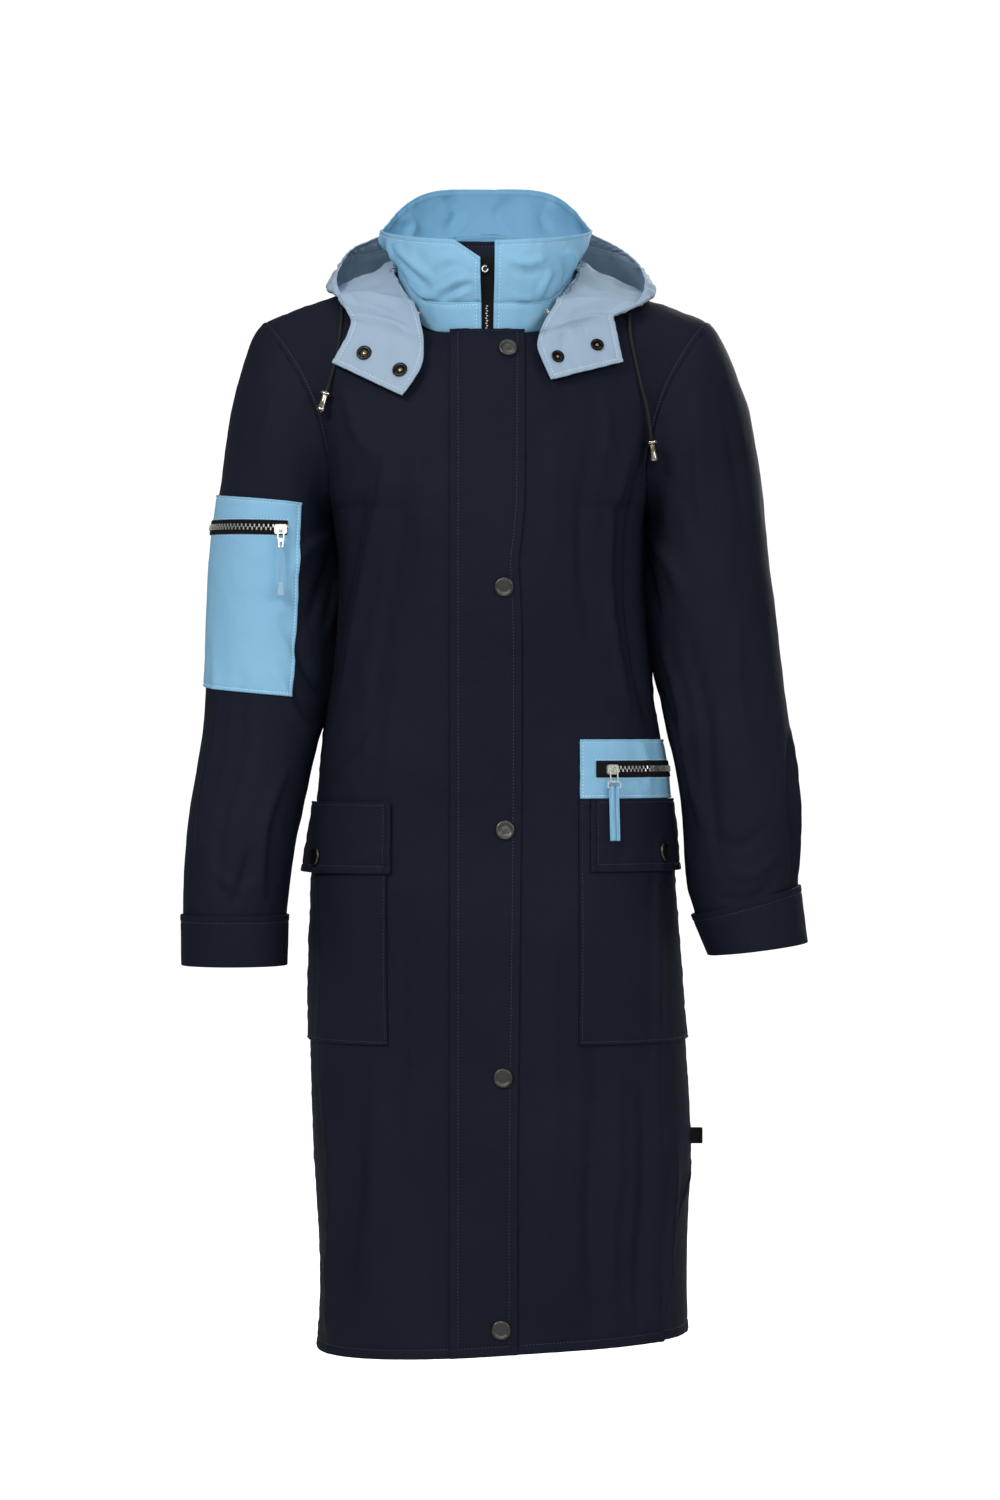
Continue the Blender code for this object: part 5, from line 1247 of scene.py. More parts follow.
# The other pairs are an angle round the coat and a level. Beside the arms the
# cloth swells out.
SIDE_FOLDS = (
    (36, 5.3, 0, -90, 1.2, -91, 1.02, -90, 0.92, -89, 0.82, -91, 0.72),
    (36, 5.3, 0, 90, 1.2, 91, 1.02, 89, 0.92, 90, 0.84, 89, 0.77),
)
BACK_FOLDS = (
    (22, 5.4, 0.3, 150, 1.55, 156, 1.25, 153, 0.95, 158, 0.8),
    (22, 5.8, -0.3, 212, 1.5, 206, 1.2, 208, 0.92, 203, 0.78),
    (16, -7.4, 0.2, 120, 1.3, 131, 1.05, 138, 0.9),
    (16, -7.7, -0.2, 240, 1.32, 230, 1.08, 222, 0.92),
    (13, 5.8, 0.3, 113, 1.1, 126, 0.96, 135, 0.86, 150, 0.8),
    (13, 5.4, -0.3, 247, 1.12, 236, 0.97, 225, 0.85),
    (24, -3.2, 0.2, 176, 1.75, 180, 1.45, 178, 1.2),
    (22, 8.3, 0.3, 118, 0.75, 122, 0.55, 117, 0.3, 121, 0.02),
    (24, -7, -0.2, 138, 0.72, 136, 0.45, 141, 0.2, 139, 0.02),
    (22, 7.4, 0.3, 158, 0.66, 161, 0.4, 157, 0.02),
    (26, -6.4, 0.2, 180, 0.7, 177, 0.46, 182, 0.22, 179, 0.02),
    (20, 7.7, -0.3, 204, 0.62, 199, 0.36, 203, 0.02),
    (24, -7.4, 0.3, 222, 0.74, 225, 0.5, 220, 0.24, 224, 0.02),
    (20, 7.4, 0.2, 243, 0.7, 240, 0.44, 244, 0.02),
    (16, -5.4, -0.2, 258, 0.55, 261, 0.3, 257, 0.04),
    (16, -4.8, 0.3, 101, 0.62, 99, 0.4, 102, 0.1),
    (16, -2.9, 0.3, 146, 0.9, 170, 0.86, 192, 0.88, 214, 0.86),
)
BODY_ROUTES = routes(CHEST_FOLDS + SKIRT_FOLDS, front_point, 1000)
BODY_ROUTES += routes(BACK_FOLDS + SIDE_FOLDS, coat)
print(len(BODY_ROUTES), "folds on the body")

# %% The two fronts and the back
LOWER_SHARE = 0.82  # of a panel's rows below the underarm
HEM = Edge(0.0085, 0)
ARMHOLE_SIDE = Edge(0.005, 0.0010)
VENT_LENGTH, VENT_LIFT, VENT_REACH = 0.215, 0.0032, 0.007


def coat_level(v):
    """The level at a share of a panel's height, closer together towards the shoulder."""
    if v <= LOWER_SHARE:
        return v / LOWER_SHARE
    return 1 + math.sin(math.pi / 2 * (v - LOWER_SHARE) / (1 - LOWER_SHARE))


def front_right_at(u, v):
    side_seam = SEAM_ANGLE - 90
    return coat(side_seam + (-FRONT_EDGE[RIGHT] - side_seam) * u, coat_level(v))


def front_left_at(u, v):
    level = coat_level(v)
    seam = left_seam(coat(90, level).z) - SEAM_ANGLE
    return coat(FRONT_EDGE[LEFT] + (seam - FRONT_EDGE[LEFT]) * u, level)


def back_at(u, v):
    level = coat_level(v)
    z = coat(90, level).z
    start = underlap(z)
    angle = start + (270 - SEAM_ANGLE - start) * u
    point = coat(angle, level)
    if level < 1:
        point -= Vector((point.x, point.y, 0)).normalized() * vent_inset(angle, z)
    return point


def vent_lift(u_grid, v_grid, across, up):
    """The front's free edge at the vent stands a little off the back."""
    beside = np.exp(-(across[:, -1:] - across) / VENT_REACH)
    return VENT_LIFT * np.clip((VENT_LENGTH - up) / 0.05, 0, 1) * beside


RIGHT_EDGES = (ARMHOLE_SIDE, RAW, HEM, SEAM)
LEFT_EDGES = (RAW, ARMHOLE_SIDE, HEM, SEAM)
BACK_EDGES = (ARMHOLE_SIDE, SEAM, HEM, SEAM)
panel("front_right", front_right_at, RIGHT_EDGES, NAVY, BODY_ROUTES, held=("left",))
panel("front_left", front_left_at, LEFT_EDGES, NAVY, BODY_ROUTES, held=("right",), more=vent_lift)
panel("back", back_at, BACK_EDGES, NAVY, BODY_ROUTES, held=("left", "right"))

# %% [markdown]
# ## Sleeves and cuffs
#
# A sleeve is one panel rolled into a tube. It drags from the underarm, buckles
# inside the elbow and gathers above the cuff. The cuff is a plain turned band.
# Both are closed tubes of the same kind of grid, whose last column meets its
# first at the hidden inner seam.

# %% Folds of the sleeves
# Pairs are a turn round the sleeve (0 outer, 90 front, 180 inner, 270 back) and
# the place of a section along it.
SLEEVE_FOLDS = {
    RIGHT: (
        (34, 5, 0, 180, 2.5, 179, 5.4, 181, 8, 180, 9.6, 179, 10.2),
        (14, 5.4, 0.3, 172, 3, 150, 4.6, 125, 6, 110, 7),
        (13, -5.7, -0.2, 178, 4.6, 160, 6, 140, 7.4, 128, 8.2),
        (12, 5.1, 0.3, 182, 5.6, 168, 7, 152, 8.4),
        (16, 3, 0.3, 60, 1.2, 72, 2.8, 66, 4.6),
        (13, -5.4, 0.3, 100, 8, 122, 8.8, 150, 9.3, 172, 9.2),
        (12, 4.8, -0.3, 96, 8.8, 120, 9.6, 148, 10, 170, 9.8),
        (13, 5.1, 0.3, 30, 8.4, 42, 9.8, 38, 11.4, 46, 13),
        (14, -4.5, 0.2, 66, 9, 74, 10.6, 68, 12.4, 76, 13.6),
        (12, 4.8, -0.3, 128, 11, 116, 12.2, 124, 13.6),
        (10, -4.8, 0.2, 104, 12.6, 98, 13.2, 88, 13.7),
        (8, 3, 0.2, 60, 13, 92, 13.35, 120, 13.3),
        (14, 5.7, 0.3, 250, 7.6, 240, 8.8, 214, 9.6, 192, 9.8),
        (13, -5.4, 0.2, 262, 8.6, 246, 9.6, 220, 10.4),
        (14, 5.1, -0.3, 200, 3.4, 222, 5, 240, 6.6),
        (16, -3.9, 0.2, 290, 3, 284, 5.4, 292, 7.6),
        (14, 4.8, 0.3, 300, 9.6, 290, 11.2, 298, 13.4),
        (11, -4.5, 0.2, 250, 11.6, 262, 12.6, 252, 13.7),
    ),
    LEFT: (
        (34, 5, 0, 180, 2.5, 181, 5.2, 179, 7.6, 180, 8.8, 180, 9.4),
        (13, 5.1, 0.3, 176, 3.2, 156, 4.8, 132, 6.6, 118, 7.8),
        (12, -5.7, -0.2, 182, 5, 164, 6.6, 146, 8),
        (16, 4.2, 0.3, 64, 1, 84, 2.6, 96, 4.4, 92, 6.2),
        (18, -3.3, 0.2, 46, 2.2, 56, 4.4, 52, 6.8),
        (10, 6, 0.3, 152, 8.4, 138, 9.6, 146, 10.8, 134, 12.2),
        (9, -6.3, -0.2, 166, 9.2, 150, 10.4, 160, 11.8),
        (13, -4.5, 0.2, 120, 8.2, 112, 9.8, 122, 11.6, 114, 13),
        (11, -6.9, 0.3, 22, 10.2, 34, 11.4, 30, 12.8, 36, 13.8),
        (10, 5.1, -0.3, 8, 10, 18, 11.6, 14, 13.4),
        (8, 4.5, 0.2, 54, 12.7, 84, 13.1, 112, 12.9),
        (7, -4.5, 0.2, 60, 13.3, 90, 13.6, 124, 13.4),
        (8, -3.9, -0.2, 70, 12.2, 96, 12.5, 128, 12.3),
        (13, 3.9, 0.3, 70, 8, 80, 9.4, 76, 11),
        (14, 5.7, 0.3, 256, 7.4, 244, 8.6, 218, 9.4, 196, 9.6),
        (13, -5.4, 0.2, 266, 8.4, 250, 9.4, 224, 10.2),
        (14, 5.1, -0.3, 202, 3.2, 224, 4.8, 244, 6.4),
        (16, -3.9, 0.2, 288, 3.2, 296, 5.6, 286, 7.8),
        (14, 4.8, 0.3, 296, 9.4, 288, 11.4, 300, 13.2),
    ),
}


SLEEVE_START, SLEEVE_END = 0.004, 14  # sections at the armhole and at the cuff


def turn_at(side, u):
    """The turn at a share of a sleeve's girth, from its inner seam with its outer side left."""
    return 360 * u + 180 if side == RIGHT else 180 - 360 * u


def sleeve_at(side):
    """The form of a sleeve, from the cuff up to the armhole."""
    rise = SLEEVE_START - SLEEVE_END
    return lambda u, v: sleeve_point(side, SLEEVE_END + rise * v, turn_at(side, u) % 360)


def sleeve_routes(side):
    return routes(SLEEVE_FOLDS[side], lambda turn, place: sleeve_point(side, place, turn))


SLEEVE_ROUTES = {side: sleeve_routes(side) for side, _ in SIDES}
for side, word in SIDES:
    edges = (None, None, RAW, SEAM)
    panel("sleeve_" + word, sleeve_at(side), edges, NAVY, SLEEVE_ROUTES[side])


# %% Cuffs
def cuff_at(side):
    """The form of a cuff, from its open end up to its top."""
    bottom, top = CUFFS[side]

    def at(u, v):
        section = Section(*(low + (high - low) * v for low, high in zip(bottom, top)))
        return oval_point(section, side, turn_at(side, u))

    return at


for side, word in SIDES:
    edges = (None, None, RAW, Edge(0.0065, 0))
    panel("cuff_" + word, cuff_at(side), edges, NAVY, waves=(0.0008, 0.0008))

# %% [markdown]
# ## Stand and collar
#
# The light blue collar has two pieces. The stand rises from the neck seam, and
# the collar is sewn to it, leans out a little and ends in two open corners, the
# right one cut off aslant. Stiff enough to stand, it still buckles here and there.

# %% Folds of the collar
# Pairs are an angle round the neck, 0 in front, and a part of the collar's height.
COLLAR_FOLDS = (
    (6.5, 4, 0.2, 351, 1.5, 338, 1.29, 324, 1.08),
    (5.5, -3.6, 0.2, 351, 1.38, 342, 1.22, 331, 1.04),
    (5, 2.4, 0, 351, 1.2, 342, 1.1, 334, 1.03),
    (8.5, 4.8, 0.3, 300, 1.74, 314, 1.56, 328, 1.34),
    (7.5, -4.2, 0.2, 303, 1.52, 315, 1.34, 326, 1.18),
    (5.5, 3.4, 0.2, 305, 1.14, 318, 1.05, 330, 1.08),
    (6, 3.2, 0.2, 341, 1.8, 333, 1.62, 331, 1.46),
    (5, -2.6, 0, 347, 1.68, 339, 1.56, 334, 1.5),
    (9, 4.2, 0.3, 290, 1.2, 294, 1.5, 291, 1.85),
    (6.2, 3.6, 0.3, 8, 1.74, 22, 1.6, 34, 1.7),
    (6, -3.2, 0.2, 11, 1.58, 24, 1.45, 35, 1.53),
    (6.5, 4.2, 0.3, 38, 1.48, 34, 1.25, 33, 1.03),
    (5.5, -3.8, 0.2, 43, 1.42, 40, 1.2, 39, 1.04),
    (7.5, 4.2, 0.3, 49, 1.78, 56, 1.5, 60, 1.22),
    (6, -3.4, 0.2, 45, 1.64, 51, 1.4, 53, 1.14),
    (5.5, 2.8, -0.2, 14, 1.14, 23, 1.06, 31, 1.1),
    (9.9, -4.9, 0.2, 78, 1.8, 84, 1.5, 80, 1.15),
    (10.8, 5.3, 0.3, 108, 1.2, 116, 1.55, 112, 1.88),
    (11.7, -4.9, 0.3, 140, 1.85, 146, 1.5, 139, 1.18),
    (12.6, 4.2, 0.2, 168, 1.15, 174, 1.5, 167, 1.85),
    (10.8, 5.3, -0.3, 205, 1.88, 198, 1.55, 206, 1.2),
    (9.9, -5.3, 0.3, 236, 1.18, 228, 1.5, 238, 1.84),
    (9.9, 4.9, 0.2, 262, 1.86, 270, 1.55, 264, 1.2),
)
STAND_FOLDS = (
    (8, 1.8, 0.2, 30, 0.2, 36, 0.6, 34, 0.95),
    (8, -2.1, 0.2, 325, 0.1, 318, 0.5, 322, 0.95),
    (9, -1.8, 0.2, 70, 0.1, 76, 0.9),
    (9, 2.1, 0.2, 292, 0.1, 286, 0.9),
)
NECK_START = FRONT_EDGE[LEFT] / NECK_SHARE
NECK_END = 360 - FRONT_EDGE[RIGHT] / NECK_SHARE


def band_at(low, high):
    """The form of a band right round the neck between two parts of the collar."""
    return lambda u, v: collar(NECK_START + (NECK_END - NECK_START) * u, low + (high - low) * v)


END = Edge(0.0045, 0)
BANDS = (
    ("collar_stand", 0.012, 1, Edge(0.0025, 0.0006), STAND_FOLDS, SPACING, (0.0006, 0.0009)),
    ("collar", 1, 2, END, COLLAR_FOLDS, 0.004, (0.0012, 0.0022)),
)
for name, low, high, top_edge_kind, folds, spacing, waves in BANDS:
    # The inner faces of stand and collar get the darker blue, painted shade on the collar's inside.
    look = {"spacing": spacing, "waves": waves, "painted_shade_backing": BLUE_PAINTED_SHADE}
    edges = (END, END, SEAM, top_edge_kind)
    panel(name, band_at(low, high), edges, BLUE, routes(folds, collar), **look)

# %% [markdown]
# ## The hood
#
# The hood is undone from the collar's studs and lies open over the shoulders
# and back. Two long tabs lie over the chest, its edge is a turned casing for the
# cord, and behind the neck it hangs down as an open pouch. Its upper face is the
# cloth's inside, so three panels run from the right tab's end, round the back,
# to the left tab's end, and are kept clear of the coat and the collar.


# %% Folds of the hood
def skin(*names):
    """A tree of outer faces, for points that must stay off them."""
    points, faces = [], []
    for name in names:
        outer = SHELLS[name].outer
        rows, columns = outer.shape[:2]
        start = len(points)
        points += [tuple(p) for p in outer.reshape(-1, 3)]
        for j in range(rows - 1):
            for i in range(columns - 1):
                a = start + j * columns + i
                faces.append((a, a + 1, a + columns + 1, a + columns))
    return BVHTree.FromPolygons(points, faces)


# Pairs are a way along the hood, 0 at the right tab's end and 24 at the left
# one's, and a share from the neck (0) to the edge (1).
HOOD_FOLDS = (
    (9.9, 5.1, 0.3, 3.2, 0.05, 3.9, 0.35, 4, 0.7, 3.6, 0.95),
    (9, -4.5, 0.2, 4.1, 0.05, 4.7, 0.4, 4.8, 0.75),
    (11.7, 2.4, 0.3, 1, 0.3, 2.2, 0.36, 3.2, 0.3),
    (10.8, 5.4, 0.3, 5.2, 0.1, 5.5, 0.45, 5.4, 0.8),
    (11.7, -5.1, -0.2, 6.3, 0.15, 6.5, 0.45, 6.3, 0.85),
    (12.6, 5.4, 0.3, 7.4, 0.2, 7.5, 0.5, 7.3, 0.9),
    (13.5, -5.4, 0.2, 8.6, 0.2, 8.6, 0.5, 8.4, 0.88),
    (14.4, 6.3, 0.3, 9.6, 0.15, 9.7, 0.45, 9.5, 0.85),
    (16.2, -5.4, -0.3, 11, 0.2, 11.2, 0.5, 11, 0.9),
    (16.2, 5.4, 0.3, 12.2, 0.2, 12, 0.55, 12.2, 0.88),
    (14.4, -5.7, 0.2, 13.3, 0.15, 13, 0.5, 13.3, 0.86),
    (14.4, 6, -0.3, 14.6, 0.2, 14.4, 0.5, 14.7, 0.88),
    (13.5, -5.4, 0.2, 15.7, 0.2, 15.6, 0.5, 15.8, 0.86),
    (12.6, 5.4, 0.3, 16.8, 0.15, 16.6, 0.5, 16.8, 0.9),
    (11.7, -5.1, 0.2, 17.8, 0.15, 17.6, 0.5, 17.9, 0.85),
    (10.8, 5.4, -0.3, 18.9, 0.1, 18.7, 0.45, 18.8, 0.85),
    (9.9, 5.4, 0.3, 20.9, 0.05, 20.1, 0.3, 20, 0.65, 20.4, 0.95),
    (9, -4.8, 0.2, 20.2, 0.05, 19.5, 0.4, 19.4, 0.75),
    (8.1, 3.6, 0.3, 21.6, 0.1, 21.2, 0.35, 21.3, 0.6),
    (11.7, -2.4, 0.3, 22.9, 0.3, 22, 0.34, 21.2, 0.42),
)
UNDER_HOOD = skin("front_right", "front_left", "back", "collar_stand", "collar")


def over_coat(way, share):
    return hood_point(UNDER_HOOD, way, share)


HOOD_ROUTES = routes(HOOD_FOLDS, over_coat)
print(len(HOOD_ROUTES), "folds on the hood")

# %% The hood's panels
CASING = 0.020  # width of the turned edge that holds the cord
GATHER_MIDDLE, GATHER_DEPTH, GATHER_REACH = 0.015, 0.0018, 0.011
GROOVE_DEPTH, GROOVE_REACH = 0.0010, 0.0022
CASING_WAYS = (4.6, 19.4)  # where the cord goes in and comes out
TUCK, TUCK_FROM, TUCK_SPAN = 0.12, 5.0, 3.2  # a share of a row, and places along the hood
LEFT_SEAM_WAY = 2 * HOOD_END - HOOD_SEAM_PLACE
HOOD_CUTS = (
    ("hood_right", 0, HOOD_SEAM_PLACE, (END, SEAM, END, END)),
    ("hood_middle", HOOD_SEAM_PLACE, LEFT_SEAM_WAY, (SEAM, SEAM, END, END)),
    ("hood_left", LEFT_SEAM_WAY, 2 * HOOD_END, (SEAM, END, END, END)),
)


def gathers(start, end):
    """Small uneven folds where the casing is drawn up on its cord, and its stitched groove."""

    def height_of(u_grid, v_grid, across, up):
        along = across[-1:] + 0 * across
        wave = np.sin(along * 400 + 2.2 * np.sin(along * 63)) * (0.6 + 0.4 * np.sin(along * 117 + 1))
        from_edge = up[-1:] - up
        way = start + (end - start) * u_grid
        cased = np.clip(way - CASING_WAYS[0], 0, 1) * np.clip(CASING_WAYS[1] - way, 0, 1)
        drawn = GATHER_DEPTH * wave * np.exp(-(((from_edge - GATHER_MIDDLE) / GATHER_REACH) ** 2))
        groove = GROOVE_DEPTH * np.exp(-(((from_edge - CASING) / GROOVE_REACH) ** 2))
        return (drawn - groove) * cased

    return height_of


def tuck(way):
    """How far the inner edge reaches in behind the collar's ends, as a share of the row."""
    place = min(way, 2 * HOOD_END - way)
    return TUCK * math.sin(math.pi * min(max((place - TUCK_FROM) / TUCK_SPAN, 0), 1))


def hood_at(start, end):
    """The form of one panel of the hood."""

    def at(u, v):
        way = start + (end - start) * u
        return over_coat(way, v - tuck(way) * (1 - v))

    return at


for name, start, end, edges in HOOD_CUTS:
    look = {"waves": (0.0014, 0.0018), "more": gathers(start, end)}
    panel(name, hood_at(start, end), edges, HOOD, HOOD_ROUTES, **look)

# %% [markdown]
# ## What lies on the coat
#
# Pockets, flaps, the placket and the zipped patches are flat pieces sewn on.
# They follow the coat's form with a small lift, and they take the same folds at
# the same places, so nothing cuts through its neighbour. Behind the opening the
# zip's tape and the wind flap follow it on the inner side.

# %% Pockets, flaps and patches on the coat
LOW_LIFT = 0.0006
HIGH_LIFT = LOW_LIFT + CLOTH + 0.0006
TAPE_THICKNESS = 0.001
SIDE_STITCH, BROAD_STITCH = Edge(0.0025, 0), Edge(0.007, 0)
NARROW = (SIDE_STITCH,) * 4
FLAP_RIGHT_EDGES = (SIDE_STITCH, BROAD_STITCH, BROAD_STITCH, SIDE_STITCH)
FLAP_LEFT_EDGES = (BROAD_STITCH, SIDE_STITCH, BROAD_STITCH, SIDE_STITCH)
NO_EDGES = (RAW,) * 4
Patch = namedtuple("Patch", "outer_angle top_x bottom_x top_z bottom_z flare")
# A row is a name, an outer angle with sizes in millimetres, edges, a cloth and a lift.
PATCHES = (
    ("pocket_right", (-88, -97, -95.8, -535.6, -770.6, 0), NARROW, NAVY, LOW_LIFT),
    ("flap_right", (-88.5, -93.2, -93.2, -535.6, -604.7, 8), FLAP_RIGHT_EDGES, NAVY, HIGH_LIFT),
    ("pocket_left", (88, 89.9, 89.9, -532.7, -770.3, 0), NARROW, NAVY, LOW_LIFT),
    ("flap_left", (88.5, 100.7, 100.7, -532.7, -602.7, 4), FLAP_LEFT_EDGES, NAVY, HIGH_LIFT),
    ("waist_patch", (87.5, 91, 91, -474.3, -531.2, 0), NARROW, BLUE, LOW_LIFT),
    ("waist_zip_tape", (87, 106.2, 106.2, -495.3, -510.3, 0), NO_EDGES, TAPE, HIGH_LIFT),
)


def patch_at(shape):
    """The form under a patch that reaches round towards a side seam."""
    low = angle_at(shape.bottom_x, shape.bottom_z)
    high = angle_at(shape.top_x, shape.top_z)

    def at(u, v):
        start, end = sorted((low + (high - low) * v, shape.outer_angle))
        return body(start + (end - start) * u, shape.bottom_z + (shape.top_z - shape.bottom_z) * v)

    return at


def flared(shape, lift):
    """The lift of a patch, whose lower outer corner may stand away."""

    def lift_of(u_grid, v_grid):
        out = u_grid if shape.outer_angle > 0 else 1 - u_grid
        return lift + shape.flare * out**2 * (1 - v_grid)

    return lift_of


for name, row, edges, cloth, lift in PATCHES:
    (shape,) = metres(Patch, [row], 1)
    thickness = TAPE_THICKNESS if cloth is TAPE else CLOTH
    panel(name, patch_at(shape), edges, cloth, BODY_ROUTES, flared(shape, lift), thickness)

# %% The patch on the right sleeve
SleevePatch = namedtuple("SleevePatch", "first_turn last_turn first_z last_z height")
SLEEVE_PATCH = SleevePatch(116, -18, -0.2410, -0.2280, 0.190)
SLEEVE_TAPE = SleevePatch(103, -17, -0.2590, -0.2555, 0.013)


def sleeve_patch_at(shape):
    """The form under a patch round the front of the right sleeve."""

    def top_and_bottom(turn):
        share = (turn - shape.last_turn) / (shape.first_turn - shape.last_turn)
        top_z = shape.last_z + (shape.first_z - shape.last_z) * share
        return sleeve_place(turn, top_z), sleeve_place(turn, top_z - shape.height)

    turns = np.linspace(shape.last_turn, shape.first_turn, 25)
    tops, bottoms = np.array([top_and_bottom(turn) for turn in turns]).T

    def at(u, v):
        turn = shape.last_turn + (shape.first_turn - shape.last_turn) * u
        top, bottom = np.interp(turn, turns, tops), np.interp(turn, turns, bottoms)
        return sleeve_point(RIGHT, float(bottom + (top - bottom) * v), turn)

    return at


sleeve = SLEEVE_ROUTES[RIGHT]
panel("sleeve_patch", sleeve_patch_at(SLEEVE_PATCH), NARROW, BLUE, sleeve, LOW_LIFT)
panel("sleeve_zip_tape", sleeve_patch_at(SLEEVE_TAPE), NO_EDGES, TAPE, sleeve, HIGH_LIFT, TAPE_THICKNESS)

# %% Placket, zip tape and wind flap
PLACKET_LEFT_X, PLACKET_TOP_Z = -0.035, -0.0715
EdgeRow = namedtuple("EdgeRow", "z x")
PLACKET_EDGE = metres(EdgeRow, (
    (-1090, 29.4), (-919, 29.4), (-803.5, 30.4), (-630, 32.4), (-494, 33.4), (-377, 33.4),
    (-326, 31.9), (-304, 30), (-276, 33.4), (-242, 36.3), (-89, 36.4), (-70, 35.5),
))
TAPE_HALF, TAPE_DEPTH, TAPE_ENDS = 0.0105, 0.0021, (-1.020, 1.7)
WIND_FLAP_X, WIND_FLAP_DEPTH, WIND_FLAP_ENDS = (-0.045, 0.013), 0.0036, (-1.040, 1.98)
EDGE_STITCH = Edge(0.0075, 0)


def closure(angle, place):
    """A point of the front (place up to 2) or of the collar above it (2 and more)."""
    if place <= 2:
        return coat(angle, place)
    return collar(angle / NECK_SHARE, place - 2, cut=False)


def angle_for(x, level):
    """The angle at which a level of the front has this x."""
    return bisect(-89.9, 89.9, lambda angle: coat(angle, level).x < x)


def strip_at(left_x, right_x, bottom, top):
    """The form of a strip down the opening. right_x gives x at a height."""
    knots = np.concatenate([np.linspace(bottom, 1, 30), 1 + np.sin(np.linspace(0.05, 1.5708, 30))])
    lefts = [angle_for(left_x, place) for place in knots]
    rights = [angle_for(right_x(coat(0, place).z), place) for place in knots]

    def at(u, v):
        place = bottom + (top - bottom) * v
        left, right = np.interp(place, knots, lefts), np.interp(place, knots, rights)
        return closure(float(left + (right - left) * u), place)

    return at


def plain_strip_at(left_x, right_x, ends):
    """The form of a strip of one width, from a height up to a part of the collar."""
    return strip_at(left_x, lambda z: right_x, level_at(0, ends[0]), 2 + ends[1])


placket_top = 2 + (PLACKET_TOP_Z - neckline(0).z) / STAND_HEIGHT
placket_at = strip_at(PLACKET_LEFT_X, lambda z: read(PLACKET_EDGE, "x", z), 0, placket_top)
placket_edges = (EDGE_STITCH, EDGE_STITCH, HEM, EDGE_STITCH)
panel("placket", placket_at, placket_edges, NAVY, BODY_ROUTES, LOW_LIFT)
tape_at = plain_strip_at(-TAPE_HALF, TAPE_HALF, TAPE_ENDS)
under = -TAPE_DEPTH - TAPE_THICKNESS
panel("main_zip_tape", tape_at, NO_EDGES, TAPE, BODY_ROUTES, under, TAPE_THICKNESS)
wind_flap_at = plain_strip_at(*WIND_FLAP_X, WIND_FLAP_ENDS)
flap_edges = (SIDE_STITCH, SIDE_STITCH, RAW, END)
panel("wind_flap", wind_flap_at, flap_edges, NAVY, BODY_ROUTES, -WIND_FLAP_DEPTH - CLOTH)

# %% [markdown]
# ## Stitches
#
# Every turned edge is held by a row of lock stitches, short threads that dip into
# the cloth at even steps. Each row is a grid line of its panel, so it is a path on
# the cloth's face. Thousands of equal threads along a path are work for Geometry
# Nodes: the path is resampled at the stitch pitch and a flattened bead is laid at
# every point. The result is one plain mesh for each thread colour.

# %% A tree that lays a small part along paths
INPUTS = (("Pitch", "Float"), ("Size", "Vector"), ("Shift", "Float"), ("Material", "Material"))


def sideways(tree, tangent, outward, shift):
    """An offset to one side for every other point and to the other side for the rest."""
    across = add_node(tree, "ShaderNodeVectorMath", {0: tangent, 1: outward}, operation="CROSS_PRODUCT")
    index = add_node(tree, "GeometryNodeInputIndex").outputs["Index"]
    sign = math_node(tree, "SUBTRACT", math_node(tree, "MULTIPLY", math_node(tree, "MODULO", index, 2), 2), 1)
    scaled = {0: across.outputs["Vector"], "Scale": math_node(tree, "MULTIPLY", sign, shift)}
    return add_node(tree, "ShaderNodeVectorMath", scaled, operation="SCALE").outputs["Vector"]


def repeating_tree(name, part_kind, part_inputs):
    """Geometry Nodes that repeat a bead or a block along the paths of a mesh.

    Size is the part's size along the path, across it and outwards. Shift moves
    every other part to one side and the rest to the other.
    """
    tree = bpy.data.node_groups.new(name, "GeometryNodeTree")
    tree.interface.new_socket("Geometry", in_out="INPUT", socket_type="NodeSocketGeometry")
    for title, kind in INPUTS:
        tree.interface.new_socket(title, in_out="INPUT", socket_type="NodeSocket" + kind)
    tree.interface.new_socket("Geometry", in_out="OUTPUT", socket_type="NodeSocketGeometry")
    given = tree.nodes.new("NodeGroupInput").outputs

    def step(kind, output, inputs=None, **settings):
        return add_node(tree, kind, inputs, **settings).outputs[output]

    outward = {"Name": "outward"}
    outward = step("GeometryNodeInputNamedAttribute", "Attribute", outward, data_type="FLOAT_VECTOR")
    tangent = step("GeometryNodeInputTangent", "Tangent")
    axes = {"primary_axis": "X", "secondary_axis": "Z"}
    turn = step("FunctionNodeAxesToRotation", "Rotation", {0: tangent, 1: outward}, **axes)
    curve = step("GeometryNodeMeshToCurve", "Curve", {"Mesh": given["Geometry"]})
    even = {"Curve": curve, "Length": given["Pitch"]}
    even = step("GeometryNodeResampleCurve", "Curve", even, mode="LENGTH")
    moved = {"Geometry": even, "Offset": sideways(tree, tangent, outward, given["Shift"])}
    moved = step("GeometryNodeSetPosition", "Geometry", moved)
    part = step(part_kind, "Mesh", part_inputs)
    laid = {"Points": moved, "Instance": part, "Rotation": turn, "Scale": given["Size"]}
    laid = step("GeometryNodeInstanceOnPoints", "Instances", laid)
    real = step("GeometryNodeRealizeInstances", "Geometry", {"Geometry": laid})
    dressed = {"Geometry": real, "Material": given["Material"]}
    dressed = step("GeometryNodeSetMaterial", "Geometry", dressed)
    add_node(tree, "NodeGroupOutput", {"Geometry": dressed})
    return tree


BEAD = {"Segments": 6, "Rings": 4, "Radius": 0.5}
STITCHES = repeating_tree("stitch_rows", "GeometryNodeMeshUVSphere", BEAD)
TEETH = repeating_tree("tooth_rows", "GeometryNodeMeshCube", {})
print("trees", STITCHES.name, TEETH.name)


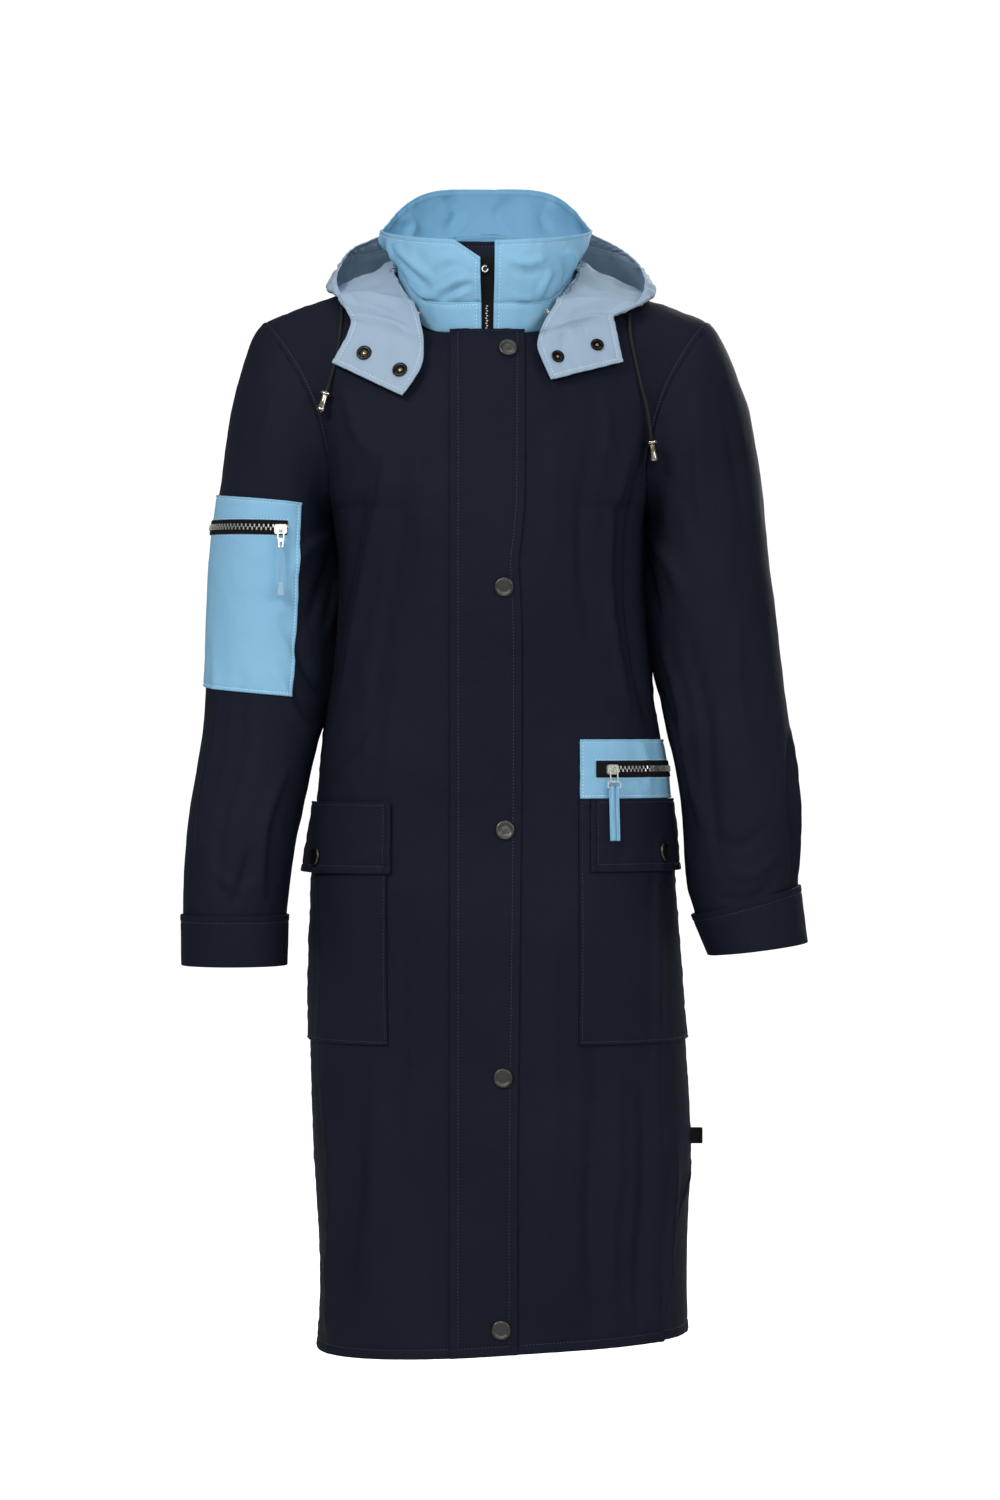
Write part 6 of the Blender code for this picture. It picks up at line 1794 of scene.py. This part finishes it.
# %% Parts along paths
def repeated(name, tree, paths, material, pitch, size, shift=0.0):
    """One plain mesh of the parts that a tree lays along paths of (point, outward) pairs."""
    points = [tuple(point) for path in paths for point, _ in path]
    outward = [value for path in paths for _, out in path for value in out]
    joints, start = [], 0
    for path in paths:
        joints += [(start + k, start + k + 1) for k in range(len(path) - 1)]
        start += len(path)
    mesh = bpy.data.meshes.new(name + "_paths")
    mesh.from_pydata(points, joints, [])
    mesh.attributes.new("outward", "FLOAT_VECTOR", "POINT").data.foreach_set("vector", outward)
    carrier = link(bpy.data.objects.new(name + "_paths", mesh))
    change = carrier.modifiers.new("repeat", "NODES")
    change.node_group = tree
    sockets = {item.name: item.identifier for item in tree.interface.items_tree if item.in_out == "INPUT"}
    for (title, _), value in zip(INPUTS, (pitch, size, shift, material)):
        change[sockets[title]] = value
    made = carrier.evaluated_get(bpy.context.evaluated_depsgraph_get())
    made = bpy.data.meshes.new_from_object(made)
    made.name = name
    bpy.data.objects.remove(carrier)
    piece = link(bpy.data.objects.new(name, made))
    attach(piece, "coat")
    print(name, len(made.polygons), "faces on", len(paths), "paths")
    return piece


print("a tree is fed with", [title for title, _ in INPUTS])

# %% Rows of stitches
SIDES_OF_PANEL = ("left", "right", "bottom", "top")
THREAD_LIFT = 0.0001
PITCH = 0.0033
STITCH = (0.0019, 0.0008, 0.0006)
THREADS = {"navy_cloth": [], "blue_cloth": [], "hood_cloth": []}


def stitched_path(shell, where):
    """The path of the stitches along one edge of a shell, as (point, outward) pairs."""
    left, right, bottom, top = shell.lines
    edge = shell.lines[SIDES_OF_PANEL.index(where)]
    line = edge_lines(edge).index(edge.stitch)
    line = line if where in ("left", "bottom") else -1 - line
    upright = where in ("left", "right")
    places = (slice(None), line) if upright else line
    ends = (bottom, top) if upright else (left, right)
    points, normals = shell.outer[places], shell.normals[places]
    trimmed = slice(None)
    if left is not None:
        first, last = (edge_lines(e).index(e.stitch) if e.stitch else 1 for e in ends)
        trimmed = slice(first, len(points) - last)
    pairs = zip(points[trimmed], normals[trimmed])
    return [(Vector(p) + Vector(n) * THREAD_LIFT, Vector(n)) for p, n in pairs]


for name, shell in SHELLS.items():
    finish = CLOTH_SLOTS[shell.piece.data.materials[0]]
    for where, edge in zip(SIDES_OF_PANEL, shell.lines):
        if edge is None or not edge.stitch:
            continue
        path = stitched_path(shell, where)
        if edge is ARMHOLE_SIDE:
            path = [pair for pair in path if pair[0].z > UNDERARM_Z]
        THREADS[finish].append(path)
print({finish: len(paths) for finish, paths in THREADS.items()}, "rows")

# %% Stitches beside the casing and the tapes
TAPE_BORDER = 0.0016
TAPE_STEP = 0.0014  # from the tape's face down to the patch's


def casing_path(shell, start, end):
    """The stitches along the inner edge of the cord's casing, where the hood has one."""
    path = []
    outer, normals = shell.outer[::-1], shell.normals[::-1]
    from_edge = lengths_along(outer, 0)
    columns = outer.shape[1]
    for i in range(columns):
        way = start + (end - start) * i / (columns - 1)
        if not CASING_WAYS[0] < way < CASING_WAYS[1]:
            continue
        spot, out = (
            Vector([np.interp(CASING, from_edge[:, i], grid[:, i, k]) for k in range(3)])
            for grid in (outer, normals)
        )
        out.normalize()
        path.append((spot + out * THREAD_LIFT, out))
    return path


def border_path(shell, edge, inner):
    """The stitches beside a long edge of a pocket zip's tape, on the patch under it."""
    path = []
    for point, before, out in zip(shell.outer[edge], shell.outer[inner], shell.normals[edge]):
        away, normal = Vector(point - before).normalized(), Vector(out)
        path.append((Vector(point) + away * TAPE_BORDER - normal * TAPE_STEP, normal))
    return path


for name, start, end, _ in HOOD_CUTS:
    THREADS["hood_cloth"].append(casing_path(SHELLS[name], start, end))
for name in ("waist_zip_tape", "sleeve_zip_tape"):
    for edge, inner in ((0, 1), (-1, -2)):
        THREADS["blue_cloth"].append(border_path(SHELLS[name], edge, inner))
for (finish, paths), thread in zip(THREADS.items(), (NAVY_THREAD, BLUE_THREAD, HOOD_THREAD)):
    name = finish.replace("cloth", "stitches")
    repeated(name, STITCHES, paths, thread, PITCH, STITCH)

# %% [markdown]
# ## Zip teeth
#
# The teeth of a closed zip lock into each other, so they stand in one row whose
# members reach alternately to either side. They are moulded metal blocks on the
# middle of the tape, and the same kind of tree lays them, with a sideways shift
# for every other one.

# %% Rows of teeth
Zip = namedtuple("Zip", "pitch size shift")
FINE_ZIP = Zip(0.0024, (0.0011, 0.0016, 0.0014), 0.0004)
POCKET_ZIP = Zip(0.0023, (0.0013, 0.0030, 0.0018), 0.0014)
TOOTH_LIFT = 0.0004
# A row is its name, its tape, its metal and slot, the axis and the limits that
# it keeps to, and its kind of zip.
TEETH_ROWS = (
    # The main zip's teeth under the collar's ends take the dark metal instead of nickel: painted shade of the
    # collar.
    ("main_zip_teeth_upper_painted_shade", "main_zip_tape", DARK_METAL, "gunmetal", "z", -0.046, -0.018, FINE_ZIP),
    ("main_zip_teeth_lower", "main_zip_tape", NICKEL, "gunmetal", "z", -1.100, -0.047, FINE_ZIP),
    ("waist_zip_teeth", "waist_zip_tape", NICKEL, "bright_metal", "x", 0.1205, 0.30, POCKET_ZIP),
    ("sleeve_zip_teeth", "sleeve_zip_tape", NICKEL, "bright_metal", "x", -0.40, -0.14, POCKET_ZIP),
)


def middle_line(shell, axis, low, high):
    """The middle of a tape between two limits on its long axis, as (point, outward) pairs."""
    grid, normals = shell.outer, shell.normals
    if axis == "x":
        grid, normals = grid.transpose(1, 0, 2), normals.transpose(1, 0, 2)
    path = []
    for line, out, run in zip(grid, normals, lengths_along(grid, 1)):
        centre = [np.interp(run[-1] / 2, run, line[:, k]) for k in range(3)]
        facing = Vector(out[len(out) // 2])
        point = Vector(centre) + facing * TOOTH_LIFT
        if low < getattr(point, axis) < high:
            path.append((point, facing))
    return path


for name, tape, metal, slot, axis, low, high, kind in TEETH_ROWS:
    line = middle_line(SHELLS[tape], axis, low, high)
    repeated(name, TEETH, [line], metal, *kind)

# %% [markdown]
# ## Snaps, sockets and studs
#
# The placket and the flaps close with round pressed snaps in a dark metal, the
# hood's tabs carry smaller sockets with a brass heart, and two little studs for
# them stand on the collar's foot. All are turned parts, so each is a profile
# spun about the cloth's normal, with a rolled rim that catches the light.

# %% Turned trims
Snap = namedtuple("Snap", "x z diameter height")
PLACKET_SNAPS = ((20.8, -92.5), (16.9, -325.9), (17.9, -561.7), (15.9, -801.5), (14.0, -1044.5))
FLAP_SNAPS = {RIGHT: (-169.5, -589.1), LEFT: (175.0, -583.8)}
SNAP_SIZE = (19, 2.5)
HOOD_SOCKETS = {
    RIGHT: ((-119.6, -96.5, 15, 2.0), (-84.2, -114.5, 15, 2.0)),
    LEFT: ((107.8, -88.7, 13, 2.0), (69.1, -101.3, 13, 2.0)),
}
COLLAR_STUDS = {RIGHT: (-67.0, -53.6, 9, 3), LEFT: (61.3, -53.6, 9, 3)}
SEAT = 0.0003
HEART = 0.13  # radius of a socket's brass heart, as a share of its diameter
# Radius and height as shares of the snap's own, from the foot up to the middle.
CAP = (
    (0.97, 0), (1, 0.18), (1, 0.45), (0.97, 0.72), (0.9, 0.93), (0.81, 1), (0.72, 0.95),
    (0.66, 0.82), (0.58, 0.74), (0.4, 0.76), (0.2, 0.78), (0.03, 0.79),
)
SOCKET = (
    (0.97, 0), (1, 0.25), (1, 0.55), (0.95, 0.85), (0.86, 1), (0.72, 1), (0.6, 0.9), (0.52, 0.65),
    (0.48, 0.25), (0.45, 0.12), (0.26, 0.12), (0.22, 0.3), (0.14, 0.38), (0.03, 0.4),
)
BALL_STUD = (
    (0.97, 0), (1, 0.12), (0.98, 0.26), (0.86, 0.34), (0.62, 0.38), (0.52, 0.46), (0.52, 0.6),
    (0.6, 0.7), (0.66, 0.8), (0.62, 0.92), (0.46, 0.99), (0.2, 1), (0.03, 1),
)


def snap(node, tree, row, profile, material, heart=None):
    """A round trim that stands for a node, seated where a skin is seen from the front."""
    (size,) = metres(Snap, [row])
    foot, out, _, _ = tree.ray_cast(Vector((size.x, -1, size.z)), Vector((0, 1, 0)))
    shape = [(radius * size.diameter / 2, height * size.height) for radius, height in profile]
    piece = turned(node + "_cap", foot + out * SEAT, out, shape, material, 48)
    if heart:
        piece.data.materials.append(heart)
        for face in piece.data.polygons:
            face.material_index = int((face.center - foot).length < size.diameter * HEART)
    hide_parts(node)


placket = skin("placket")
for k, place in enumerate(PLACKET_SNAPS):
    snap("placket_snap_%d" % (k + 1), placket, (*place, *SNAP_SIZE), CAP, BRONZE)
tabs = skin("hood_right", "hood_left")
neck = skin("collar_stand", "collar")
for side, word in SIDES:
    snap("flap_snap_" + word, skin("flap_" + word), (*FLAP_SNAPS[side], *SNAP_SIZE), CAP, BRONZE)
    snap("collar_stud_" + word, neck, COLLAR_STUDS[side], BALL_STUD, NICKEL)
    for k, row in enumerate(HOOD_SOCKETS[side]):
        snap("hood_socket_%s_%d" % (word, k + 1), tabs, row, SOCKET, DARK_METAL, BRASS)
print("snaps and studs seated")

# %% [markdown]
# ## Sliders, pulls, ribbon and label
#
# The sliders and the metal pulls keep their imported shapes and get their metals.
# The soft parts on the pulls, a ribbon at the waist and a corded tab on the
# sleeve, are made again in cloth and ride with their pulls. The side label is a
# blank folded tape that stands out of the left side seam.

# %% Where the pulls hang
Frame = namedtuple("Frame", "origin along up out")
SLIDER_FACE = 0.0021 + 0.001 + 0.0006 + 0.003  # patch, tape, their gaps and the slider's height
PULL_LIFT = 0.0014  # from the slider's face to the pull's axis
PULL_SWING = 2.0  # degrees that a pull hangs off the cloth
WAIST_SLIDER = (0.1205, -0.5031)
SLEEVE_SLIDER = (97.0, -0.2670)  # turn and height


def pull_frame(foot, out):
    """Axes at a pull's hinge: along the zip, up the pull and out."""
    level = Vector((out.x, out.y, 0)).normalized()
    along = Vector((0, 0, 1)).cross(level)
    turn = Matrix.Rotation(math.radians(-PULL_SWING), 3, along)
    origin = foot + level * (SLIDER_FACE + PULL_LIFT)
    return Frame(origin, along, turn @ Vector((0, 0, 1)), turn @ level)


def in_frame(frame, along, up, out):
    """A point from millimetres along, up and out."""
    return frame.origin + (frame.along * along + frame.up * up + frame.out * out) / 1000


waist = front_point(*WAIST_SLIDER)
waist_frame = pull_frame(waist, front_point(*WAIST_SLIDER, 1.0) - waist)
turn, height = SLEEVE_SLIDER
place = sleeve_place(turn, height)
around = sleeve_point(RIGHT, place, turn + 1) - sleeve_point(RIGHT, place, turn - 1)
down = sleeve_point(RIGHT, place + 0.05, turn) - sleeve_point(RIGHT, place - 0.05, turn)
sleeve_frame = pull_frame(sleeve_point(RIGHT, place, turn), down.cross(around))
print("the pulls hang at", tuple(waist_frame.origin), tuple(sleeve_frame.origin))

# %% The ribbon, the corded tab and the label
# Heights below the hinge and distances out of it, in millimetres. A loop goes up
# in front, over the ring's lower bar and down behind.
RIBBON_LEG = (
    (-69.0, 0.55), (-58.0, 0.60), (-44.0, 0.50), (-30.0, 0.60),
    (-23.0, 0.90), (-19.0, 1.35), (-17.0, 1.30), (-16.0, 0.75),
)
RIBBON_HALF, RIBBON_TOP, RIBBON_SWAY = 4.75, -15.75, 0.3
CORD_LEG = ((-55.0, 0.65), (-44.0, 0.70), (-32.0, 0.62), (-24.0, 0.80), (-19.5, 1.20), (-17.0, 1.15))
CORD_TOP, CORD_SWAY = -15.6, 0.25
# Half width, half depth and height of the rings of the sewn tab.
TAB = (
    (2.0, 1.4, -52.6), (2.6, 1.9, -53.4), (2.5, 1.8, -55.0), (3.2, 2.0, -58.0),
    (3.9, 2.2, -62.0), (4.0, 2.2, -64.6), (3.4, 1.9, -65.7), (2.6, 1.4, -66.0),
)


def looped(leg, top, sway=0.0):
    """Points in millimetres of a loop that passes over a bar."""
    front = [Vector((sway * math.sin(up * 0.2), up, out)) for up, out in leg]
    back = [Vector((p.x, p.y, -p.z)) for p in reversed(front)]
    return front + [Vector((0, top, 0))] + back


loop = looped(RIBBON_LEG, RIBBON_TOP)


def ribbon_at(u, v):
    place = between(loop, v * (len(loop) - 1))
    sway = RIBBON_SWAY * math.sin(place.y * 0.07)
    return in_frame(waist_frame, (2 * u - 1) * RIBBON_HALF, place.y, place.z + sway)


def rounded(value):
    """A sine or cosine pushed outwards, which makes an oval squarer."""
    return math.copysign(abs(value) ** 0.6, value)


RIBBON_EDGES = (Edge(0.0013, 0), Edge(0.0013, 0), RAW, RAW)
RIBBON_LOOK = {"spacing": 0.003, "waves": (0, 0), "pucker": 0.0, "body": "waist_pull"}
panel("waist_zip_ribbon", ribbon_at, RIBBON_EDGES, BLUE, (), None, 0.0008, **RIBBON_LOOK)

path = smooth_path([in_frame(sleeve_frame, *p) for p in looped(CORD_LEG, CORD_TOP, CORD_SWAY)], 4)
cord = round_tube("sleeve_tab_cord", path, 0.0013, PULL_CORD, 8, sleeve_frame.along, "sleeve_pull")
turns = [TAU * k / 20 for k in reversed(range(20))]
rings = [
    [in_frame(sleeve_frame, wide * rounded(math.cos(t)), up, deep * rounded(math.sin(t))) for t in turns]
    for wide, deep, up in TAB
]
tab = lofted("sleeve_tab_end", rings, PULL_CORD, "sleeve_pull")
for piece in (cord, tab):
    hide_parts("sleeve_zip_tab")

# %% The side label
LABEL_Y, LABEL_END_X = -0.0190, 0.2140
LABEL_TOP_Z, LABEL_BOTTOM_Z = -0.8600, -0.8750
LABEL_LOOK = {"spacing": 0.0015, "waves": (0, 0)}
seat, _, _, _ = skin("front_left").ray_cast(Vector((1, LABEL_Y, LABEL_TOP_Z)), Vector((-1, 0, 0)))


def label_at(u, v):
    x = seat.x - 0.001 + (LABEL_END_X - seat.x + 0.001) * u
    z = LABEL_BOTTOM_Z + (LABEL_TOP_Z - LABEL_BOTTOM_Z) * v
    return Vector((x, LABEL_Y + 0.0006 * math.sin(u * 3), z))


panel("side_label", label_at, NO_EDGES, TAPE, (), None, 0.001, **LABEL_LOOK)

# %% The main zip's slider
MAIN_SLIDER = (-0.0016, -0.0150)  # x and z
SLIDER_SHAPE = ((5.0, 2.2), (4.4, 3.3), (2.6, 3.7), (-1.0, 3.5), (-3.6, 2.7), (-5.0, 2.0))  # up, half width
SLIDER_BULGE = ((-1.3, 0.94), (-1.0, 1.0), (0.9, 1.0), (1.7, 0.90), (2.1, 0.72))  # out, share of the outline
SLIDER_INSET = 0.0014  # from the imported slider's back
RING_RADIUS, RING_WIRE, RING_OUT = 2.8, 0.65, 2.9
RING_START, RING_TURN, RING_STEPS = 60, 300, 28
low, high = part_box("main_zip_slider")
middle = Vector((MAIN_SLIDER[0], high.y - SLIDER_INSET, MAIN_SLIDER[1]))
outline = [(half, up) for up, half in SLIDER_SHAPE] + [(-half, up) for up, half in reversed(SLIDER_SHAPE)]
rings = [
    [middle + Vector((x * share, -out, up * share)) / 1000 for x, up in reversed(outline)]
    for out, share in SLIDER_BULGE
]
slider = lofted("main_slider_body", rings, DARK_METAL)
turns = [math.radians(RING_START + RING_TURN * k / RING_STEPS) for k in range(RING_STEPS + 1)]
circle_points = [Vector((RING_RADIUS * math.cos(t), -RING_OUT, RING_RADIUS * math.sin(t))) for t in turns]
path = [middle + point / 1000 for point in circle_points]
ring = round_tube("main_slider_ring", path, 2 * RING_WIRE / 1000, NICKEL, 10, Vector((0, 1, 0)))
for piece in (slider, ring):
    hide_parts("main_zip_slider")
print("main slider", round((high.z - low.z) * 1000, 1), "mm high")

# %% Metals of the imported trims
for name in ("waist_zip_slider", "sleeve_zip_slider", "waist_zip_pull", "sleeve_zip_pull"):
    for slot in frame["nodes"][name].material_slots:
        slot.material = NICKEL
print("metals given")
